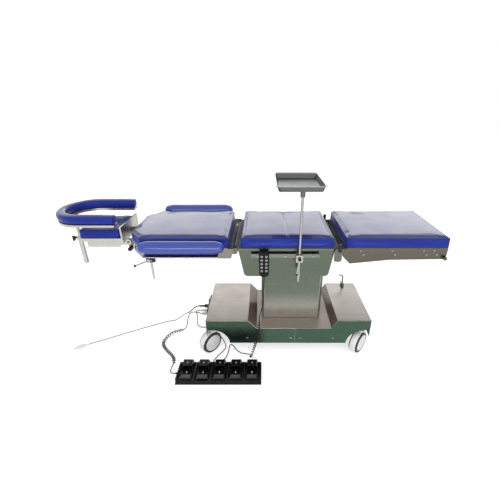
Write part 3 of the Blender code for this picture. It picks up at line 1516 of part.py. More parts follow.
def head_frame(finish, parent):
    """Two rails, a tray plate, an upright end plate and the wrist rest's sleeve."""
    head = HEAD_HINGE[0] - HEAD_RAIL_SETBACK - HEAD_RAIL_LENGTH
    rail_foot = HEAD_HINGE[0] - HEAD_RAIL_SETBACK
    tray_z = HEAD_HINGE[2] + HEAD_TRAY_RISE
    plate_x = HEAD_HINGE[0] - HEAD_PLATE_GAP
    tray_low = (plate_x - HEAD_PLATE_WALL - HEAD_CUSHION_LENGTH, -HEAD_HALF_WIDTH, tray_z)
    tray = box(tray_low, (plate_x - BITE, HEAD_HALF_WIDTH, tray_z + HEAD_TRAY_THICKNESS))
    plate_low = (plate_x - HEAD_PLATE_WALL, -HEAD_HALF_WIDTH, HEAD_HINGE[2])
    upright = box(plate_low, (plate_x, HEAD_HALF_WIDTH, HEAD_HINGE[2] + HEAD_PLATE_TOP))
    joined = [upright]
    rail_low = tray_z - HEAD_RAIL_DEPTH
    rail_outer = HEAD_LUG_OFFSET
    rail_inner = rail_outer - HEAD_RAIL_WIDTH
    for side in (-1, 1):
        xs = (head, rail_foot)
        joined.append(side_box(side, xs, (rail_inner, rail_outer), (rail_low, tray_z + BITE)))
        lug_face = rail_outer + TOUCH
        lug_outer = lug_face + HEAD_LUG_THICKNESS
        root = rail_foot - LUG_ROOT
        joined.append(lug(HEAD_HINGE, root, HEAD_KNUCKLE_RADIUS, side, lug_face, lug_outer))
        root_z = HEAD_KNUCKLE_RADIUS - BITE
        zs = (HEAD_HINGE[2] - root_z, HEAD_HINGE[2] + root_z)
        root_x = (root + BITE, rail_foot - BITE)
        joined.append(side_box(side, root_x, (rail_outer - BITE, lug_face + BITE), zs))
    for bar_x in (head + BITE, rail_foot - HEAD_CROSS_BAR - BITE):
        low = (bar_x, -rail_inner - BITE, rail_low + BITE)
        joined.append(box(low, (bar_x + HEAD_CROSS_BAR, rail_inner + BITE, tray_z + BITE / 2)))
    sleeve_top = HEAD_HINGE[2] - SLEEVE_TOP_DROP
    low = (WRIST_ROD_X, -TONGUE_HALF_WIDTH, sleeve_top - TONGUE_DEPTH)
    joined.append(box(low, (head + BITE * 2, TONGUE_HALF_WIDTH, sleeve_top)))
    joined.append(
        turned(
            [
                (0, sleeve_top - SLEEVE_LENGTH),
                (SLEEVE_RADIUS, sleeve_top - SLEEVE_LENGTH),
                (SLEEVE_RADIUS, sleeve_top - COLLAR_LENGTH),
                (COLLAR_RADIUS, sleeve_top - COLLAR_LENGTH),
                (COLLAR_RADIUS, sleeve_top + BITE),
                (0, sleeve_top + BITE),
            ],
            "Z",
            (WRIST_ROD_X, 0.0, 0.0),
        )
    )
    rod = (WRIST_ROD_X, 0.0, 0.0)
    bore_low = sleeve_top - SLEEVE_LENGTH - OVERRUN
    cut = [cylinder("Z", rod, WRIST_ROD_RADIUS + SLEEVE_FIT, bore_low, sleeve_top + OVERRUN)]
    for side in (-1, 1):
        reach = (rail_outer + TOUCH - OVERRUN / 2, lug_outer + OVERRUN)
        cut.append(side_pin(HEAD_HINGE, HEAD_PIN_RADIUS + PIN_FIT, side, *reach))
    return piece("head_frame", tray, finish, parent, joined, cut)


def wrist_path(height, setback):
    """Centre line of the horseshoe: one arm, the bow at the head end and the other arm."""
    bow_x = WRIST_ROD_X + WRIST_BOW_AHEAD
    arm_x = bow_x + WRIST_ARM_LENGTH - setback
    path = [(arm_x, -WRIST_BOW_RADIUS, height)]
    path.append((arm_x - PAD_EDGE, -WRIST_BOW_RADIUS, height))
    for step in range(WRIST_BOW_STEPS + 1):
        angle = math.pi * (HALF_SHARE + step / WRIST_BOW_STEPS)
        x = bow_x + WRIST_BOW_RADIUS * math.cos(angle)
        path.append((x, -WRIST_BOW_RADIUS * math.sin(angle), height))
    path.append((arm_x - PAD_EDGE, WRIST_BOW_RADIUS, height))
    path.append((arm_x, WRIST_BOW_RADIUS, height))
    return path


def wrist_plate(finish, parent):
    """Horseshoe plate under the pad, with a tab over the rod that slides in the sleeve."""
    low_z = HEAD_HINGE[2] + WRIST_PLATE_RISE
    half_u = WRIST_PLATE_WIDTH / 2
    half_v = WRIST_PLATE_THICKNESS / 2
    section = rectangle(-half_u, half_u, -half_v, half_v)
    plate = swept(wrist_path(low_z + half_v, WRIST_PLATE_SETBACK), section)
    bow = WRIST_ROD_X + WRIST_BOW_AHEAD - WRIST_BOW_RADIUS
    inset = BITE / 2
    low = (bow, -WRIST_TAB_HALF_WIDTH, low_z + inset)
    high = (WRIST_ROD_X + WRIST_TAB_END, WRIST_TAB_HALF_WIDTH, low_z + WRIST_PLATE_THICKNESS - inset)
    rod_low = low_z + half_v - ROD_LENGTH
    rod = cylinder("Z", (WRIST_ROD_X, 0.0, 0.0), WRIST_ROD_RADIUS, rod_low, low_z + half_v)
    return piece("wrist_plate", plate, finish, parent, [box(low, high), rod])


def wrist_pad(finish, parent):
    """Horseshoe pad with a rounded section and drawn-in ends."""
    bottom = HEAD_HINGE[2] + WRIST_PLATE_RISE + WRIST_PLATE_THICKNESS + TOUCH
    half_u = WRIST_PAD_WIDTH / 2
    half_v = WRIST_PAD_HEIGHT / 2
    section = rounded_outline(rectangle(-half_u, half_u, -half_v, half_v), WRIST_SECTION_ROUND)
    pad = swept(wrist_path(bottom + half_v, 0.0), section, end_share=WRIST_END_SHARE)
    return piece("wrist_pad", pad, finish, parent)


def wrist_knob_spot():
    """Axis of the wing knob that clamps the rod."""
    height = HEAD_HINGE[2] - SLEEVE_TOP_DROP - COLLAR_LENGTH / 2
    return (WRIST_ROD_X - COLLAR_RADIUS - TOUCH, 0.0, height)


def wrist_knob(finish, parent):
    """Wing knob with three lobes."""
    spot = wrist_knob_spot()
    outline = []
    for step in range(WING_STEPS):
        angle = math.tau * step / WING_STEPS
        wave = (1 + math.cos(WING_LOBES * angle)) / 2
        radius = WING_RADIUS * (WING_WAIST_SHARE + (1 - WING_WAIST_SHARE) * wave)
        outline.append((radius * math.cos(angle), spot[2] + radius * math.sin(angle)))
    end = spot[0] - WING_STEM_LENGTH
    wing = prism(outline, "X", end, end + WING_THICKNESS)
    stem = cylinder("X", spot, WING_STEM_RADIUS, -WING_STEM_LENGTH + BITE, 0.0, SMALL_SIDES)
    return piece("wrist_knob", wing, finish, parent, [stem])


# Bolsters


def bolster_middle(side):
    """Centre of a bolster."""
    lift = 0.0 if side < 0 else BOLSTER_REAR_LIFT
    height = CUSHION_TOP - BOLSTER_BELOW_CUSHION + lift
    return (BOLSTER_HEAD_END + BOLSTER_LENGTH / 2, side * BOLSTER_Y, height)


def clamp_middle_y(side):
    """Distance of a bolster pin's axis from the middle, with its side's sign."""
    return side * (SECTION_SIDE + TOUCH + CLAMP_THICKNESS / 2)


def bolster_pad(name, side, finish, parent):
    """Round bolster with rounded ends."""
    half = BOLSTER_LENGTH / 2
    profile = []
    for step in range(BOLSTER_END_STEPS + 1):
        angle = math.pi / 2 * step / BOLSTER_END_STEPS
        radius = BOLSTER_RADIUS - BOLSTER_END_ROUND * (1 - math.sin(angle))
        profile.append((radius, -half + BOLSTER_END_LENGTH * (1 - math.cos(angle))))
    profile += [(radius, -along) for radius, along in reversed(profile)]
    profile = [(0, -half)] + profile + [(0, half)]
    pad = turned(profile, "X", bolster_middle(side), ROUND_SIDES, 0.0)
    return piece(name, pad, finish, parent)


def bolster_bracket(name, side, finish, parent):
    """Plate under a bolster on a pin that stands in the clamp."""
    middle = bolster_middle(side)
    top = middle[2] - BOLSTER_RADIUS - TOUCH
    bottom = top - BRACKET_THICKNESS
    end = CLAMP_X - CLAMP_HALF_LENGTH
    low = (end, middle[1] - BRACKET_HALF_WIDTH, bottom)
    high = (end + BRACKET_LENGTH, middle[1] + BRACKET_HALF_WIDTH, top)
    tip = bottom - BOLSTER_PIN_LENGTH
    pin = turned(
        [
            (0, tip),
            (BOLSTER_PIN_TIP, tip),
            (BOLSTER_PIN_RADIUS, tip + BOLSTER_PIN_TAPER),
            (BOLSTER_PIN_RADIUS, bottom + BITE),
            (0, bottom + BITE),
        ],
        "Z",
        (CLAMP_X, clamp_middle_y(side), 0.0),
        SMALL_SIDES,
    )
    return piece(name, box(low, high), finish, parent, [pin])


def bolster_clamp(name, side, finish, parent):
    """Block on the back section's side, bored for the pin."""
    inner = SECTION_SIDE + TOUCH
    top = SECTION_TOP - CLAMP_TOP_DROP
    xs = (CLAMP_X - CLAMP_HALF_LENGTH, CLAMP_X + CLAMP_HALF_LENGTH)
    zs = (top - CLAMP_HEIGHT, top)
    body = side_box(side, xs, (inner, inner + CLAMP_THICKNESS), zs)
    centre = (CLAMP_X, clamp_middle_y(side), 0.0)
    radius = BOLSTER_PIN_RADIUS + PIN_FIT
    bore = cylinder("Z", centre, radius, zs[0] - OVERRUN, zs[1] + OVERRUN, SMALL_SIDES)
    return piece(name, body, finish, parent, (), [bore])


def bolster_lever_spot(side):
    """Axis of a clamp's lever, on the clamp's outer face."""
    height = SECTION_TOP - CLAMP_TOP_DROP - CLAMP_HEIGHT / 2
    return (CLAMP_X, side * (SECTION_SIDE + CLAMP_THICKNESS + 2 * TOUCH), height)


def bolster_lever(name, side, finish, parent):
    """Hub with a long rod to a ball, and a short knob opposite."""
    spot = bolster_lever_spot(side)
    rod_y = abs(spot[1]) + LEVER_KNOB_RADIUS + LEVER_KNOB_CLEAR
    hub = side_pin(spot, LEVER_HUB_RADIUS, side, abs(spot[1]), rod_y + LEVER_ROD_RADIUS, ROUND_SIDES)
    y = side * rod_y
    start = (spot[0], y, spot[2])
    end = (spot[0] - LEVER_REACH, y, spot[2] - LEVER_FALL)
    knob = (spot[0] + LEVER_KNOB_REACH, y, spot[2])
    joined = [
        bar(start, end, LEVER_ROD_RADIUS, SCREW_SIDES),
        ball(end, LEVER_BALL_RADIUS),
        bar(start, knob, LEVER_ROD_RADIUS, SCREW_SIDES),
        ball(knob, LEVER_KNOB_RADIUS),
    ]
    return piece(name, hub, finish, parent, joined)


# Tray and its pole


def pole_clamp(finish, parent):
    """Block in front of the rail that hooks over it and holds the pole."""
    inner = RAIL_OUTER + TOUCH
    xs = (POLE_POSITION - POLE_CLAMP_HALF_LENGTH, POLE_POSITION + POLE_CLAMP_HALF_LENGTH)
    zs = (POLE_CLAMP_TOP - POLE_CLAMP_HEIGHT, POLE_CLAMP_TOP)
    body = side_box(-1, xs, (inner, inner + POLE_CLAMP_DEPTH), zs)
    centre = (POLE_POSITION, POLE_Y, 0.0)
    radius = POLE_RADIUS + PIN_FIT
    bore = cylinder("Z", centre, radius, zs[0] - OVERRUN, zs[1] + OVERRUN, SMALL_SIDES)
    hook = rail_hook(-1, *xs, inner, POLE_CLAMP_LIP)
    return piece("pole_clamp", body, finish, parent, hook, [bore])


def pole_lever_spot():
    """Axis of the pole clamp's lever."""
    y = -(RAIL_OUTER + POLE_CLAMP_DEPTH + 2 * TOUCH)
    return (POLE_POSITION, y, POLE_CLAMP_TOP - POLE_CLAMP_HEIGHT / 2)


def pole_clamp_lever(finish, parent):
    """Hub with a rod to a dark ball below."""
    spot = pole_lever_spot()
    outer = abs(spot[1]) + LEVER_HUB_LENGTH
    hub = side_pin(spot, LEVER_HUB_RADIUS, -1, abs(spot[1]), outer, ROUND_SIDES)
    y = spot[1] - LEVER_HUB_LENGTH / 2
    end = (spot[0] - POLE_LEVER_RUN, y, spot[2] - POLE_LEVER_FALL)
    rod = bar((spot[0], y, spot[2]), end, LEVER_ROD_RADIUS, SCREW_SIDES)
    return piece("pole_clamp_lever", hub, finish, parent, [rod, ball(end, LEVER_BALL_RADIUS)])


def pole_foot():
    """Height of the pole's lower end."""
    return POLE_CLAMP_TOP - POLE_CLAMP_HEIGHT - POLE_BELOW_CLAMP


def tray_pole(finish, parent):
    """Round pole that slides in its clamp."""
    centre = (POLE_POSITION, POLE_Y, 0.0)
    low = pole_foot()
    pole = cylinder("Z", centre, POLE_RADIUS, low, low + POLE_LENGTH, SMALL_SIDES)
    return piece("tray_pole", pole, finish, parent)


def tray_outline(inset, height):
    """Plan of the tray, moved inwards, at a height."""
    low_x = POLE_POSITION - TRAY_OFFSET - TRAY_LENGTH / 2 + inset
    high_x = low_x + TRAY_LENGTH - 2 * inset
    low_y = POLE_Y - TRAY_FRONT_OVER_POLE + inset
    high_y = low_y + TRAY_WIDTH - 2 * inset
    corners = rectangle(low_x, high_x, low_y, high_y)
    outline = rounded_outline(corners, TRAY_CORNER - inset, ARC_STEPS + 1)
    return [(x, y, height) for x, y in outline]


def tray(finish, parent):
    """Sheet tray with sloping walls and a turned-out rim, on a hub and an arm."""
    bottom = pole_foot() + POLE_LENGTH + TRAY_HUB_TOP
    top = bottom + TRAY_DEPTH
    foot = TRAY_RIM + TRAY_WALL_SLOPE
    body = lofted(
        [
            tray_outline(foot, bottom),
            tray_outline(TRAY_RIM, top - TRAY_RIM_THICKNESS),
            tray_outline(0.0, top - TRAY_RIM_THICKNESS),
            tray_outline(0.0, top),
            tray_outline(TRAY_RIM + TRAY_SHEET, top),
            tray_outline(foot + TRAY_SHEET, bottom + TRAY_SHEET),
        ]
    )
    hub_top = bottom + BITE
    hub_low = bottom - TRAY_HUB_HEIGHT
    centre = (POLE_POSITION, POLE_Y, 0.0)
    hub = cylinder("Z", centre, TRAY_HUB_RADIUS, hub_low, hub_top)
    arm = box(
        (POLE_POSITION - TRAY_ARM_HALF_WIDTH, POLE_Y, bottom - TRAY_ARM_THICKNESS),
        (POLE_POSITION + TRAY_ARM_HALF_WIDTH, POLE_Y + TRAY_ARM_LENGTH, hub_top),
    )
    pole_top = pole_foot() + POLE_LENGTH
    bore = cylinder(
        "Z", centre, POLE_RADIUS + PIN_FIT, hub_low - OVERRUN, pole_top + TOUCH, SMALL_SIDES
    )
    return piece("tray", body, finish, parent, [hub, arm], [bore])


# Handset


def handset(finish, parent):
    """Handset that hooks over the front rail, with two columns of raised keys."""
    inner = RAIL_OUTER + TOUCH
    outer = inner + HANDSET_THICKNESS
    low_x = -HANDSET_POSITION - HANDSET_WIDTH / 2
    high_x = -HANDSET_POSITION + HANDSET_WIDTH / 2
    top = RAIL_TOP + HANDSET_ABOVE_RAIL
    bottom = top - HANDSET_LENGTH
    corners = rectangle(low_x, high_x, bottom, top)
    steps = ARC_STEPS + 1
    lower = rounded_outline(corners, HANDSET_FOOT_ROUND)[: 2 * steps]
    upper = rounded_outline(corners, HANDSET_ROUND)[2 * steps :]
    body = prism(lower + upper, "Y", -outer, -inner)
    joined = rail_hook(
        -1, -HANDSET_POSITION - HOOK_HALF_WIDTH, -HANDSET_POSITION + HOOK_HALF_WIDTH, inner, HOOK_THICKNESS
    )
    for row in range(KEY_ROWS):
        z = top - KEY_TOP_MARGIN - row * KEY_PITCH
        for side in (-1, 1):
            spot = (-HANDSET_POSITION + side * KEY_COLUMN_OFFSET, 0.0, z)
            joined.append(side_pin(spot, KEY_RADIUS, -1, outer - BITE, outer + KEY_RISE, KEY_SIDES))
    x, y, z = handset_cord_spot()
    relief = [
        (0, z),
        (HANDSET_CORD / 2 + TOUCH, z),
        (RELIEF_RADIUS, bottom),
        (RELIEF_RADIUS, bottom + BITE),
        (0, bottom + BITE),
    ]
    joined.append(turned(relief, "Z", (x, y, 0.0), SMALL_SIDES))
    return piece("handset", body, finish, parent, joined)


def handset_cord_spot():
    """Where the handset's cord leaves its strain relief."""
    y = -(RAIL_OUTER + TOUCH + HANDSET_THICKNESS / 2)
    z = RAIL_TOP + HANDSET_ABOVE_RAIL - HANDSET_LENGTH - RELIEF_LENGTH
    return (-HANDSET_POSITION, y, z)


# Foot switch


def bay_middle(bay):
    """Middle of one pedal's bay along the table."""
    return -FS_HEAD_END + FS_END_WALL + FS_PITCH * (bay + HALF_SHARE)


def footswitch_base(finish, parent):
    """Slab with end walls, ribs, a rear wall and a hood over each pedal."""
    head = -FS_HEAD_END
    foot = head + 2 * FS_END_WALL + FS_COUNT * FS_PITCH
    front = -FS_FRONT
    rear = front + FS_DEPTH
    wall_top = FS_SLAB + FS_RIB_HEIGHT
    slab = box((head, front + FS_NOSE_RUN, 0.0), (foot, rear, FS_SLAB))
    joined = [box((head, front, 0.0), (foot, front + FS_NOSE_RUN + BITE, FS_NOSE_HEIGHT))]
    joined.append(box((head, front + FS_HOOD_REAR, BITE), (foot, rear, wall_top)))
    for low_x in (head, foot - FS_END_WALL):
        low = (low_x, front + FS_NOSE_RUN, BITE)
        joined.append(box(low, (low_x + FS_END_WALL, rear, wall_top)))
    for rib in range(1, FS_COUNT):
        middle = head + FS_END_WALL + FS_PITCH * rib
        low = (middle - FS_RIB / 2, front + FS_NOSE_RUN, BITE)
        joined.append(box(low, (middle + FS_RIB / 2, rear - BITE, wall_top)))
    hoods = []
    cavities = []
    bores = []
    pin_z = FS_SLAB + PEDAL_LIFT + PEDAL_THICKNESS / 2
    for bay in range(FS_COUNT):
        x = bay_middle(bay)
        hood_top = FS_SLAB + FS_HOOD_HEIGHT
        half_foot = FS_HOOD_FOOT / 2
        half_top = FS_HOOD_TOP / 2
        outline = [(x - half_foot, FS_SLAB - BITE), (x + half_foot, FS_SLAB - BITE)]
        outline += [(x + half_top, hood_top), (x - half_top, hood_top)]
        hoods.append(prism(outline, "Y", front + FS_HOOD_FRONT, front + FS_HOOD_REAR + BITE))
        inside = inset_corners(outline, FS_HOOD_WALL)
        inside[0] = (inside[0][0], FS_SLAB)
        inside[1] = (inside[1][0], FS_SLAB)
        back = front + FS_HOOD_REAR - FS_HOOD_WALL
        cavities.append(prism(inside, "Y", front + FS_HOOD_FRONT - OVERRUN, back))
        centre = (x, front + PEDAL_PIN_BACK, pin_z)
        reach = PEDAL_WIDTH / 2 + PEDAL_PIN_REACH + TOUCH
        bores.append(cylinder("X", centre, PEDAL_PIN_RADIUS + PIN_FIT * 2, -reach, reach, KEY_SIDES))
    for x in (LINK_GLAND_X, FLOOR_LEAD_GLAND_X):
        centre = (x, rear, FS_GLAND_HEIGHT)
        joined.append(cylinder("Y", centre, FS_GLAND_RADIUS, -BITE, FS_GLAND_LENGTH, KEY_SIDES))
    centre = (head, front + FS_SIDE_GLAND_FRONT, FS_GLAND_HEIGHT)
    joined.append(cylinder("X", centre, FS_GLAND_RADIUS, -FS_GLAND_LENGTH, BITE, KEY_SIDES))
    return piece("footswitch_base", slab, finish, parent, joined + hoods, cavities + bores)


def pedal_spot(bay):
    """Axis of one pedal's pins."""
    return (bay_middle(bay), -FS_FRONT + PEDAL_PIN_BACK, FS_SLAB + PEDAL_LIFT + PEDAL_THICKNESS / 2)


def pedal(bay, finish, parent):
    """Plate with a raised front lip and a pin at each side."""
    x, y, z = pedal_spot(bay)
    half = PEDAL_WIDTH / 2
    low_z = FS_SLAB + PEDAL_LIFT
    front = -FS_FRONT + PEDAL_FRONT
    plate = box((x - half, front, low_z), (x + half, -FS_FRONT + PEDAL_REAR, low_z + PEDAL_THICKNESS))
    lip = box(
        (x - half, front, low_z + BITE),
        (x + half, front + PEDAL_LIP, low_z + PEDAL_THICKNESS + PEDAL_LIP),
    )
    reach = half + PEDAL_PIN_REACH
    pin = cylinder("X", (x, y, z), PEDAL_PIN_RADIUS, -reach, reach, SCREW_SIDES)
    return piece("pedal_" + str(bay + 1), plate, finish, parent, [lip, pin])


# Cords


def smooth_route(points, step):
    """Evenly spaced points on a smooth curve through a route's own points."""
    spots = [Vector(point) for point in points]
    times = [0.0]
    for before, after in zip(spots, spots[1:]):
        times.append(times[-1] + (after - before).length)
    last = len(spots) - 1
    slopes = []
    for index in range(len(spots)):
        low = max(index - 1, 0)
        high = min(index + 1, last)
        slopes.append((spots[high] - spots[low]) / (times[high] - times[low]))
    dense = [spots[0]]
    for index in range(last):
        span = times[index + 1] - times[index]
        pieces = max(int(span / step * ROUTE_FINENESS), 2)
        for count in range(1, pieces + 1):
            dense.append(hermite(spots, slopes, index, span, count / pieces))
    return even_points(dense, step)


def hermite(spots, slopes, index, span, share):
    """A point between two of a route's points, from their places and slopes."""
    square = share * share
    cube = square * share
    start = spots[index] * (2 * cube - 3 * square + 1)
    leave = slopes[index] * (span * (cube - 2 * square + share))
    end = spots[index + 1] * (3 * square - 2 * cube)
    arrive = slopes[index + 1] * (span * (cube - square))
    return start + leave + end + arrive


def even_points(dense, step):
    """Points a whole number of even steps apart along a dense line."""
    lengths = [0.0]
    for before, after in zip(dense, dense[1:]):
        lengths.append(lengths[-1] + (after - before).length)
    pieces = max(round(lengths[-1] / step), 1)
    result = []
    index = 0
    for count in range(pieces + 1):
        target = lengths[-1] * count / pieces
        while index < len(dense) - 2 and lengths[index + 1] < target:
            index += 1
        span = lengths[index + 1] - lengths[index]
        result.append(dense[index].lerp(dense[index + 1], (target - lengths[index]) / span))
    return result


def curled(points, lead, tail, radius, pitch):
    """A route's points, wound into curls between a straight lead and a straight tail."""
    step = pitch / CURL_POINTS
    line = smooth_route(points, step)
    step = (line[1] - line[0]).length
    first = round(lead / step)
    final = len(line) - 1 - round(tail / step)
    ahead = (line[1] - line[0]).normalized()
    side = ahead.orthogonal().normalized()
    wound = []
    for index, point in enumerate(line):
        before = line[max(index - 1, 0)]
        after = line[min(index + 1, len(line) - 1)]
        ahead = (after - before).normalized()
        side = (side - ahead * side.dot(ahead)).normalized()
        up = ahead.cross(side)
        inside = min(index - first, final - index)
        if inside <= 0:
            if inside % STRAIGHT_SKIP == 0 or index in (0, len(line) - 1):
                wound.append(point)
            continue
        eased = radius * min(inside / CURL_POINTS, 1.0)
        angle = math.tau * (index - first) / CURL_POINTS
        wound.append(point + (side * math.cos(angle) + up * math.sin(angle)) * eased)
    return wound


def square_ends(points, route, diameter):
    """The points with both ends straight for one diameter, square to what they meet."""
    start = Vector(route[0])
    end = Vector(route[-1])
    ahead = (Vector(route[1]) - start).normalized() * diameter
    back = (Vector(route[-2]) - end).normalized() * diameter
    clear = diameter * END_CLEAR_SHARE
    middle = []
    for point in points[1:-1]:
        if (point - start).length > clear and (point - end).length > clear:
            middle.append(point)
    return [start, start + ahead] + middle + [end + back, end]


def plain_cord(name, route, diameter, finish, parent):
    """A cord that isn't coiled."""
    points = smooth_route(route, diameter * CORD_STEP_SHARE)
    return cord(name, square_ends(points, route, diameter), diameter, finish, parent)


def least_gap(points, diameter, apart):
    """Smallest clear distance of a tube to a later stretch of itself."""
    least = math.inf
    for first in range(len(points)):
        for second in range(first + apart, len(points)):
            least = min(least, (points[first] - points[second]).length)
    return least - diameter


def cord(name, points, diameter, finish, parent, resolution=2):
    """A round cord along points."""
    curve = bpy.data.curves.new(name, "CURVE")
    curve.dimensions = "3D"
    curve.bevel_depth = diameter / 2
    curve.bevel_resolution = resolution
    curve.use_fill_caps = True
    spline = curve.splines.new("POLY")
    spline.points.add(len(points) - 1)
    for spot, point in zip(spline.points, points):
        spot.co = (*point, 1.0)
    curve.materials.append(finish)
    thing = bpy.data.objects.new(name, curve)
    bpy.context.scene.collection.objects.link(thing)
    hang(thing, parent)
    return thing


def curly_cord(name, points, lead, tail, radius, pitch, finish, parent):
    """A curly cord in one unbroken tube, whose least gap to itself is printed."""
    wound = square_ends(curled(points, lead, tail, radius, pitch), points, CURL_WIRE)
    gap = least_gap(wound, CURL_WIRE, CURL_POINTS - 2)
    print("least gap of " + name + " to itself, in metres:", gap)
    return cord(name, wound, CURL_WIRE, finish, parent, 1)


def panel_plug_end(offset, height, length):
    """Outer end of a plug on the socket panel."""
    return (-BASE_HEAD_REACH - TOUCH - PANEL_THICKNESS - length, offset, height)


def toward(point, offset):
    """A point moved by an offset."""
    return tuple(Vector(point) + Vector(offset))


def power_cord_route():
    """From the inlet's boot down to the floor, and across it to the mains plug."""
    start = panel_plug_end(INLET_OFFSET, INLET_HEIGHT, INLET_LENGTH + BOOT_LENGTH + TOUCH)
    return [
        start,
        toward(start, (-STRAIGHT_END, 0.0, 0.0)),
        (-0.6930, -0.0020, 0.2250),
        (-0.7400, 0.0180, 0.1720),
        (-0.7970, 0.0680, 0.1100),
        (-0.8530, 0.1040, 0.0500),
        (-0.8980, 0.1220, 0.0100),
        (-0.9520, 0.1170, 0.0044),
        (-1.0080, 0.0900, 0.0042),
        (-1.1420, 0.0240, 0.0042),
        (-1.2690, -0.0440, 0.0042),
        (-1.3560, -0.0950, 0.0052),
        (-1.4040, -0.1240, 0.0100),
        (-1.4520, -0.1520, PLUG_HALF_HEIGHT),
    ]


def link_lead_route():
    """From the socket panel round a caster to the foot switch's rear."""
    start = panel_plug_end(LINK_OFFSET, SOCKET_HEIGHT, SOCKET_LENGTH + TOUCH)
    rear = -FS_FRONT + FS_DEPTH + FS_GLAND_LENGTH + TOUCH
    return [
        start,
        toward(start, (-STRAIGHT_END, 0.0, 0.0)),
        (-0.6640, -0.0340, 0.2240),
        (-0.6830, -0.0050, 0.1900),
        (-0.6870, 0.0200, 0.1100),
        (-0.6960, 0.0330, 0.0450),
        (-0.6800, 0.0440, 0.0080),
        (-0.6200, 0.0450, 0.0040),
        (-0.5600, 0.0150, 0.0040),
        (-0.5150, -0.0500, 0.0040),
        (-0.4790, -0.1080, 0.0040),
        (-0.4590, -0.1650, 0.0040),
        (-0.4700, -0.2050, 0.0040),
        (-0.4990, -0.2500, 0.0060),
        (LINK_GLAND_X, rear + FS_GLAND_LENGTH, FS_GLAND_HEIGHT),
        (LINK_GLAND_X, rear, FS_GLAND_HEIGHT),
    ]


def footswitch_cord_route():
    """From the socket panel down to the floor and round to the foot switch's left end."""
    start = panel_plug_end(PEDAL_SOCKET_OFFSET, SOCKET_HEIGHT, SOCKET_LENGTH + TOUCH)
    gland_x = -FS_HEAD_END - FS_GLAND_LENGTH - TOUCH
    gland_y = -FS_FRONT + FS_SIDE_GLAND_FRONT
    return [
        start,
        toward(start, (-STRAIGHT_END, 0.0, 0.0)),
        (-0.6800, -0.0520, 0.2220),
        (-0.7220, -0.0280, 0.1950),
        (-0.7500, -0.0060, 0.1350),
        (-0.7680, 0.0060, 0.0650),
        (-0.7880, 0.0060, 0.0220),
        (-0.8180, 0.0020, 0.0135),
        (-0.8620, -0.0200, 0.0130),
        (-0.8950, -0.0590, 0.0130),
        (-0.9120, -0.1080, 0.0130),
        (-0.9120, -0.1450, 0.0130),
        (-0.8900, -0.1860, 0.0130),
        (-0.8500, -0.2290, 0.0130),
        (-0.8080, -0.2740, 0.0130),
        (-0.7900, -0.3190, 0.0130),
        (-0.7920, -0.3600, 0.0130),
        (-0.7940, -0.3920, 0.0120),
        (-0.7840, -0.4150, 0.0160),
        (gland_x - FS_GLAND_LENGTH, gland_y, FS_GLAND_HEIGHT),
        (gland_x, gland_y, FS_GLAND_HEIGHT),
    ]


def handset_lead_route():
    """From the handset's strain relief down to where the curls begin."""
    x, y, z = handset_cord_spot()
    return [
        (x, y, z - TOUCH),
        (x, y, z - TOUCH - STRAIGHT_END),
        (-0.1880, -0.2770, 0.5700),
        (-0.1930, -0.2790, 0.4550),
        (-0.2090, -0.2800, 0.3850),
        toward(HANDSET_CURL_TOP, (0.0, 0.0, STRAIGHT_END)),
        HANDSET_CURL_TOP,
    ]


def handset_curly_route():
    """From the lead's end down to just above the floor."""
    start = toward(HANDSET_CURL_TOP, (0.0, 0.0, -TOUCH))
    return [
        start,
        toward(start, (0.0, 0.0, -STRAIGHT_END)),
        (-0.2190, -0.2800, 0.2900),
        (-0.2270, -0.2800, 0.2200),
        (-0.2400, -0.2800, 0.1500),
        (-0.2580, -0.2800, 0.0850),
        (-0.2730, -0.2880, 0.0380),
        toward(HANDSET_CURL_FOOT, (0.0, -STRAIGHT_END, 0.0)),
        HANDSET_CURL_FOOT,
    ]


def handset_floor_route():
    """From the curls' lower end over the floor to the foot switch's rear."""
    start = toward(HANDSET_CURL_FOOT, (0.0, TOUCH, 0.0))
    rear = -FS_FRONT + FS_DEPTH + FS_GLAND_LENGTH + TOUCH
    return [
        start,
        toward(start, (0.0, STRAIGHT_END, 0.0)),
        (-0.2910, -0.2430, 0.0070),
        (-0.3110, -0.2360, 0.0040),
        (-0.3440, -0.2290, 0.0040),
        (-0.3850, -0.1930, 0.0040),
        (-0.4080, -0.1560, 0.0040),
        (-0.4260, -0.1430, 0.0040),
        (-0.4330, -0.1620, 0.0040),
        (-0.4360, -0.2250, 0.0040),
        (-0.4500, -0.2800, 0.0070),
        (FLOOR_LEAD_GLAND_X, rear + FS_GLAND_LENGTH, FS_GLAND_HEIGHT),
        (FLOOR_LEAD_GLAND_X, rear, FS_GLAND_HEIGHT),
    ]


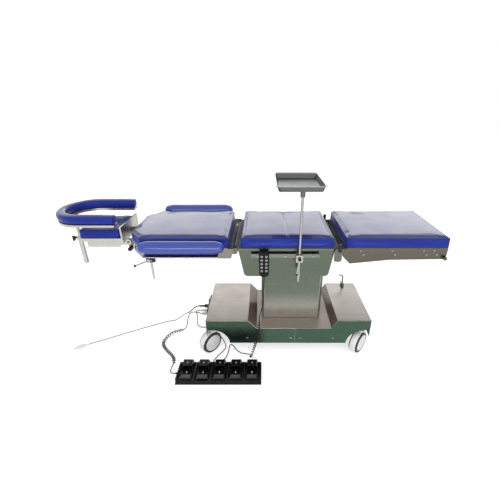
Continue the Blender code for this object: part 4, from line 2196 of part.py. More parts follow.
def power_plug(finish, parent, route):
    """Mains plug that lies on the floor at the cord's end: boot, body and round pins."""
    end = Vector(route[-1])
    ahead = end - Vector(route[-2])
    ahead.z = 0.0
    ahead.normalize()
    turn = Matrix.Rotation(math.atan2(ahead.y, ahead.x), 4, "Z")
    place = Matrix.Translation(end + ahead * TOUCH) @ turn
    boot = turned(
        [
            (0, 0.0),
            (POWER_CORD / 2 + TOUCH, 0.0),
            (PLUG_HALF_HEIGHT - SHEET, PLUG_BOOT_LENGTH),
            (0, PLUG_BOOT_LENGTH),
        ],
        "X",
        (0.0, 0.0, 0.0),
        SMALL_SIDES,
    )
    start = PLUG_BOOT_LENGTH - BITE
    low = (start, -PLUG_HALF_WIDTH, -PLUG_HALF_HEIGHT)
    high = (start + PLUG_LENGTH, PLUG_HALF_WIDTH, PLUG_HALF_HEIGHT)
    body = rounded_box(low, high, SHEET * 2, 1)
    joined = [boot]
    for side in (-1, 1):
        centre = (start + PLUG_LENGTH, side * PLUG_PIN_SPACING, 0.0)
        joined.append(cylinder("X", centre, PLUG_PIN_RADIUS, -BITE, PLUG_PIN_LENGTH, SCREW_SIDES))
    for shape in [body] + joined:
        bmesh.ops.transform(shape, matrix=place, verts=shape.verts[:])
    return piece("power_plug", body, finish, parent, joined)


# Finishes


def finishes():
    """The table's plain finishes by name."""
    return {
        "cover_steel": material("cover_steel", (0.42, 0.42, 0.38), 0.35, 0.9),
        "frame_steel": material("frame_steel", (0.38, 0.36, 0.33), 0.38, 0.9),
        "bright_steel": material("bright_steel", (0.62, 0.62, 0.60), 0.22, 1.0),
        "dark_paint": material("dark_paint", (0.03, 0.03, 0.035), 0.45),
        "upholstery": material("upholstery", (0.030, 0.045, 0.19), 0.28),
        "bolster_cover": material("bolster_cover", (0.09, 0.16, 0.45), 0.35),
        "white_plastic": material("white_plastic", (0.75, 0.75, 0.72), 0.4),
        "disc_plastic": material("disc_plastic", (0.50, 0.49, 0.47), 0.45),
        "black_plastic": material("black_plastic", (0.012, 0.012, 0.013), 0.3),
        "handset_plastic": material("handset_plastic", (0.10, 0.10, 0.11), 0.4),
        "grey_cord": material("grey_cord", (0.32, 0.33, 0.32), 0.5),
        "black_cord": material("black_cord", (0.015, 0.015, 0.016), 0.45),
    }


# The whole table


def table_root():
    """Empty that shifts the table so that the origin is under the middle of its box."""
    bow = WRIST_ROD_X + WRIST_BOW_AHEAD - WRIST_BOW_RADIUS - WRIST_PAD_WIDTH / 2
    foot = LEG_FOOT_END + LEG_PAD_OVERHANG
    rear = BOLSTER_Y + BOLSTER_RADIUS
    root = bpy.data.objects.new("table", None)
    bpy.context.scene.collection.objects.link(root)
    root.location = (-(bow + foot) / 2, -(rear - FS_FRONT) / 2, 0.0)
    root["spot"] = (0.0, 0.0, 0.0)
    return root


def make_base(looks, root):
    """Everything that stands on the floor and doesn't rise."""
    steel = looks["cover_steel"]
    dark = looks["dark_paint"]
    chassis(dark, root)
    hydraulic_unit(dark, root)
    base_cover("base_cover_left", -1, steel, root)
    right = base_cover("base_cover_right", 1, steel, root, brake_ears())
    extend(right, (), [brake_bore()])
    column_lower_cover(steel, root)
    brake_lever(looks["bright_steel"], pivot("brake_axis", brake_spot(), root))
    socket_panel(dark, root)
    power_switch(looks["black_plastic"], pivot("switch_axis", switch_spot(), root))
    for place, spot in caster_spots().items():
        swivel = pivot("swivel_" + place, spot, root)
        caster_fork("caster_fork_" + place, looks["white_plastic"], spot, swivel)
        axle = pivot("axle_" + place, axle_spot(spot), swivel)
        caster_wheel("caster_wheel_" + place, looks["disc_plastic"], spot, axle)
    footswitch_base(looks["black_plastic"], root)
    for bay in range(FS_COUNT):
        axis = pivot("pedal_axis_" + str(bay + 1), pedal_spot(bay), root)
        pedal(bay, looks["black_plastic"], axis)


def make_cords(looks, root, seat):
    """Every cord, with the mains plug."""
    route = power_cord_route()
    plain_cord("power_cord", route, POWER_CORD, looks["grey_cord"], root)
    power_plug(looks["white_plastic"], root, route)
    plain_cord("link_lead", link_lead_route(), LINK_CORD, looks["black_cord"], root)
    curly_cord(
        "footswitch_cord",
        footswitch_cord_route(),
        FOOT_LEAD_LENGTH,
        FOOT_TAIL_LENGTH,
        FOOT_CURL_RADIUS,
        FOOT_CURL_PITCH,
        looks["black_cord"],
        root,
    )
    plain_cord("handset_lead", handset_lead_route(), HANDSET_CORD, looks["black_cord"], seat)
    curly_cord(
        "handset_curly",
        handset_curly_route(),
        CURL_END_LENGTH,
        CURL_END_LENGTH,
        HANDSET_CURL_RADIUS,
        HANDSET_CURL_PITCH,
        looks["black_cord"],
        root,
    )
    route = handset_floor_route()
    plain_cord("handset_floor_lead", route, HANDSET_CORD, looks["black_cord"], root)


def make_seat(looks, seat):
    """The seat section with what hangs on its rails."""
    seat_frame(looks["frame_steel"], seat)
    hood(looks["cover_steel"], seat)
    blue = looks["upholstery"]
    bottom = SEAT_TOP + TOUCH
    section_cushion(
        "seat_cushion", -SEAT_HEAD_REACH, SEAT_FOOT_REACH, bottom, CUSHION_TOP, SEAT_HALF_WIDTH, blue, seat
    )
    side_rail("seat_rail_front", -1, looks["bright_steel"], seat)
    side_rail("seat_rail_rear", 1, looks["bright_steel"], seat)
    handset(looks["handset_plastic"], seat)
    pole_clamp(looks["bright_steel"], seat)
    pole_clamp_lever(looks["bright_steel"], pivot("pole_lever_axis", pole_lever_spot(), seat))
    pole_axis = pivot("pole_slide", (POLE_POSITION, POLE_Y, pole_foot()), seat)
    tray_pole(looks["bright_steel"], pole_axis)
    swivel = pivot("tray_swivel", (POLE_POSITION, POLE_Y, pole_foot() + POLE_LENGTH), pole_axis)
    tray(looks["bright_steel"], swivel)


def make_back(looks, seat):
    """The back section, its bolsters, the head section and the wrist rest."""
    blue = looks["upholstery"]
    steel = looks["bright_steel"]
    back = pivot("back_hinge", BACK_HINGE, seat)
    back_frame(looks["frame_steel"], back)
    bottom = SECTION_TOP + TOUCH
    top = CUSHION_TOP - CUSHION_TOP_DROP
    low_x = BACK_HEAD_END - BACK_PAD_OVERHANG
    high_x = BACK_FOOT_END - BACK_PAD_SETBACK
    back_cushion(low_x, high_x, bottom, top, blue, back)
    for name, side in (("front", -1), ("rear", 1)):
        bolster_clamp("bolster_clamp_" + name, side, looks["dark_paint"], back)
        lever_axis = pivot("bolster_lever_axis_" + name, bolster_lever_spot(side), back)
        bolster_lever("bolster_lever_" + name, side, steel, lever_axis)
        slide = pivot("bolster_slide_" + name, (CLAMP_X, clamp_middle_y(side), SECTION_TOP), back)
        bolster_bracket("bolster_bracket_" + name, side, steel, slide)
        bolster_pad("bolster_pad_" + name, side, looks["bolster_cover"], slide)
    head_knob(looks["black_plastic"], pivot("head_knob_axis", head_knob_spot(), back))
    head = pivot("head_hinge", HEAD_HINGE, back)
    head_frame(looks["frame_steel"], head)
    foot_x = HEAD_HINGE[0] - HEAD_PLATE_GAP - HEAD_PLATE_WALL - HEAD_CUSHION_SETBACK
    bottom = HEAD_HINGE[2] + HEAD_TRAY_RISE + HEAD_TRAY_THICKNESS + TOUCH
    section_cushion(
        "head_cushion",
        foot_x - HEAD_CUSHION_LENGTH,
        foot_x,
        bottom,
        bottom + HEAD_CUSHION_HEIGHT,
        HEAD_HALF_WIDTH,
        blue,
        head,
    )
    wrist = pivot("wrist_slide", (WRIST_ROD_X, 0.0, HEAD_HINGE[2]), head)
    wrist_plate(looks["frame_steel"], wrist)
    wrist_pad(blue, wrist)
    wrist_knob(looks["black_plastic"], pivot("wrist_knob_axis", wrist_knob_spot(), head))


def make_leg(looks, seat):
    """The leg section."""
    leg = pivot("leg_hinge", LEG_HINGE, seat)
    leg_frame(looks["frame_steel"], leg)
    bottom = SECTION_TOP + TOUCH
    top = CUSHION_TOP - CUSHION_TOP_DROP
    low_x = LEG_HEAD_END + LEG_PAD_SETBACK
    high_x = LEG_FOOT_END + LEG_PAD_OVERHANG
    section_cushion(
        "leg_cushion", low_x, high_x, bottom, top, SEAT_HALF_WIDTH, looks["upholstery"], leg
    )


def main():
    """Make the whole table."""
    clear_scene()
    looks = finishes()
    root = table_root()
    make_base(looks, root)
    lift = pivot("lift_slide", (0.0, 0.0, COLUMN_BOTTOM), root)
    lift_ram(looks["bright_steel"], lift)
    column_upper_cover(looks["cover_steel"], lift)
    gimbal = pivot("lateral_tilt", (0.0, 0.0, PIVOT_HEIGHT), lift)
    tilt_cross(looks["dark_paint"], gimbal)
    seat = pivot("trendelenburg", (0.0, 0.0, PIVOT_HEIGHT), gimbal)
    make_seat(looks, seat)
    make_back(looks, seat)
    make_leg(looks, seat)
    make_cords(looks, root, seat)


main()
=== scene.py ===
"""Looks of an electric operating table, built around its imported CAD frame.

Every sub-assembly is a class that knows its sizes and dresses its own pieces. Lengths are metres
in the frame of the CAD model: +X to the foot end, +Y away from the front side, +Z up. Places
along the table are given from the column's axis and moved by SHIFT.
"""

import json
import logging
import math
from collections.abc import Callable, Iterable, Sequence
from dataclasses import dataclass, field
from enum import Enum

import bmesh
import bpy
from mathutils import Matrix, Vector, noise
from mathutils.bvhtree import BVHTree

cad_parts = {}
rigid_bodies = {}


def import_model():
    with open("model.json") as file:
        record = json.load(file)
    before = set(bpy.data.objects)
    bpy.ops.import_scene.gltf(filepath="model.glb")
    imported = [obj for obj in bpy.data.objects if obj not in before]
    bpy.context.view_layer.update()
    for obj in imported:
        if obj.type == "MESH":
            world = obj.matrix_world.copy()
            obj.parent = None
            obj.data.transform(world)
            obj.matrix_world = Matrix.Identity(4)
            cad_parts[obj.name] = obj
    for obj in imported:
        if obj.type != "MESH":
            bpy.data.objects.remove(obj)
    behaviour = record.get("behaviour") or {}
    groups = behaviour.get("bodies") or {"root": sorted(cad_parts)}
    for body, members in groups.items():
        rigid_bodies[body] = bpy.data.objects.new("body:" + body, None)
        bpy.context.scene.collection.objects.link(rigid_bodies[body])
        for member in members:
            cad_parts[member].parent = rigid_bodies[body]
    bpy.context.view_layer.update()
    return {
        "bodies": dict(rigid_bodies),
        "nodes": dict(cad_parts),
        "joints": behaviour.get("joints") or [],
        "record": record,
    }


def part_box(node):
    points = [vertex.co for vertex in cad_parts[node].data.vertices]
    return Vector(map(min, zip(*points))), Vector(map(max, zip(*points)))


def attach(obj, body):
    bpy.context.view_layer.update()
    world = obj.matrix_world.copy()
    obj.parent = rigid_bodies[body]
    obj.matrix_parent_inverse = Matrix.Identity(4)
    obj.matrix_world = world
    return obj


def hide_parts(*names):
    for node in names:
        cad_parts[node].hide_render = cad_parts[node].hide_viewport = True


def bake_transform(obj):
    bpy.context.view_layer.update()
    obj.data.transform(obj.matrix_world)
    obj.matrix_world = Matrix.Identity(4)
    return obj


LOG = logging.getLogger("operating_table")
SHIFT = Vector((0.2895, 0.08125, 0.0))  # from the column's axis to the model's origin
SMOOTH = math.radians(34)
SIDES = (-1, 1)
CORNERS = ("front_head", "front_foot", "rear_head", "rear_foot")
ORIGIN = (0.0, 0.0, 0.0)
Colour = tuple[float, float, float]
Spot = tuple[float, float, float]
Test = Callable[[Vector, Vector], bool]


def at(x: float, y: float, z: float) -> Vector:
    """A point given from the column's axis, in the model's frame."""
    return Vector((x, y, z)) + SHIFT


def length_of(line: Sequence[Vector]) -> float:
    """Length of a polyline."""
    return sum((b - a).length for a, b in zip(line, line[1:]))


class Effects:
    """Shader node groups that several finishes share, each built once."""

    made: dict[str, bpy.types.NodeTree] = {}

    @classmethod
    def group(cls, name: str) -> bpy.types.NodeTree:
        """The group of a name, built on its first use.

        Args:
            name: One of brushing, mottle, pebbles and wear.

        Returns:
            The shader node tree.
        """
        if name not in cls.made:
            tree = bpy.data.node_groups.new(name, "ShaderNodeTree")
            getattr(cls, name)(Net(tree))
            cls.made[name] = tree
        return cls.made[name]

    @staticmethod
    def brushing(net: "Net") -> None:
        """Fine parallel scratches along one direction: a height and a tone.

        Args:
            net: The group's tree.
        """
        start = net.start(Vector=ORIGIN, Stretch=(3.0, 260.0, 260.0))
        feeds = {0: (start, "Vector"), 1: (start, "Stretch")}
        spread = net.add("ShaderNodeVectorMath", feeds, operation="MULTIPLY")
        fine = net.add("ShaderNodeTexNoise", {"Vector": spread}, Scale=1.0, Detail=4.0, Roughness=0.65)
        broad = net.add("ShaderNodeTexNoise", {"Vector": spread}, Scale=0.16, Detail=2.0, Roughness=0.5)
        both = net.add("ShaderNodeMath", {0: fine, 1: broad}, operation="ADD")
        mean = net.add("ShaderNodeMath", {0: both, 1: 0.5}, operation="MULTIPLY")
        net.output("Height", fine)
        net.output("Tone", net.add("ShaderNodeMapRange", {"Value": mean, "From Min": 0.3, "From Max": 0.7}))

    @staticmethod
    def mottle(net: "Net") -> None:
        """Soft blotches, as handling and cleaning leave them.

        Args:
            net: The group's tree.
        """
        start = net.start(Vector=ORIGIN, Scale=6.0)
        feeds = {"Vector": (start, "Vector"), "Scale": (start, "Scale")}
        cloud = net.add("ShaderNodeTexNoise", feeds, Detail=5.0, Roughness=0.55, Distortion=0.4)
        net.output("Mask", net.add("ShaderNodeMapRange", {"Value": cloud, "From Min": 0.32, "From Max": 0.68}))

    @staticmethod
    def pebbles(net: "Net") -> None:
        """Grain of moulded plastic or coated cloth.

        Args:
            net: The group's tree.
        """
        start = net.start(Vector=ORIGIN, Scale=700.0)
        feeds = {"Vector": (start, "Vector"), "Scale": (start, "Scale")}
        cells = net.add("ShaderNodeTexVoronoi", feeds, feature="SMOOTH_F1", Smoothness=0.6)
        dust = net.add("ShaderNodeTexNoise", feeds, Detail=3.0)
        net.output("Height", net.add("ShaderNodeMath", {0: dust, 1: 0.4, 2: cells}, operation="MULTIPLY_ADD"))

    @staticmethod
    def wear(net: "Net") -> None:
        """Rubbed corners: high where the surface turns out, broken up by blotches.

        Args:
            net: The group's tree.
        """
        start = net.start(Vector=ORIGIN)
        shape = net.add("ShaderNodeNewGeometry")
        feeds = {"Value": (shape, "Pointiness"), "From Min": 0.53, "From Max": 0.62}
        ridge = net.add("ShaderNodeMapRange", feeds)
        breakup = net.add("ShaderNodeTexNoise", {"Vector": (start, "Vector")}, Scale=60.0, Detail=4.0)
        net.output("Mask", net.add("ShaderNodeMath", {0: ridge, 1: breakup}, operation="MULTIPLY"))


class Net:
    """A node tree under construction, for shaders and for geometry."""

    def __init__(self, tree: bpy.types.NodeTree) -> None:
        """Start with an empty tree.

        Args:
            tree: The tree, which is cleared.
        """
        self.tree = tree
        self.inputs = {}
        tree.nodes.clear()

    def add(self, kind: str, feeds: dict | None = None, **values: object) -> bpy.types.Node:
        """Add a node.

        Args:
            kind: The node's type.
            feeds: What each input gets: a node for its first output, a node with an output's name,
                or a plain value.
            values: Properties of the node, or plain input values by name.

        Returns:
            The node.
        """
        node = self.tree.nodes.new(kind)
        own = {key: value for key, value in values.items() if key in node.bl_rna.properties}
        for key, value in own.items():
            setattr(node, key, value)
        plain = {key: value for key, value in values.items() if key not in own}
        for key, value in {**plain, **(feeds or {})}.items():
            paired = isinstance(value, tuple) and isinstance(value[0], bpy.types.Node)
            source, out = value if paired else (value, 0)
            if isinstance(source, bpy.types.Node):
                self.tree.links.new(source.outputs[out], node.inputs[key])
            else:
                node.inputs[key].default_value = source
        return node

    def start(self, **inputs: object) -> bpy.types.Node:
        """Add the tree's named inputs and keep their identifiers.

        Args:
            inputs: Default values by name, or None for one whose kind is its name.

        Returns:
            The node that gives the inputs.
        """
        kinds = {tuple: "Vector", float: "Float", int: "Int"}
        for name, value in inputs.items():
            label = name.replace("_", " ")
            kind = kinds.get(type(value), label)
            made = self.tree.interface.new_socket(label, in_out="INPUT", socket_type="NodeSocket" + kind)
            if value is not None:
                made.default_value = value
            self.inputs[label] = made.identifier
        return self.add("NodeGroupInput")

    def output(self, name: str, source: bpy.types.Node, kind: str = "Float") -> None:
        """Add a named output and feed it.

        Args:
            name: The output's name.
            source: The node that feeds it.
            kind: The socket's kind.
        """
        self.tree.interface.new_socket(name, in_out="OUTPUT", socket_type="NodeSocket" + kind)
        ends = [node for node in self.tree.nodes if node.bl_idname == "NodeGroupOutput"]
        end = ends[0] if ends else self.tree.nodes.new("NodeGroupOutput")
        self.tree.links.new(source.outputs[0], end.inputs[name])

    def effect(self, name: str, place: bpy.types.Node, **values: object) -> bpy.types.Node:
        """Place a shared effect, read at object coordinates."""
        group = Effects.group(name)
        return self.add("ShaderNodeGroup", {"Vector": (place, "Object")}, node_tree=group, **values)

    def mix(self, share: tuple, low: object, high: object) -> tuple[bpy.types.Node, str]:
        """A blend of two colours, as a source for another node's input."""
        feeds = {"Factor": share, "A": low, "B": high}
        return self.add("ShaderNodeMix", feeds, data_type="RGBA"), "Result"


class Surface(Enum):
    """Kinds of surface on the table."""

    BRUSHED = "brushed"
    POLISHED = "polished"
    PAINT = "paint"
    PLASTIC = "plastic"
    CLOTH = "cloth"
    RUBBER = "rubber"


@dataclass(frozen=True)
class Finish:
    """One finish of the table."""

    name: str
    slot: str
    surface: Surface
    colour: Colour
    roughness: float
    contrast: float = 0.12
    coat: float = 0.0
    coat_roughness: float = 0.08
    coat_ior: float = 1.5
    specular: float = 0.5
    metal: float = 1.0
    stretch: Spot = (3.0, 260.0, 260.0)
    grain: float = 700.0
    relief: float = 0.05
    # Colour towards the bottom and the heights of the change, used to paint a reflection near the foot.
    foot: Colour | None = None
    fade: tuple[float, float] = (0.30, 0.50)

    def material(self) -> bpy.types.Material:
        """The finish as a material, made once.

        Returns:
            The material.
        """
        found = bpy.data.materials.get(self.name)
        if found:
            return found
        made = bpy.data.materials.new(self.name)
        made.use_nodes = True
        net = Net(made.node_tree)
        shader = net.add("ShaderNodeBsdfPrincipled", self.weave(net))
        shader.inputs["Metallic"].default_value = self.metal if self.bare else 0.0
        shader.inputs["Coat Weight"].default_value = self.coat
        shader.inputs["Coat Roughness"].default_value = self.coat_roughness
        shader.inputs["Coat IOR"].default_value = self.coat_ior
        shader.inputs["Specular IOR Level"].default_value = self.specular
        if self.surface is Surface.CLOTH:
            shader.inputs["Sheen Weight"].default_value = 0.08
        net.add("ShaderNodeOutputMaterial", {"Surface": (shader, "BSDF")})
        made.diffuse_color = (*self.colour, 1.0)
        return made

    @property
    def bare(self) -> bool:
        """Whether the surface is bare metal."""
        return self.surface in (Surface.BRUSHED, Surface.POLISHED)

    def toned(self, share: float, lift: float = 0.0) -> tuple[float, ...]:
        """The colour made darker or paler, with its alpha."""
        return (*(min(channel * share + lift, 1.0) for channel in self.colour), 1.0)

    def weave(self, net: Net) -> dict[str, tuple]:
        """Colour, roughness and relief of the surface.

        Args:
            net: The material's tree.

        Returns:
            What the Principled shader's inputs get.
        """
        place = net.add("ShaderNodeTexCoord")
        blotch = net.effect("mottle", place, Scale=7.0)
        if self.bare:
            grain = net.effect("brushing", place, Stretch=self.stretch)
            tone = (grain, "Tone")
        else:
            grain = net.effect("pebbles", place, Scale=self.grain)
            tone = (blotch, "Mask")
        colour = net.mix(tone, self.toned(1.0 - self.contrast), self.toned(1.0 + self.contrast))
        if self.surface in (Surface.PAINT, Surface.PLASTIC):
            colour = net.mix((net.effect("wear", place), "Mask"), colour, self.toned(1.6, 0.03))
        # Towards the bottom the colour turns to the foot colour: a painted reflection.
        if self.foot:
            parts = net.add("ShaderNodeSeparateXYZ", {0: (place, "Object")})
            feeds = {"Value": (parts, "Z"), "From Min": self.fade[0], "From Max": self.fade[1]}
            share = net.add("ShaderNodeMapRange", feeds, interpolation_type="SMOOTHSTEP")
            colour = net.mix((share, "Result"), (*self.foot, 1.0), colour)
        limits = {"To Min": self.roughness * 0.85, "To Max": min(self.roughness * 1.2, 1.0)}
        rough = net.add("ShaderNodeMapRange", {"Value": (blotch, "Mask"), **limits})
        bump = net.add("ShaderNodeBump", {"Height": (grain, "Height")}, Strength=self.relief, Distance=0.0005)
        return {"Base Color": colour, "Roughness": rough, "Normal": bump}


def steel(name: str, slot: str, colour: Colour, roughness: float, contrast: float, **more: object) -> Finish:
    """Steel whose brushing runs along the table, in a slot named after its place."""
    return Finish(name, slot + "_steel", Surface.BRUSHED, colour, roughness, contrast, stretch=ALONG, **more)


def plastic(
    name: str, slot: str, colour: Colour, roughness: float, contrast: float, **more: object
) -> Finish:
    """Moulded plastic, in a slot named after its piece or colour."""
    return Finish(name, slot + "_plastic", Surface.PLASTIC, colour, roughness, contrast, **more)


ALONG = (2.0, 240.0, 240.0)
UPRIGHT = (240.0, 240.0, 2.0)
# Lit and shaded copies of one cover steel, chosen by which way a face looks: the top, slope and deck colours
# are painted light and reflections, the side colour is painted shade.
STEEL_TOP_PAINTED_LIGHT = steel("satin steel top, painted light", "cover", (0.33, 0.305, 0.28), 0.30, 0.07)
STEEL_SLOPE_PAINTED_LIGHT = steel("satin steel slope, painted light", "cover", (0.20, 0.165, 0.135), 0.30, 0.07, metal=0.6)
STEEL_DECK_PAINTED_LIGHT = steel("satin steel deck, painted light", "cover", (0.33, 0.285, 0.25), 0.34, 0.07, metal=0.45)
# Paler, browner steel for the column's lower cover: a painted reflection of the bright deck.
STEEL_LOWER_PAINTED_REFLECTION = steel("satin steel column foot, painted reflection", "cover", (0.24, 0.235, 0.20), 0.30, 0.08, metal=0.55)
# A paler steel for the rounded edges only: a painted highlight along them.
STEEL_EDGE_HIGHLIGHT = steel("steel edge with painted highlight", "cover", (0.62, 0.60, 0.56), 0.24, 0.08, metal=0.7)
STEEL_SIDE_PAINTED_SHADE = steel("satin steel side, painted shade", "cover", (0.056, 0.100, 0.070), 0.26, 0.10)
STEEL_COLUMN = steel("satin steel column", "cover", (0.115, 0.138, 0.104), 0.24, 0.09)
# The shaft turns paler and browner towards the bottom: a painted reflection of the bright deck below.
STEEL_SHAFT_PAINTED_REFLECTION = steel(
    "satin steel shaft, fading to a painted reflection", "cover", (0.115, 0.138, 0.104), 0.26, 0.09, metal=0.62, foot=(0.34, 0.32, 0.28),
    fade=(0.26, 0.47),
)
STEEL_LEG = steel("satin steel leg", "frame", (0.115, 0.105, 0.085), 0.26, 0.16)
STEEL_SEAT = steel("satin steel seat", "frame", (0.13, 0.14, 0.112), 0.28, 0.12)
STEEL_FRAME = steel("satin steel frame", "frame", (0.20, 0.195, 0.165), 0.28, 0.12)
STEEL_PALE = steel("pale satin steel", "frame", (0.46, 0.45, 0.42), 0.26, 0.10)
RAIL_STEEL = steel("rail steel", "bright", (0.17, 0.185, 0.155), 0.22, 0.10)
CHROME = Finish(
    "polished steel", "bright_steel", Surface.POLISHED, (0.36, 0.36, 0.345), 0.16, 0.25,
    stretch=UPRIGHT, relief=0.02
)
TRAY_STEEL = Finish(
    "tray steel", "bright_steel", Surface.POLISHED, (0.13, 0.135, 0.135), 0.33, 0.10, stretch=ALONG, relief=0.02
)
DARK_PAINT = Finish("dark paint", "dark_paint", Surface.PAINT, (0.018, 0.018, 0.02), 0.42, 0.2)
# Near black on frame faces under and between the pads: painted shade.
GAP_SHADE = Finish("dark gap", "frame_steel", Surface.PAINT, (0.012, 0.012, 0.016), 0.55, 0.2)
VINYL = Finish(
    "blue leathercloth", "upholstery", Surface.CLOTH, (0.010, 0.024, 0.24), 0.40, 0.10, coat=0.25, coat_ior=1.3,
    specular=0.12, grain=900.0,
)
# The upward faces of the same cover, with their own darker colour and stronger coat: a copy of the cover that
# paints the reflection on the tops.
VINYL_TOP_PAINTED = Finish(
    "glossy leathercloth", "upholstery", Surface.CLOTH, (0.008, 0.016, 0.135), 0.36, 0.10, coat=0.95,
    coat_roughness=0.03, coat_ior=1.39, specular=0.25, grain=900.0,
)
BOLSTER_VINYL = Finish(
    "bolster leathercloth", "bolster_cover", Surface.CLOTH, (0.014, 0.040, 0.29), 0.34, 0.10, coat=1.0,
    coat_roughness=0.20, coat_ior=1.60, specular=0.1, grain=900.0,
)
WHITE = plastic("white plastic", "white", (0.78, 0.78, 0.76), 0.35, 0.03)
DISC = plastic("disc plastic", "disc", (0.80, 0.77, 0.75), 0.42, 0.03)
BLACK = plastic("black plastic", "black", (0.0035, 0.0035, 0.004), 0.22, 0.2, specular=0.3, relief=0.03)
# A paler black for rounded edges and pedal ridges: a painted highlight.
BLACK_EDGE_HIGHLIGHT = plastic("black plastic, painted edge highlight", "black", (0.10, 0.10, 0.105), 0.22, 0.2, relief=0.03)
KNOB_BLACK = plastic("knob plastic", "black", (0.005, 0.005, 0.006), 0.30, 0.2, specular=0.3, relief=0.03)
MARK = plastic("pale marks", "black", (0.42, 0.42, 0.43), 0.5, 0.05)
MAROON = plastic("dark red plastic", "black", (0.115, 0.012, 0.024), 0.3, 0.15)
HANDSET = plastic("handset plastic", "handset", (0.005, 0.005, 0.006), 0.34, 0.15, specular=0.15)
KEY = plastic("key plastic", "handset", (0.24, 0.24, 0.245), 0.42, 0.1)
TYRE = Finish("tyre rubber", "disc_plastic", Surface.RUBBER, (0.020, 0.021, 0.032), 0.50, 0.15, grain=1200.0)
GREY_CORD = Finish("grey cord", "grey_cord", Surface.RUBBER, (0.34, 0.35, 0.335), 0.5, 0.08, grain=1500.0)
BLACK_CORD = Finish(
    "black cord", "black_cord", Surface.RUBBER, (0.005, 0.006, 0.006), 0.42, 0.2, specular=0.25, grain=1500.0
)


class Form:
    """Shapes as bmesh, with their faces pointing out."""

    @staticmethod
    def closed(shape: bmesh.types.BMesh) -> bmesh.types.BMesh:
        """Merge doubles and point the faces outwards.

        Args:
            shape: The shape.

        Returns:
            The same shape.
        """
        bmesh.ops.remove_doubles(shape, verts=shape.verts[:], dist=1e-6)
        bmesh.ops.recalc_face_normals(shape, faces=shape.faces[:])
        return shape

    @staticmethod
    def walled(rings: Sequence[Sequence[Sequence[float]]]) -> bmesh.types.BMesh:
        """Walls between rings of equally many points, and a cap on both ends.

        Args:
            rings: The rings in order.

        Returns:
            The shape, with its faces not yet turned.
        """
        shape = bmesh.new()
        loops = [[shape.verts.new(point) for point in ring] for ring in rings]
        shape.faces.new(loops[0])
        shape.faces.new(reversed(loops[-1]))
        for first, second in zip(loops, loops[1:]):
            for index in range(len(first)):
                after = (index + 1) % len(first)
                shape.faces.new([first[index], first[after], second[after], second[index]])
        return shape

    @classmethod
    def loft(cls, rings: Sequence[Sequence[Sequence[float]]]) -> bmesh.types.BMesh:
        """A solid through rings of equally many points."""
        return cls.closed(cls.walled(rings))

    @classmethod
    def lathe(
        cls, profile: Sequence[tuple[float, float]], axis: Spot, centre: Sequence[float], sides: int = 40
    ) -> bmesh.types.BMesh:
        """Turn a closed profile about an axis.

        Args:
            profile: Points as (radius, along); its ends may lie on the axis.
            axis: Direction of the axis.
            centre: A point on it, from which along is measured.
            sides: Number of sides.

        Returns:
            The solid.
        """
        shape = bmesh.new()
        turn = Vector((0, 0, 1)).rotation_difference(Vector(axis)).to_matrix().to_4x4()
        place = Matrix.Translation(Vector(centre)) @ turn
        rings = []
        for radius, along in profile:
            if radius == 0:
                rings.append([shape.verts.new(place @ Vector((0, 0, along)))] * sides)
                continue
            ring = []
            for side in range(sides):
                angle = math.tau * side / sides
                spot = Vector((radius * math.cos(angle), radius * math.sin(angle), along))
                ring.append(shape.verts.new(place @ spot))
            rings.append(ring)
        for index in range(len(rings)):
            lower = rings[index]
            upper = rings[(index + 1) % len(rings)]
            for side in range(sides):
                after = (side + 1) % sides
                corners = list(dict.fromkeys([lower[side], lower[after], upper[after], upper[side]]))
                if len(corners) > 2:
                    shape.faces.new(corners)
        return cls.closed(shape)

    @classmethod
    def tube(
        cls, points: Sequence[Sequence[float]], radius: float | Sequence[float], sides: int = 12
    ) -> bmesh.types.BMesh:
        """A round tube along points, with capped ends.

        Args:
            points: The centre line.
            radius: One radius, or one for each point.
            sides: Number of sides.

        Returns:
            The solid.
        """
        spots = [Vector(point) for point in points]
        side = (spots[1] - spots[0]).orthogonal().normalized()
        rings = []
        for index, spot in enumerate(spots):
            ahead = (spots[min(index + 1, len(spots) - 1)] - spots[max(index - 1, 0)]).normalized()
            side = (side - ahead * side.dot(ahead)).normalized()
            up = ahead.cross(side)
            reach = radius[index] if isinstance(radius, Sequence) else radius
            ring = []
            for step in range(sides):
                angle = math.tau * step / sides
                ring.append(spot + (side * math.cos(angle) + up * math.sin(angle)) * reach)
            rings.append(ring)
        shape = cls.walled(rings)
        bmesh.ops.recalc_face_normals(shape, faces=shape.faces[:])
        return shape

    @classmethod
    def block(
        cls, low: Sequence[float], high: Sequence[float], radius: float, steps: int = 3
    ) -> bmesh.types.BMesh:
        """A block with rounded edges.

        Args:
            low: Its lowest corner.
            high: Its highest corner.
            radius: Radius of its edges.
            steps: Steps of the rounding.

        Returns:
            The solid.
        """
        outline = [(low[0], low[1]), (high[0], low[1]), (high[0], high[1]), (low[0], high[1])]
        shape = cls.loft([[(x, y, height) for x, y in outline] for height in (low[2], high[2])])
        bmesh.ops.bevel(shape, geom=shape.edges[:], offset=radius, segments=steps, profile=0.5, affect="EDGES")
        return cls.closed(shape)

    @staticmethod
    def joined(shapes: Iterable[bmesh.types.BMesh]) -> bmesh.types.BMesh:
        """Several solids in one bmesh.

        Args:
            shapes: The solids, which are freed.

        Returns:
            One bmesh with all of them.
        """
        whole = bmesh.new()
        for shape in shapes:
            mesh = bpy.data.meshes.new("part")
            shape.to_mesh(mesh)
            shape.free()
            whole.from_mesh(mesh)
            bpy.data.meshes.remove(mesh)
        return whole


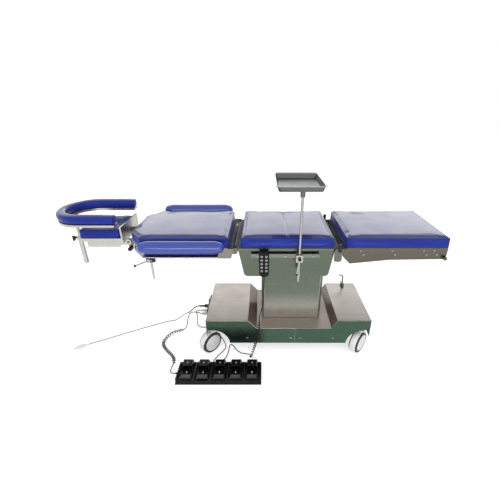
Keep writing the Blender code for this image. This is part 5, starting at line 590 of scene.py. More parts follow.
class Workshop:
    """Makes objects of shapes and hangs them on the CAD bodies."""

    weld = 2e-5
    flat = math.radians(1.0)
    edge_angle = math.radians(28)
    above = 3.0

    def __init__(self, frame: dict) -> None:
        """Remember the frame and which body each node has.
        """
        self.nodes = frame["nodes"]
        bodies = frame["record"]["behaviour"]["bodies"]
        self.body_of = {node: body for body, members in bodies.items() for node in members}

    def thing(self, name: str, shape: bmesh.types.BMesh, finish: Finish) -> bpy.types.Object:
        """An object of a bmesh, smooth but for its sharp edges.

        Args:
            name: The object's name.
            shape: The bmesh, which is freed.
            finish: Its finish.

        Returns:
            The object.
        """
        mesh = bpy.data.meshes.new(name)
        shape.to_mesh(mesh)
        shape.free()
        mesh.materials.append(finish.material())
        mesh.shade_smooth()
        mesh.set_sharp_from_angle(angle=SMOOTH)
        made = bpy.data.objects.new(name, mesh)
        bpy.context.scene.collection.objects.link(made)
        return made

    def settle(self, made: bpy.types.Object) -> bpy.types.Object:
        """Apply the object's modifiers.

        Args:
            made: The object.

        Returns:
            The same object, with a plain mesh.
        """
        bpy.context.view_layer.update()
        graph = bpy.context.evaluated_depsgraph_get()
        mesh = bpy.data.meshes.new_from_object(made.evaluated_get(graph))
        made.modifiers.clear()
        made.data = mesh
        mesh.name = made.name
        return made

    def soften(self, made: bpy.types.Object, width: float, segments: int, edge: int) -> bpy.types.Object:
        """Round an object's sharp edges and keep its flat faces flat.

        Args:
            made: The object.
            width: How far the edges are rounded.
            segments: Steps of the rounding.
            edge: Material index of the rounded edges, or -1 for that of their faces.

        Returns:
            The object.
        """
        bevel = made.modifiers.new("edges", "BEVEL")
        bevel.width = width
        bevel.segments = segments
        bevel.limit_method = "ANGLE"
        bevel.angle_limit = self.edge_angle
        bevel.use_clamp_overlap = True
        bevel.material = edge
        level = made.modifiers.new("faces", "WEIGHTED_NORMAL")
        level.keep_sharp = True
        return self.settle(made)

    def hang(self, made: bpy.types.Object, body: str, finish: Finish, *nodes: str) -> bpy.types.Object:
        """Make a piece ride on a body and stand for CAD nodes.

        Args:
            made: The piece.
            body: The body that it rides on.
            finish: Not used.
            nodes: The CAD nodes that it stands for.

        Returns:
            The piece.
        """
        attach(made, body)
        if nodes:
            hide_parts(*nodes)
        LOG.info("%s rides on %s and stands for %s", made.name, body, ", ".join(nodes) or "no node")
        return made

    def copy_of(self, node: str) -> bmesh.types.BMesh:
        """A CAD node's mesh with its doubles merged and its flat faces whole.

        Args:
            node: The CAD node.

        Returns:
            The copy.
        """
        shape = bmesh.new()
        shape.from_mesh(self.nodes[node].data)
        bmesh.ops.remove_doubles(shape, verts=shape.verts[:], dist=self.weld)
        bmesh.ops.dissolve_limit(shape, angle_limit=self.flat, verts=shape.verts[:], edges=shape.edges[:])
        return shape

    def dress(
        self, node: str, name: str, finish: Finish, width: float = 0.0008, segments: int = 2,
        areas: Sequence[tuple[Finish, Test]] = (), edge: Finish | None = None,
    ) -> bpy.types.Object:
        """A CAD node's own shape with rounded edges and a proper finish.

        Args:
            node: The CAD node.
            name: The piece's name.
            finish: Its finish.
            width: How far the edges are rounded.
            segments: Steps of the rounding.
            areas: More finishes, each with a test of a face's middle, from the column's axis,
                and of its normal.
            edge: The finish of the rounded edges, where it differs; a paler one paints a highlight along them.

        Returns:
            The piece, which stands for the node.
        """
        made = self.thing(name, self.copy_of(node), finish)
        self.paint(made, areas)
        if edge:
            made.data.materials.append(edge.material())
        self.soften(made, width, segments, len(made.data.materials) - 1 if edge else -1)
        return self.hang(made, self.body_of[node], finish, node)

    def paint(self, made: bpy.types.Object, areas: Sequence[tuple[Finish, Test]]) -> None:
        """Give some faces of a piece another finish.

        Args:
            made: The piece.
            areas: Finishes, each with a test of a face's middle and normal.
        """
        for finish, test in areas:
            made.data.materials.append(finish.material())
            index = len(made.data.materials) - 1
            for face in made.data.polygons:
                if test(face.center - SHIFT, face.normal):
                    face.material_index = index

    def seat_of(self, node: str, x: float, y: float) -> tuple[Vector, Vector]:
        """Point and normal of a node's upper surface over one place, from the column's axis.

        Args:
            node: The CAD node.
            x: Place along the table.
            y: Place across it.

        Returns:
            The point and the normal there.
        """
        mesh = self.nodes[node].data
        corners = [vertex.co for vertex in mesh.vertices]
        tree = BVHTree.FromPolygons(corners, [tuple(face.vertices) for face in mesh.polygons])
        spot, normal, _, _ = tree.ray_cast(at(x, y, self.above), Vector((0, 0, -1)))
        if spot is None:
            raise ValueError(f"{node} has no surface over {x}, {y}")
        return spot, normal


@dataclass
class Pattern:
    """Copies of one small solid, set on points by geometry nodes that are built once."""

    tree: bpy.types.NodeTree | None = None
    inputs: dict[str, str] = field(default_factory=dict)

    def close(self, net: Net, start: bpy.types.Node, feeds: dict) -> None:
        """Set the solid on its points, make the copies real, colour them and keep the tree.

        Args:
            net: The tree under construction.
            start: The node that gives its inputs.
            feeds: What the copying node gets: points, the solid and its turn.
        """
        copies = net.add("GeometryNodeInstanceOnPoints", feeds)
        whole = net.add("GeometryNodeRealizeInstances", {0: copies})
        coloured = net.add("GeometryNodeSetMaterial", {"Geometry": whole, "Material": (start, "Material")})
        net.output("Geometry", coloured, "Geometry")
        self.tree = net.tree
        self.inputs = net.inputs

    def apply(
        self, shop: Workshop, mesh: bpy.types.Mesh, body: str, finish: Finish, values: dict,
        smooth: float = SMOOTH,
    ) -> bpy.types.Object:
        """Run the tree on a mesh.

        Args:
            shop: The workshop.
            mesh: The points, named after the piece.
            body: The body that the piece rides on.
            finish: Its finish.
            values: Input values by name.
            smooth: Angle from which an edge is sharp.

        Returns:
            The piece.
        """
        made = bpy.data.objects.new(mesh.name, mesh)
        bpy.context.scene.collection.objects.link(made)
        step = made.modifiers.new("pattern", "NODES")
        step.node_group = self.tree
        for label, value in {**values, "Material": finish.material()}.items():
            step[self.inputs[label]] = value
        shop.settle(made)
        made.data.shade_smooth()
        made.data.set_sharp_from_angle(angle=smooth)
        return shop.hang(made, body, finish)


@dataclass
class Screws(Pattern):
    """Socket-head screws set on points."""

    socket_share: float = 0.52
    depth_share: float = 0.6
    sides: int = 20
    crown: float = 0.82
    crown_start: float = 0.55
    finish: Finish = CHROME

    def build(self) -> None:
        """Build the node tree: one screw, set on every point and turned to face out."""
        net = Net(bpy.data.node_groups.new("screws", "GeometryNodeTree"))
        sizes = {"Head_Radius": 0.006, "Head_Height": 0.003, "Socket_Radius": 0.003, "Socket_Depth": 0.002}
        start = net.start(Geometry=None, **sizes, Material=None)
        top = net.add("ShaderNodeCombineXYZ", {"Z": (start, "Head Height")})
        line = net.add("GeometryNodeCurvePrimitiveLine", {"End": top})
        spread = net.add("GeometryNodeResampleCurve", {"Curve": line}, Count=7)
        share = net.add("GeometryNodeSplineParameter")
        feeds = {"Value": (share, "Factor"), "From Min": self.crown_start, "To Min": 1.0, "To Max": self.crown}
        rounding = net.add("ShaderNodeMapRange", feeds, interpolation_type="SMOOTHSTEP")
        reach = net.add("ShaderNodeMath", {0: rounding, 1: (start, "Head Radius")}, operation="MULTIPLY")
        ring = net.add("GeometryNodeCurvePrimitiveCircle", Resolution=self.sides, Radius=1.0)
        feeds = {"Curve": spread, "Profile Curve": ring, "Scale": reach, "Fill Caps": True}
        solid = net.add("GeometryNodeCurveToMesh", feeds)
        if self.socket_share:
            solid = self.socketed(net, start, solid, top)
        facing = net.add("GeometryNodeInputNamedAttribute", {"Name": "facing"}, data_type="FLOAT_VECTOR")
        turn = net.add("FunctionNodeAlignRotationToVector", {"Vector": (facing, "Attribute")}, axis="Z")
        self.close(net, start, {"Points": (start, "Geometry"), "Instance": solid, "Rotation": turn})

    @staticmethod
    def socketed(
        net: Net, start: bpy.types.Node, head: bpy.types.Node, top: bpy.types.Node
    ) -> bpy.types.Node:
        """Cut a hexagon socket into the head and return the node that gives it.

        Args:
            net: The tree under construction.
            start: The node that gives its inputs.
            head: The node that gives the head.
            top: The node that gives the middle of its top.

        Returns:
            The node that gives the cut head.
        """
        twice = net.add("ShaderNodeMath", {0: (start, "Socket Depth"), 1: 2.0}, operation="MULTIPLY")
        feeds = {"Radius": (start, "Socket Radius"), "Depth": twice}
        key = net.add("GeometryNodeMeshCylinder", feeds, Vertices=6)
        lifted = net.add("GeometryNodeTransform", {"Geometry": key, "Translation": top})
        return net.add("GeometryNodeMeshBoolean", {"Mesh 1": head, "Mesh 2": lifted}, operation="DIFFERENCE")

    @staticmethod
    def sides_of(reach: float, places: Sequence[tuple[float, float]]) -> list[tuple[Vector, Spot]]:
        """Seats on the front and rear faces, at places along the table and up."""
        return [(at(x, side * reach, z), (0, side, 0)) for side in SIDES for x, z in places]

    def row(
        self, shop: Workshop, name: str, body: str, spots: Sequence[tuple[Vector, Spot]],
        radius: float, height: float,
    ) -> bpy.types.Object:
        """Screws at spots on one body.

        Args:
            shop: The workshop.
            name: The piece's name.
            body: The body that it rides on.
            spots: Places of the seats, each with the way it faces.
            radius: Radius of a head.
            height: Height of a head.

        Returns:
            The piece.
        """
        if self.tree is None:
            self.build()
        mesh = bpy.data.meshes.new(name)
        mesh.from_pydata([spot for spot, _ in spots], [], [])
        facing = mesh.attributes.new("facing", "FLOAT_VECTOR", "POINT")
        facing.data.foreach_set("vector", [value for _, way in spots for value in way])
        values = {
            "Head Radius": radius, "Head Height": height, "Socket Radius": radius * self.socket_share,
            "Socket Depth": height * self.depth_share,
        }
        return self.apply(shop, mesh, body, self.finish, values)


@dataclass
class Ridges(Pattern):
    """Parallel half-round ridges for treads and grips."""

    sides: int = 10
    sharp: float = math.radians(50)

    def build(self) -> None:
        """Build the node tree: one bar along X, repeated along a step."""
        net = Net(bpy.data.node_groups.new("ridges", "GeometryNodeTree"))
        sizes = {"Length": 0.06, "Radius": 0.001, "Count": 6, "Step": (0.0, 0.004, 0.0), "Start": ORIGIN}
        start = net.start(Geometry=None, **sizes, Material=None)
        ends = []
        for share in (-0.5, 0.5):
            reach = net.add("ShaderNodeMath", {0: (start, "Length"), 1: share}, operation="MULTIPLY")
            ends.append(net.add("ShaderNodeCombineXYZ", {"X": reach}))
        line = net.add("GeometryNodeCurvePrimitiveLine", {"Start": ends[0], "End": ends[1]})
        ring = net.add("GeometryNodeCurvePrimitiveCircle", {"Radius": (start, "Radius")}, Resolution=self.sides)
        bar = net.add("GeometryNodeCurveToMesh", {"Curve": line, "Profile Curve": ring, "Fill Caps": True})
        feeds = {"Count": (start, "Count"), "Start Location": (start, "Start"), "Offset": (start, "Step")}
        self.close(net, start, {"Points": net.add("GeometryNodeMeshLine", feeds), "Instance": bar})

    def lay(
        self, shop: Workshop, name: str, body: str, finish: Finish, start: Vector, step: Spot, count: int,
        length: float, radius: float,
    ) -> bpy.types.Object:
        """Ridges along X from a start, one step apart.

        Args:
            shop: The workshop.
            name: The piece's name.
            body: The body that it rides on.
            finish: Its finish.
            start: Middle of the first ridge.
            step: From one ridge to the next.
            count: Number of ridges.
            length: Length of each.
            radius: Radius of each.

        Returns:
            The piece.
        """
        if self.tree is None:
            self.build()
        values = {"Length": length, "Radius": radius, "Count": count, "Start": tuple(start), "Step": step}
        return self.apply(shop, bpy.data.meshes.new(name), body, finish, values, self.sharp)


class Route:
    """Centre lines of cords, through the same points as the CAD model's."""

    fineness = 12
    curl_points = 12

    @staticmethod
    def even(points: Sequence[Vector], step: float) -> list[Vector]:
        """Points spread evenly along a polyline.

        Args:
            points: The polyline.
            step: Distance between the points that come back.

        Returns:
            The even points.
        """
        lengths = [(b - a).length for a, b in zip(points, points[1:])]
        total = sum(lengths)
        count = max(2, round(total / step))
        spread = []
        index = 0
        passed = 0.0
        for number in range(count + 1):
            goal = total * number / count
            while index < len(lengths) - 1 and passed + lengths[index] < goal:
                passed += lengths[index]
                index += 1
            share = (goal - passed) / lengths[index]
            spread.append(points[index].lerp(points[index + 1], min(share, 1.0)))
        return spread

    @classmethod
    def smooth(cls, points: Sequence[Spot], step: float) -> list[Vector]:
        """A smooth curve through given points.

        Args:
            points: Points from the column's axis.
            step: Distance between the points that come back.

        Returns:
            Even points in the model's frame.
        """
        spots = [at(*point) for point in points]
        times = [0.0]
        for first, second in zip(spots, spots[1:]):
            times.append(times[-1] + (second - first).length)
        slopes = []
        for index in range(len(spots)):
            before = max(index - 1, 0)
            after = min(index + 1, len(spots) - 1)
            slopes.append((spots[after] - spots[before]) / (times[after] - times[before]))
        fine = []
        for index in range(len(spots) - 1):
            span = times[index + 1] - times[index]
            for part in range(cls.fineness):
                t = part / cls.fineness
                first = (2 * t**3 - 3 * t**2 + 1) * spots[index] + (t**3 - 2 * t**2 + t) * span * slopes[index]
                second = (-2 * t**3 + 3 * t**2) * spots[index + 1] + (t**3 - t**2) * span * slopes[index + 1]
                fine.append(first + second)
        fine.append(spots[-1])
        return cls.even(fine, step)

    @classmethod
    def curled(
        cls, points: Sequence[Spot], lead: float, tail: float, radius: float, pitch: float
    ) -> list[Vector]:
        """A route whose middle is wound into curls.

        Args:
            points: Points from the column's axis.
            lead: Plain length before the curls.
            tail: Plain length after them.
            radius: Radius of the curls.
            pitch: Length of one curl along the route.

        Returns:
            Points of the wound line.
        """
        line = cls.smooth(points, pitch / cls.curl_points)
        total = length_of(line)
        side = (line[1] - line[0]).orthogonal().normalized()
        wound = []
        passed = 0.0
        for index, spot in enumerate(line):
            if index:
                passed += (spot - line[index - 1]).length
            ahead = (line[min(index + 1, len(line) - 1)] - line[max(index - 1, 0)]).normalized()
            side = (side - ahead * side.dot(ahead)).normalized()
            reach = radius * min(1.0, max(0.0, passed - lead) / pitch, max(0.0, total - tail - passed) / pitch)
            angle = math.tau * max(0.0, passed - lead) / pitch
            across = ahead.cross(side)
            wound.append(spot + (side * math.cos(angle) + across * math.sin(angle)) * reach)
        return wound


@dataclass
class Cords:
    """The mains lead, the foot switch's two leads and the handset's cord."""

    power: float = 0.0075
    lead: float = 0.006
    sides: int = 12
    foot_radius: float = 0.0090
    foot_pitch: float = 0.0190
    foot_lead: float = 0.320
    foot_tail: float = 0.110
    hand_radius: float = 0.0070
    hand_pitch: float = 0.0175
    hand_lead: float = 0.014
    hand_split: float = 0.45
    stub: float = 0.010
    black_end: float = -0.770
    boot: float = 0.022
    plug_width: float = 0.028
    plug_height: float = 0.022
    pin_offset: float = 0.0064

    def straight(self, spot: Spot, way: Spot) -> list[Spot]:
        """An exit point and a second one straight ahead of it."""
        ahead = tuple(value + self.stub * turn for value, turn in zip(spot, way))
        return [spot, ahead]

    def run(self, shop: Workshop, name: str, line: Sequence[Vector], node: str) -> None:
        """A black lead along a line, on the base.

        Args:
            shop: The workshop.
            name: The piece's name.
            line: Its centre line.
            node: The CAD node it stands for.
        """
        made = shop.thing(name, Form.tube(line, self.lead / 2, self.sides), BLACK_CORD)
        shop.hang(made, "base", BLACK_CORD, node)

    def mains(self, shop: Workshop) -> None:
        """The mains lead along the floor to its plug, black where it leaves the panel.

        Args:
            shop: The workshop.
        """
        hand = self.straight((-0.6576, 0.0, 0.238), (-1, 0, 0)) + [
            (-0.6930, -0.0020, 0.2250), (-0.7400, 0.0180, 0.1720), (-0.7970, 0.0680, 0.1100),
            (-0.8530, 0.1040, 0.0500), (-0.8980, 0.1220, 0.0100), (-0.9520, 0.1170, 0.0044),
            (-1.0080, 0.0900, 0.0042), (-1.1420, 0.0240, 0.0042), (-1.2690, -0.0440, 0.0042),
            (-1.3560, -0.0950, 0.0052), (-1.4040, -0.1240, 0.0100), (-1.4520, -0.1520, 0.0110),
        ]
        line = Route.smooth(hand, 0.016)
        made = shop.thing("mains_lead", Form.tube(line, self.power / 2, self.sides), GREY_CORD)
        shop.hang(made, "base", GREY_CORD, "power_cord")
        shop.paint(made, [(BLACK_CORD, lambda middle, normal: middle.x > self.black_end)])
        plug = self.plug(shop, line[-1], (line[-1] - line[-2]).normalized())

    def plug(self, shop: Workshop, spot: Vector, way: Vector) -> bpy.types.Object:
        """The mains plug: ribbed boot, rounded body and two pins.

        Args:
            shop: The workshop.
            spot: Where the lead ends.
            way: Where it points there.

        Returns:
            The plug.
        """
        profile = [(0.0, -0.004), (0.0052, -0.004), (0.0062, 0.004)]
        for rib in range(3):
            low = 0.005 + 0.005 * rib
            profile += [(0.0068, low), (0.0068, low + 0.0026), (0.0058, low + 0.0034), (0.0060, low + 0.0048)]
        profile += [(0.0085, self.boot), (0.0, self.boot)]
        flat = Vector((way.x, way.y, 0)).normalized()
        side = Vector((-flat.y, flat.x, 0))
        low = spot + flat * self.boot
        rings = []
        for along, width, height in (
            (-0.002, 0.55, 0.6), (0.004, 0.8, 0.85), (0.012, 1.0, 1.0), (0.036, 1.0, 1.0), (0.047, 0.93, 0.92),
            (0.050, 0.8, 0.8),
        ):
            ring = []
            for step in range(24):
                angle = math.tau * step / 24
                u, v = (math.copysign(abs(wave) ** 0.55, wave) for wave in (math.cos(angle), math.sin(angle)))
                across = side * u * self.plug_width / 2 * width
                ring.append(low + flat * along + across + Vector((0, 0, v * self.plug_height / 2 * height)))
            rings.append(ring)
        shapes = [Form.lathe(profile, way, spot, 28), Form.loft(rings)]
        made = shop.thing("mains_plug", Form.joined(shapes), WHITE)
        shop.hang(made, "base", WHITE, "power_plug")
        pins = []
        for offset in (-self.pin_offset, self.pin_offset):
            start = low + flat * 0.049 + side * offset
            line = [start, start + flat * 0.017, start + flat * 0.019]
            pins.append(Form.tube(line, [0.0024, 0.0024, 0.0012], 14))
        shop.hang(shop.thing("mains_pins", Form.joined(pins), CHROME), "base", CHROME)
        return made

    def link(self, shop: Workshop) -> None:
        """The lead from the panel to the foot switch's near end.

        Args:
            shop: The workshop.
        """
        hand = self.straight((-0.6216, -0.042, 0.230), (-1, 0, 0)) + [
            (-0.6640, -0.0340, 0.2240), (-0.6830, -0.0050, 0.1900), (-0.6870, 0.0200, 0.1100),
            (-0.6960, 0.0330, 0.0450), (-0.6800, 0.0440, 0.0080), (-0.6200, 0.0450, 0.0040),
            (-0.5600, 0.0150, 0.0040), (-0.5150, -0.0500, 0.0040), (-0.4790, -0.1080, 0.0040),
            (-0.4590, -0.1650, 0.0040), (-0.4700, -0.2050, 0.0040), (-0.4990, -0.2500, 0.0060),
            (-0.523, -0.3127, 0.018), (-0.523, -0.3247, 0.018),
        ]
        self.run(shop, "link_cord", Route.smooth(hand, 0.014), "link_lead")

    def foot(self, shop: Workshop) -> None:
        """The curly lead from the panel to the foot switch's far end.

        Args:
            shop: The workshop.
        """
        hand = self.straight((-0.6216, -0.078, 0.230), (-1, 0, 0)) + [
            (-0.6800, -0.0520, 0.2220), (-0.7220, -0.0280, 0.1950), (-0.7500, -0.0060, 0.1350),
            (-0.7680, 0.0060, 0.0650), (-0.7880, 0.0060, 0.0220), (-0.8180, 0.0020, 0.0135),
            (-0.8620, -0.0200, 0.0130), (-0.8950, -0.0590, 0.0130), (-0.9120, -0.1080, 0.0130),
            (-0.9120, -0.1450, 0.0130), (-0.8900, -0.1860, 0.0130), (-0.8500, -0.2290, 0.0130),
            (-0.8080, -0.2740, 0.0130), (-0.7900, -0.3190, 0.0130), (-0.7920, -0.3600, 0.0130),
            (-0.7940, -0.3920, 0.0120), (-0.7840, -0.4150, 0.0160), (-0.7663, -0.422, 0.018),
            (-0.7543, -0.422, 0.018),
        ]
        line = Route.curled(hand, self.foot_lead, self.foot_tail, self.foot_radius, self.foot_pitch)
        self.run(shop, "foot_cord", line, "footswitch_cord")

    def handset(self, shop: Workshop) -> None:
        """The handset's cord: hanging lead, hanging curls and the stretch along the floor.

        Args:
            shop: The workshop.
        """
        hang = self.straight((-0.187, -0.2753, 0.6402), (0, 0, -1)) + [
            (-0.1880, -0.2770, 0.5700), (-0.1930, -0.2790, 0.4550), (-0.2090, -0.2800, 0.3850),
            (-0.2165, -0.2800, 0.3500), (-0.2165, -0.2800, 0.3400),
        ]
        curls = self.straight((-0.2165, -0.2800, 0.3397), (0, 0, -1)) + [
            (-0.2190, -0.2800, 0.2900), (-0.2270, -0.2800, 0.2200), (-0.2400, -0.2800, 0.1500),
            (-0.2580, -0.2800, 0.0850), (-0.2730, -0.2880, 0.0380), (-0.2815, -0.2780, 0.0130),
            (-0.2815, -0.2680, 0.0130),
        ]
        floor = self.straight((-0.2815, -0.2677, 0.0130), (0, 1, 0)) + [
            (-0.2910, -0.2430, 0.0070), (-0.3110, -0.2360, 0.0040), (-0.3440, -0.2290, 0.0040),
            (-0.3850, -0.1930, 0.0040), (-0.4080, -0.1560, 0.0040), (-0.4260, -0.1430, 0.0040),
            (-0.4330, -0.1620, 0.0040), (-0.4360, -0.2250, 0.0040), (-0.4500, -0.2800, 0.0070),
            (-0.466, -0.3127, 0.018), (-0.466, -0.3247, 0.018),
        ]
        upper = Route.smooth(hang, 0.010)
        wound = Route.curled(curls, self.hand_lead, self.hand_lead, self.hand_radius, self.hand_pitch)
        split = next(number for number, spot in enumerate(upper) if spot.z < self.hand_split)
        for name, line, bodies, span, nodes, lay in (
            (
                "handset_cord_top", upper[: split + 1], ("seat", "gimbal"), (0.62, 0.46), ["handset_lead"],
                "hanging",
            ),
            ("handset_cord_middle", upper[split:], ("gimbal", "lift"), (0.445, 0.345), [], "hanging"),
            ("handset_cord_curls", wound, ("lift", "base"), (0.335, 0.030), ["handset_curly"], "coiled"),
        ):
            made = shop.thing(name, Form.tube(line, self.lead / 2, self.sides), BLACK_CORD)
            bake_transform(made)
            if nodes:
                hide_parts(*nodes)
        self.run(shop, "handset_cord_floor", Route.smooth(floor, 0.012), "handset_floor_lead")

    def build(self, shop: Workshop) -> None:
        """All cords.

        Args:
            shop: The workshop.
        """
        self.mains(shop)
        self.link(shop)
        self.foot(shop)
        self.handset(shop)


@dataclass
class Studio:
    """Camera, floor and soft lights."""

    eye: Spot = (-0.193, -1.882, 1.597)
    pitch: float = 25.68
    lens: float = 22.46
    shift: float = -0.026
    background: float = 1.0
    ambient: float = 0.55
    floor_glow: float = 0.58
    floor_size: float = 14.0

    def camera(self) -> None:
        """The photograph's camera."""
        data = bpy.data.cameras.new("camera")
        data.lens = self.lens
        data.sensor_width = 36.0
        data.sensor_fit = "HORIZONTAL"
        data.shift_x = self.shift
        data.clip_start = 0.05
        data.clip_end = 60.0
        camera = bpy.data.objects.new("camera", data)
        camera.location = at(*self.eye)
        camera.rotation_euler = (math.radians(90 - self.pitch), 0.0, 0.0)
        bpy.context.scene.collection.objects.link(camera)
        bpy.context.scene.camera = camera

    def seen(self, net: Net) -> bpy.types.Node:
        """One for rays that show the background: from the camera, a mirror or glass.

        Args:
            net: The tree that asks.

        Returns:
            The node that gives it.
        """
        path = net.add("ShaderNodeLightPath")
        feeds = {0: (path, "Is Camera Ray"), 1: (path, "Is Glossy Ray")}
        first = net.add("ShaderNodeMath", feeds, operation="MAXIMUM")
        return net.add("ShaderNodeMath", {0: first, 1: (path, "Is Transmission Ray")}, operation="MAXIMUM")

    def world(self) -> None:
        """A white background that lights the object less than it shows."""
        world = bpy.data.worlds.new("world")
        bpy.context.scene.world = world
        world.use_nodes = True
        net = Net(world.node_tree)
        feeds = {"Value": self.seen(net), "To Min": self.ambient, "To Max": self.background}
        strength = net.add("ShaderNodeMapRange", feeds)
        light = net.add("ShaderNodeBackground", {"Strength": strength}, Color=(1.0, 1.0, 1.0, 1.0))
        net.add("ShaderNodeOutputWorld", {"Surface": light})

    def lamp(
        self, name: str, spot: Spot, goal: Spot, size: tuple[float, float], power: float, shown: bool
    ) -> None:
        """A soft area light that looks at a goal.

        Args:
            name: The lamp's name.
            spot: Where it hangs.
            goal: Where it looks.
            size: Its width and height.
            power: Its power in watts.
            shown: Whether bright surfaces mirror it.
        """
        data = bpy.data.lights.new(name, "AREA")
        data.shape = "RECTANGLE"
        data.size, data.size_y = size
        data.energy = power
        lamp = bpy.data.objects.new(name, data)
        lamp.location = at(*spot)
        lamp.rotation_euler = (at(*goal) - at(*spot)).to_track_quat("-Z", "Y").to_euler()
        lamp.visible_camera = False
        lamp.visible_glossy = shown
        bpy.context.scene.collection.objects.link(lamp)

    def floor(self) -> None:
        """A white floor that keeps the object's shadow, and fades into the background."""
        shape = bmesh.new()
        bmesh.ops.create_grid(shape, x_segments=24, y_segments=24, size=self.floor_size)
        mesh = bpy.data.meshes.new("floor")
        shape.to_mesh(mesh)
        shape.free()
        floor = bpy.data.objects.new("floor", mesh)
        bpy.context.scene.collection.objects.link(floor)
        material = bpy.data.materials.new("floor")
        material.use_nodes = True
        net = Net(material.node_tree)
        feeds = {0: self.seen(net), 1: self.floor_glow}
        glow = net.add("ShaderNodeMath", feeds, operation="MULTIPLY")
        shader = net.add("ShaderNodeBsdfPrincipled", {"Emission Strength": glow}, Roughness=0.7)
        shader.inputs["Base Color"].default_value = (0.80, 0.80, 0.80, 1.0)
        shader.inputs["Specular IOR Level"].default_value = 0.2
        shader.inputs["Emission Color"].default_value = (1.0, 1.0, 1.0, 1.0)
        net.add("ShaderNodeOutputMaterial", {"Surface": (shader, "BSDF")})
        mesh.materials.append(material)

    def build(self) -> None:
        """Camera, world, lamps and floor."""
        self.camera()
        self.world()
        self.floor()
        self.lamp("key", (-1.6, -2.2, 3.2), (-0.1, 0.0, 0.5), (2.2, 1.8), 36.0, False)
        self.lamp("fill", (2.4, -1.8, 2.2), (0.0, 0.0, 0.5), (2.0, 2.0), 22.0, False)
        self.lamp("behind", (0.1, 3.0, 2.06), (0.1, 0.0, 0.9), (5.8, 0.7), 17.0, True)
        self.lamp("window", (-0.2, -4.2, 1.70), (-0.3, 0.0, 0.85), (4.6, 0.42), 62.0, True)


class Pad:
    """Upholstered pads: CAD shapes swollen a little by cloth under pressure."""

    voxel = 0.006
    frames = 16
    shrink = 0.0025
    seat = 0.004
    calm = {"factor": 0.5, "iterations": 4}
    cloth = {
        "quality": 4, "mass": 0.3, "tension_stiffness": 25.0, "compression_stiffness": 25.0,
        "bending_stiffness": 2.0, "vertex_group_mass": "held", "use_pressure": True,
        "uniform_pressure_force": 4.0,
    }
    ripple_height = 0.0009
    ripple_scale = 9.0
    crease_depth = 0.0042
    crease_width = 0.0075
    crease_wave = 22.0
    top_facing = 0.72

    @classmethod
    def stuff(cls, shop: Workshop, made: bpy.types.Object, cap: float, base: float) -> None:
        """Blow up a closed pad as cloth over foam, held still along its base.

        Args:
            shop: The workshop.
            made: The pad.
            cap: How far a point may move.
            base: Height under which the points are held.
        """
        remesh = made.modifiers.new("even", "REMESH")
        remesh.mode = "VOXEL"
        remesh.voxel_size = cls.voxel
        remesh.use_smooth_shade = True
        calm = made.modifiers.new("calm", "SMOOTH")
        for name, value in cls.calm.items():
            setattr(calm, name, value)
        mesh = shop.settle(made).data
        rest = [vertex.co.copy() for vertex in mesh.vertices]
        normals = [vertex.normal.copy() for vertex in mesh.vertices]
        for vertex, normal in zip(mesh.vertices, normals):
            if vertex.co.z > base:
                vertex.co -= normal * cls.shrink
        held = made.vertex_groups.new(name="held")
        held.add([vertex.index for vertex in mesh.vertices if vertex.co.z <= base], 1.0, "REPLACE")
        cloth = made.modifiers.new("cloth", "CLOTH")
        for name, value in cls.cloth.items():
            setattr(cloth.settings, name, value)
        cloth.settings.effector_weights.gravity = 0.0
        cloth.collision_settings.use_collision = False
        for frame in range(1, cls.frames + 1):
            bpy.context.scene.frame_set(frame)
        shop.settle(made)
        made.vertex_groups.clear()
        for vertex, start in zip(made.data.vertices, rest):
            move = vertex.co - start
            if move.length > cap:
                vertex.co = start + move.normalized() * cap
        bpy.context.scene.frame_set(1)

    @classmethod
    def crease(cls, made: bpy.types.Object, across: float) -> None:
        """Press a shallow crease across the top at one x.

        Args:
            made: The pad.
            across: The crease's place along X.
        """
        upper = [vertex.normal.z > 0.4 for vertex in made.data.vertices]
        for vertex, faces_up in zip(made.data.vertices, upper):
            if faces_up:
                share = (vertex.co.x - across) / cls.crease_width
                wave = 0.2 * noise.noise(Vector((0.0, vertex.co.y * cls.crease_wave, 0.0)))
                vertex.co.z -= cls.crease_depth * math.exp(-((share + wave) ** 2))

    @classmethod
    def ripple(cls, made: bpy.types.Object) -> None:
        """Small unevenness of a stretched cover.

        Args:
            made: The pad.
        """
        normals = [vertex.normal.copy() for vertex in made.data.vertices]
        for vertex, normal in zip(made.data.vertices, normals):
            vertex.co += normal * cls.ripple_height * noise.noise(vertex.co * cls.ripple_scale)

    @classmethod
    def make(
        cls, shop: Workshop, node: str, name: str, finish: Finish, cap: float = 0.005,
        crease: float | None = None, fill: float = 0.85,
    ) -> bpy.types.Object:
        """One pad from its CAD node.

        Args:
            shop: The workshop.
            node: The CAD node.
            name: The piece's name.
            finish: Its finish.
            cap: How far a point may move.
            crease: Where a crease crosses the top, if one does.
            fill: Not used.

        Returns:
            The pad.
        """
        low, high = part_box(node)
        shape = bmesh.new()
        shape.from_mesh(shop.nodes[node].data)
        bmesh.ops.remove_doubles(shape, verts=shape.verts[:], dist=shop.weld)
        made = shop.thing(name, shape, finish)
        cls.stuff(shop, made, cap, low.z + cls.seat)
        cls.ripple(made)
        if crease is not None:
            cls.crease(made, crease)
        made.data.shade_smooth()
        smooth = made.modifiers.new("fine", "SUBSURF")
        smooth.levels = 1
        smooth.render_levels = 1
        shop.settle(made)
        made.data.shade_smooth()
        if not made.data.materials:
            made.data.materials.append(finish.material())
        # Upward faces get their own copy of the cover: a painted reflection on the tops.
        if finish is VINYL:
            shop.paint(made, [(VINYL_TOP_PAINTED, lambda middle, normal: normal.z > cls.top_facing)])
        shop.hang(made, shop.body_of[node], finish, node)
        LOG.info("%s spans %.3f to %.3f upwards", name, low.z, high.z)
        return made


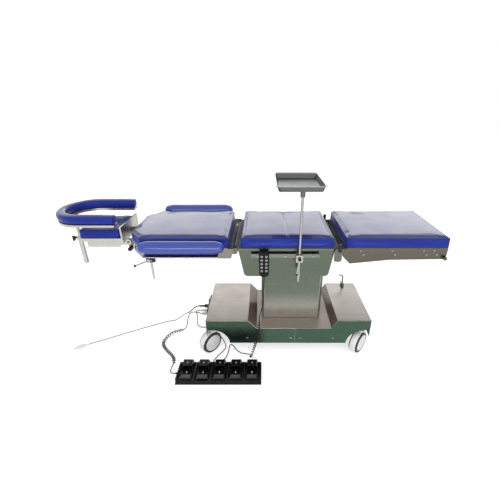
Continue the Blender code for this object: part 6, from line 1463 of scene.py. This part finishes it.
@dataclass
class Base:
    """Steel covers over the chassis, with their screws, and the panel at the head end."""

    skirt: float = 0.235
    screw_height: float = 0.143
    screw_places: tuple[float, ...] = (-0.296, -0.001, 0.061, 0.281)
    plugs: tuple[float, ...] = (-0.042, -0.078)
    plug_height: float = 0.230
    plug_reach: float = 0.0125
    panel_face: float = -0.59
    inlet_height: float = 0.238
    inlet_reach: float = 0.020
    box_low: float = 0.26
    flat: float = 0.9
    steep: float = 0.2

    def build(self, shop: Workshop, screws: Screws) -> None:
        """Dress the base.

        Args:
            shop: The workshop.
            screws: Screws with sockets.
        """
        # The cover's faces take their finish by which way they face: painted light on the top, the slope and
        # the deck, painted shade on the sides, and a painted highlight on the rounded edges.
        areas = [
            (STEEL_SLOPE_PAINTED_LIGHT, lambda middle, normal: self.steep < normal.z < self.flat),
            (STEEL_TOP_PAINTED_LIGHT, lambda middle, normal: normal.z > self.flat and middle.z > self.box_low),
            (STEEL_DECK_PAINTED_LIGHT, lambda middle, normal: normal.z > self.flat and middle.z < self.box_low),
        ]
        for node in ("base_cover_left", "base_cover_right"):
            shop.dress(node, node + "_sheet", STEEL_SIDE_PAINTED_SHADE, 0.0028, 3, areas, STEEL_EDGE_HIGHLIGHT)
        for node in ("chassis", "hydraulic_unit"):
            shop.dress(node, node + "_paint", DARK_PAINT)
        areas = [(BLACK, self.on_inlet), (STEEL_PALE, self.on_plug)]
        shop.dress("socket_panel", "socket_panel_plate", MAROON, 0.0006, 2, areas)
        shop.dress("power_switch", "switch_rocker", MAROON, 0.0006)
        shop.dress("brake_lever", "brake_hook", CHROME, 0.0008, 3)
        spots = Screws.sides_of(self.skirt - 0.0004, [(x, self.screw_height) for x in self.screw_places])
        screws.row(shop, "skirt_screws", "base", spots, radius=0.0052, height=0.0026)

    def on_inlet(self, middle: Vector, normal: Vector) -> bool:
        """Whether a face of the panel is on the mains inlet."""
        near = math.hypot(middle.y, middle.z - self.inlet_height) < self.inlet_reach
        return middle.x < self.panel_face and near

    def on_plug(self, middle: Vector, normal: Vector) -> bool:
        """Whether a face of the panel is on one of the round plugs."""
        reach = min(math.hypot(middle.y - y, middle.z - self.plug_height) for y in self.plugs)
        return middle.x < self.panel_face and reach < self.plug_reach


@dataclass
class Column:
    """Telescopic column, cross and hood."""

    def build(self, shop: Workshop) -> None:
        """Dress the column.

        Args:
            shop: The workshop.
        """
        # The lower cover and the foot of the shaft are painted paler as a reflection of the deck; the rounded
        # edges get a painted highlight.
        shop.dress("column_lower_cover", "column_lower_sheet", STEEL_LOWER_PAINTED_REFLECTION, 0.0022, 3, edge=STEEL_EDGE_HIGHLIGHT)
        shop.dress("column_upper_cover", "column_upper_sheet", STEEL_SHAFT_PAINTED_REFLECTION, 0.0022, 3, edge=STEEL_EDGE_HIGHLIGHT)
        shop.dress("hood", "hood_sheet", STEEL_COLUMN, 0.0022, 3)
        shop.dress("lift_ram", "lift_ram_bar", CHROME, 0.0008)
        shop.dress("tilt_cross", "tilt_cross_paint", DARK_PAINT)


@dataclass
class Sections:
    """Frames of seat, back and leg sections, rails, pole and handset."""

    rail_face: float = 0.262
    rail_middle: float = 0.778
    rail_low: float = -0.263
    rail_length: float = 0.400
    section_side: float = 0.2445
    section_top: float = 0.8213
    leg_start: float = 0.282
    leg_length: float = 0.603
    back_bolt: float = -0.669
    back_drop: float = 0.0335
    bolt: float = 0.0066
    sunk: float = 0.0002
    rail_shares: tuple[float, ...] = (0.10, 0.50, 0.90)
    leg_shares: tuple[float, ...] = (0.156, 0.463, 0.768, 0.869)
    leg_pair: tuple[tuple[float, float], ...] = ((0.0, 0.016), (0.020, 0.041))
    back_hinge: float = -0.3565
    leg_hinge: float = 0.2565
    hinge_bar: float = 0.0155
    bar_half: float = 0.205
    bar_edge: float = 0.001
    ball: float = 0.018
    gaps: tuple[tuple[float, float], ...] = ((-0.40, -0.32), (0.22, 0.30))
    gap_half: float = 0.2465
    stop_low: float = 0.8225
    stop_start: float = 0.23
    hub_drop: float = 0.055
    hub_face: float = -0.2935
    key_top: float = 0.7865
    key_pitch: float = 0.0235
    key_offset: float = 0.0135
    handset: tuple[float, float] = (-0.187, -0.2883)

    def build(self, shop: Workshop, screws: Screws, keys: Screws) -> None:
        """Dress the three sections and what hangs on them.

        Args:
            shop: The workshop.
            screws: Screws with sockets.
            keys: Round keys without.
        """
        # Faces in the gaps under and between the pads are painted near black: painted shade.
        areas = [(GAP_SHADE, self.in_shaded_gap), (BLACK, self.on_stop)]
        shop.dress("seat_frame", "seat_frame_steel", STEEL_SEAT, areas=areas)
        # The back and leg frames get a painted highlight on their rounded edges.
        for node, finish in (("back_frame", STEEL_FRAME), ("leg_frame", STEEL_LEG)):
            shop.dress(node, node + "_steel", finish, 0.0014, 3, [(GAP_SHADE, self.in_shaded_gap)], STEEL_EDGE_HIGHLIGHT)
        for label, x, z in (("head", self.back_hinge, 0.804), ("foot", self.leg_hinge, 0.8005)):
            end = [(0.0, self.bar_half), (self.hinge_bar - self.bar_edge, self.bar_half)]
            end.append((self.hinge_bar, self.bar_half - self.bar_edge))
            outline = [(radius, -along) for radius, along in end] + end[::-1]
            shape = Form.lathe(outline, (0, 1, 0), at(x, 0.0, z), 32)
            bar = shop.thing(f"hinge_bar_{label}", shape, DARK_PAINT)
            shop.hang(bar, "seat", DARK_PAINT)
        for node in ("seat_rail_front", "seat_rail_rear"):
            shop.dress(node, node + "_bar", RAIL_STEEL)
        shop.dress("pole_clamp", "pole_clamp_block", CHROME, 0.0010, 3)
        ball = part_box("pole_clamp_lever")[0].z + self.ball
        areas = [(KNOB_BLACK, lambda middle, normal: middle.z < ball), (KNOB_BLACK, self.on_pole_hub)]
        shop.dress("pole_clamp_lever", "pole_lever_rod", CHROME, 0.0006, 2, areas)
        shop.dress("tray_pole", "pole_rod", CHROME, 0.0006)
        shop.dress("handset", "handset_body", HANDSET, 0.0020, 3)
        self.fasten(shop, screws)
        spots = []
        for row in range(5):
            for offset in (-self.key_offset, self.key_offset):
                height = self.key_top - row * self.key_pitch
                spots.append((at(self.handset[0] + offset, self.handset[1] + 0.0006, height), (0, -1, 0)))
        keys.row(shop, "handset_keys", "seat", spots, radius=0.0075, height=0.0022)

    def fasten(self, shop: Workshop, screws: Screws) -> None:
        """Screws of the rails and of the back and leg frames.

        Args:
            shop: The workshop.
            screws: Screws with sockets.
        """
        rail = [(self.rail_low + self.rail_length * share, self.rail_middle) for share in self.rail_shares]
        leg = []
        for share in self.leg_shares:
            x = self.leg_start + self.leg_length * share
            leg += [(x + shift, self.section_top - drop) for shift, drop in self.leg_pair]
        back = [(self.back_bolt, self.section_top - self.back_drop)]
        for name, body, face, places, height in (
            ("rail_screws", "seat", self.rail_face, rail, 0.0044),
            ("leg_bolts", "leg", self.section_side, leg, 0.0040),
            ("back_bolts", "back", self.section_side, back, 0.0040),
        ):
            screws.row(shop, name, body, Screws.sides_of(face - self.sunk, places), self.bolt, height)

    def in_shaded_gap(self, middle: Vector, normal: Vector) -> bool:
        """Whether a face lies in the gaps between the pads or under them, where dark shade is painted.

        Args:
            middle: The face's middle, from the column's axis.
            normal: Its normal.

        Returns:
            Whether it does.
        """
        faces_up = normal.z > 0.5
        ends = abs(normal.x) > 0.7 and any(low < middle.x < high for low, high in self.gaps)
        return (faces_up or ends) and abs(middle.y) < self.gap_half

    def on_stop(self, middle: Vector, normal: Vector) -> bool:
        """Whether a face is on the stop blocks of the leg hinge."""
        return middle.z > self.stop_low and middle.x > self.stop_start

    def on_pole_hub(self, middle: Vector, normal: Vector) -> bool:
        """Whether a face is on the hub of the pole clamp's lever."""
        return middle.z > self.rail_middle - self.hub_drop and middle.y < self.hub_face


@dataclass
class Tray:
    """Pressed instrument tray with a rolled rim, on its hub and arm."""

    low: tuple[float, float] = (-0.129, -0.311)
    high: tuple[float, float] = (0.143, 0.043)
    floor: float = 1.1658
    rim: float = 1.1988
    corner: float = 0.030
    steps: int = 9
    pole: tuple[float, float] = (0.017, -0.278)
    bore: float = 0.0073
    hub: float = 0.013
    hub_low: float = 1.1358
    arm: float = 0.140

    def outline(self, inset: float, height: float) -> list[Vector]:
        """The tray's rounded plan, moved inwards, at a height.

        Args:
            inset: How far it is moved inwards.
            height: Its height.

        Returns:
            Its points.
        """
        radius = self.corner - inset * 0.75
        low_x = self.low[0] + inset + radius
        high_x = self.high[0] - inset - radius
        low_y = self.low[1] + inset + radius
        high_y = self.high[1] - inset - radius
        points = []
        for quarter, (x, y) in enumerate(((high_x, high_y), (low_x, high_y), (low_x, low_y), (high_x, low_y))):
            for step in range(self.steps + 1):
                angle = math.pi / 2 * (quarter + step / self.steps)
                points.append(at(x + radius * math.cos(angle), y + radius * math.sin(angle), height))
        return points

    def build(self, shop: Workshop) -> None:
        """The tray with its hub and arm.

        Args:
            shop: The workshop.
        """
        floor = self.floor
        rim = self.rim
        profile = [
            (0.0235, floor), (0.0200, floor + 0.0006), (0.0178, floor + 0.0030), (0.0092, rim - 0.0052),
            (0.0072, rim - 0.0042), (0.0016, rim - 0.0042), (0.0004, rim - 0.0034), (0.0, rim - 0.0021),
            (0.0005, rim - 0.0007), (0.0020, rim), (0.0075, rim), (0.0098, rim - 0.0010),
            (0.0112, rim - 0.0040), (0.0192, floor + 0.0062), (0.0216, floor + 0.0032),
            (0.0262, floor + 0.0018),
        ]
        shape = Form.loft([self.outline(inset, height) for inset, height in profile])
        hub = [
            (self.bore, self.hub_low), (self.hub - 0.001, self.hub_low), (self.hub, self.hub_low + 0.001),
            (self.hub, floor + 0.0006), (self.bore, floor + 0.0006),
        ]
        round_hub = Form.lathe(hub, (0, 0, 1), at(self.pole[0], self.pole[1], 0.0), 36)
        arm = Form.block(
            at(self.pole[0] - 0.011, self.pole[1] + self.hub - 0.001, floor - 0.006),
            at(self.pole[0] + 0.011, self.pole[1] + self.arm, floor + 0.0004), 0.0015,
        )
        made = shop.thing("tray_sheet", Form.joined([shape, round_hub, arm]), TRAY_STEEL)
        # The rim takes the paler polished steel: a painted highlight along it.
        edge = rim - 0.0045
        shop.paint(made, [(CHROME, lambda middle, normal: middle.z > edge)])
        shop.hang(made, "tray", TRAY_STEEL, "tray")


@dataclass
class Bolsters:
    """Clamps, levers and plates of the two side bolsters."""

    clamp_x: float = -0.848
    ball: float = -0.073
    knob: float = 0.0175

    def build(self, shop: Workshop) -> None:
        """Dress both sides.

        Args:
            shop: The workshop.
        """
        for name in ("front", "rear"):
            shop.dress("bolster_clamp_" + name, "bolster_block_" + name, DARK_PAINT, 0.0015, 3)
            areas = [(KNOB_BLACK, self.on_knob)]
            shop.dress("bolster_lever_" + name, "bolster_handle_" + name, CHROME, 0.0005, 2, areas)
            shop.dress("bolster_bracket_" + name, "bolster_plate_" + name, STEEL_PALE, 0.0010, 3)

    def on_knob(self, middle: Vector, normal: Vector) -> bool:
        """Whether a face is on the ball or the knob of a lever."""
        along = middle.x - self.clamp_x
        return along < self.ball or along > self.knob


@dataclass
class Head:
    """Head section and the horseshoe rest's plate."""

    def build(self, shop: Workshop) -> None:
        """Dress the head section.

        Args:
            shop: The workshop.
        """
        shop.dress("head_frame", "head_frame_steel", STEEL_PALE, 0.0009, 3)
        shop.dress("wrist_plate", "rest_plate", STEEL_PALE, 0.0012, 3)
        shop.dress("head_knob", "head_knob_grip", KNOB_BLACK, 0.0012, 3)
        shop.dress("wrist_knob", "rest_wing_knob", KNOB_BLACK, 0.0012, 3)


@dataclass
class Casters:
    """Twin-wheel casters with white hoods, pale discs and dark tyres."""

    swivels: tuple[tuple[float, float], ...] = (
        (-0.539, -0.165), (0.490, -0.165), (-0.539, 0.165), (0.490, 0.165),
    )
    turn: float = math.radians(47)
    trail: float = 0.030
    radius: float = 0.075
    inner: float = 0.0126
    outer: float = 0.0306
    disc: float = 0.0615
    cover_low: float = -0.52
    cover_inner: float = 0.0760
    cover_outer: float = 0.0790
    cover_half: float = 0.0205

    def placed(self, swivel: tuple[float, float]) -> Matrix:
        """Where a caster's own frame stands: its Y is the axle, its origin the wheels' middle.

        Args:
            swivel: Its swivel's place, from the column's axis.

        Returns:
            The frame as a matrix.
        """
        turned = Matrix.Rotation(self.turn, 4, "Z")
        place = Matrix.Translation(at(swivel[0], swivel[1], 0.0)) @ turned
        return place @ Matrix.Translation(Vector((-self.trail, 0.0, self.radius)))

    def wheel(self, sign: int) -> tuple[bmesh.types.BMesh, bmesh.types.BMesh]:
        """Tyre and disc of one wheel, on the Y axis.

        Args:
            sign: Which of the twin wheels.

        Returns:
            The tyre and the disc.
        """
        edge = self.disc - 0.0015
        tyre = [
            (edge, self.inner), (self.radius - 0.0015, self.inner), (self.radius, self.inner + 0.0015),
            (self.radius, self.outer - 0.0055), (self.radius - 0.0010, self.outer - 0.0028),
            (self.radius - 0.0035, self.outer - 0.0008), (self.radius - 0.0060, self.outer),
            (edge, self.outer - 0.0004),
        ]
        face = self.outer + 0.0004
        disc = [
            (0.0, self.inner), (edge - 0.0006, self.inner), (edge - 0.0006, face - 0.0016),
            (edge - 0.0022, face), (0.0535, face), (0.0528, face - 0.0012), (0.0512, face - 0.0012),
            (0.0504, face),
            (0.0300, face + 0.0012), (0.0165, face + 0.0014), (0.0160, face + 0.0002), (0.0148, face + 0.0002),
            (0.0143, face + 0.0014), (0.0060, face + 0.0022), (0.0, face + 0.0024),
        ]
        axis = (0, sign, 0)
        return Form.lathe(tyre, axis, (0, 0, 0), 56), Form.lathe(disc, axis, (0, 0, 0), 56)

    def cover(self) -> bmesh.types.BMesh:
        """The hood's shell over both treads.

        Returns:
            The shell, in the caster's own frame.
        """
        rings = []
        steps = 36
        for step in range(steps + 1):
            angle = self.cover_low + (math.pi - 2 * self.cover_low) * step / steps
            way = Vector((math.cos(angle), 0.0, math.sin(angle)))
            ring = []
            for reach, side in (
                (self.cover_inner, -self.cover_half), (self.cover_outer - 0.0010, -self.cover_half),
                (self.cover_outer, -self.cover_half + 0.0020), (self.cover_outer, self.cover_half - 0.0020),
                (self.cover_outer - 0.0010, self.cover_half), (self.cover_inner, self.cover_half),
            ):
                ring.append(way * reach + Vector((0.0, side, 0.0)))
            rings.append(ring)
        return Form.loft(rings)

    def build(self, shop: Workshop) -> None:
        """All four casters.

        Args:
            shop: The workshop.
        """
        for name, swivel in zip(CORNERS, self.swivels):
            place = self.placed(swivel)
            tyres = []
            discs = []
            for sign in SIDES:
                tyre, disc = self.wheel(sign)
                tyres.append(tyre)
                discs.append(disc)
            for label, shapes, finish, nodes in (
                ("tyres", tyres, TYRE, ()), ("discs", discs, DISC, ("caster_wheel_" + name,)),
            ):
                whole = Form.joined(shapes)
                bmesh.ops.transform(whole, matrix=place, verts=whole.verts[:])
                made = shop.thing(f"wheel_{label}_{name}", whole, finish)
                shop.hang(made, "wheel_" + name, finish, *nodes)
            shop.dress("caster_fork_" + name, "caster_hood_" + name, WHITE, 0.0020, 3)
            shell = self.cover()
            bmesh.ops.transform(shell, matrix=place, verts=shell.verts[:])
            shop.hang(shop.thing("caster_shell_" + name, shell, WHITE), "fork_" + name, WHITE)


@dataclass
class FootSwitch:
    """Foot switch with five hooded pedals, ridges and plain arrow marks."""

    first: float = -0.6815
    pitch: float = 0.1045
    pedal_y: float = -0.421
    ridge_y: float = -0.464
    hood_y: float = -0.372
    ridge_step: Spot = (0.0, 0.0052, 0.0)
    pedal_mark: float = 0.0095
    hood_mark: float = 0.0080

    def arrow(self, spot: Vector, normal: Vector, turn: float, size: float) -> bmesh.types.BMesh:
        """A thin raised arrow on a surface.

        Args:
            spot: Its middle.
            normal: The surface's normal.
            turn: Its turn on the surface.
            size: Half its length.

        Returns:
            The solid.
        """
        outline = [
            (-0.16, -1.0), (0.16, -1.0), (0.16, 0.05), (0.62, 0.05), (0.0, 1.0), (-0.62, 0.05), (-0.16, 0.05),
        ]
        side = Vector((1, 0, 0))
        ahead = normal.cross(side).normalized()
        side = ahead.cross(normal).normalized()
        rings = []
        for lift in (-0.0004, 0.0003):
            ring = []
            for u, v in outline:
                across = u * math.cos(turn) - v * math.sin(turn)
                along = u * math.sin(turn) + v * math.cos(turn)
                ring.append(spot + side * across * size + ahead * along * size + normal * lift)
            rings.append(ring)
        return Form.loft(rings)

    def build(self, shop: Workshop, ridges: Ridges) -> None:
        """The foot switch.

        Args:
            shop: The workshop.
            ridges: The ridges.
        """
        # Rounded edges of the case and the pedals take the paler black, a painted highlight.
        shop.dress("footswitch_base", "footswitch_case", BLACK, 0.0012, 3, edge=BLACK_EDGE_HIGHLIGHT)
        for bay in range(5):
            pedal = f"pedal_{bay + 1}"
            x = self.first + bay * self.pitch
            shop.dress(pedal, pedal + "_plate", BLACK, 0.0010, 3, edge=BLACK_EDGE_HIGHLIGHT)
            start, _ = shop.seat_of(pedal, x, self.ridge_y)
            name = pedal + "_ridges"
            # The ridges are all in the paler black, a painted highlight along their tops.
            ridges.lay(shop, name, pedal, BLACK_EDGE_HIGHLIGHT, start, self.ridge_step, 5, 0.060, 0.0011)
            for name, node, body, y, size in (
                (pedal + "_mark", pedal, pedal, self.pedal_y, self.pedal_mark),
                (f"hood_mark_{bay + 1}", "footswitch_base", "base", self.hood_y, self.hood_mark),
            ):
                spot, normal = shop.seat_of(node, x, y)
                arrow = self.arrow(spot, normal, math.pi * (bay % 2), size)
                shop.hang(shop.thing(name, arrow, MARK), body, MARK)


def main() -> None:
    """Build the whole table."""
    logging.basicConfig(level=logging.INFO, format="%(relativeCreated)d %(name)s: %(message)s")
    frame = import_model()
    scene = bpy.context.scene
    scene.view_settings.view_transform = "Standard"
    shop = Workshop(frame)
    Studio().build()
    Cords().build(shop)
    screws = Screws()
    keys = Screws(socket_share=0.0, finish=KEY)
    Base().build(shop, screws)
    Column().build(shop)
    Sections().build(shop, screws, keys)
    Tray().build(shop)
    Bolsters().build(shop)
    Head().build(shop)
    Casters().build(shop)
    FootSwitch().build(shop, Ridges())
    Pad.make(shop, "seat_cushion", "seat_pad", VINYL, crease=SHIFT.x - 0.05)
    for section in ("back", "leg", "head"):
        Pad.make(shop, section + "_cushion", section + "_pad", VINYL)
    Pad.make(shop, "wrist_pad", "wrist_pad_cover", VINYL)
    for side in ("front", "rear"):
        Pad.make(shop, "bolster_pad_" + side, f"bolster_{side}_cover", BOLSTER_VINYL, 0.003, fill=0.9)


if __name__ == "__main__":
    main()
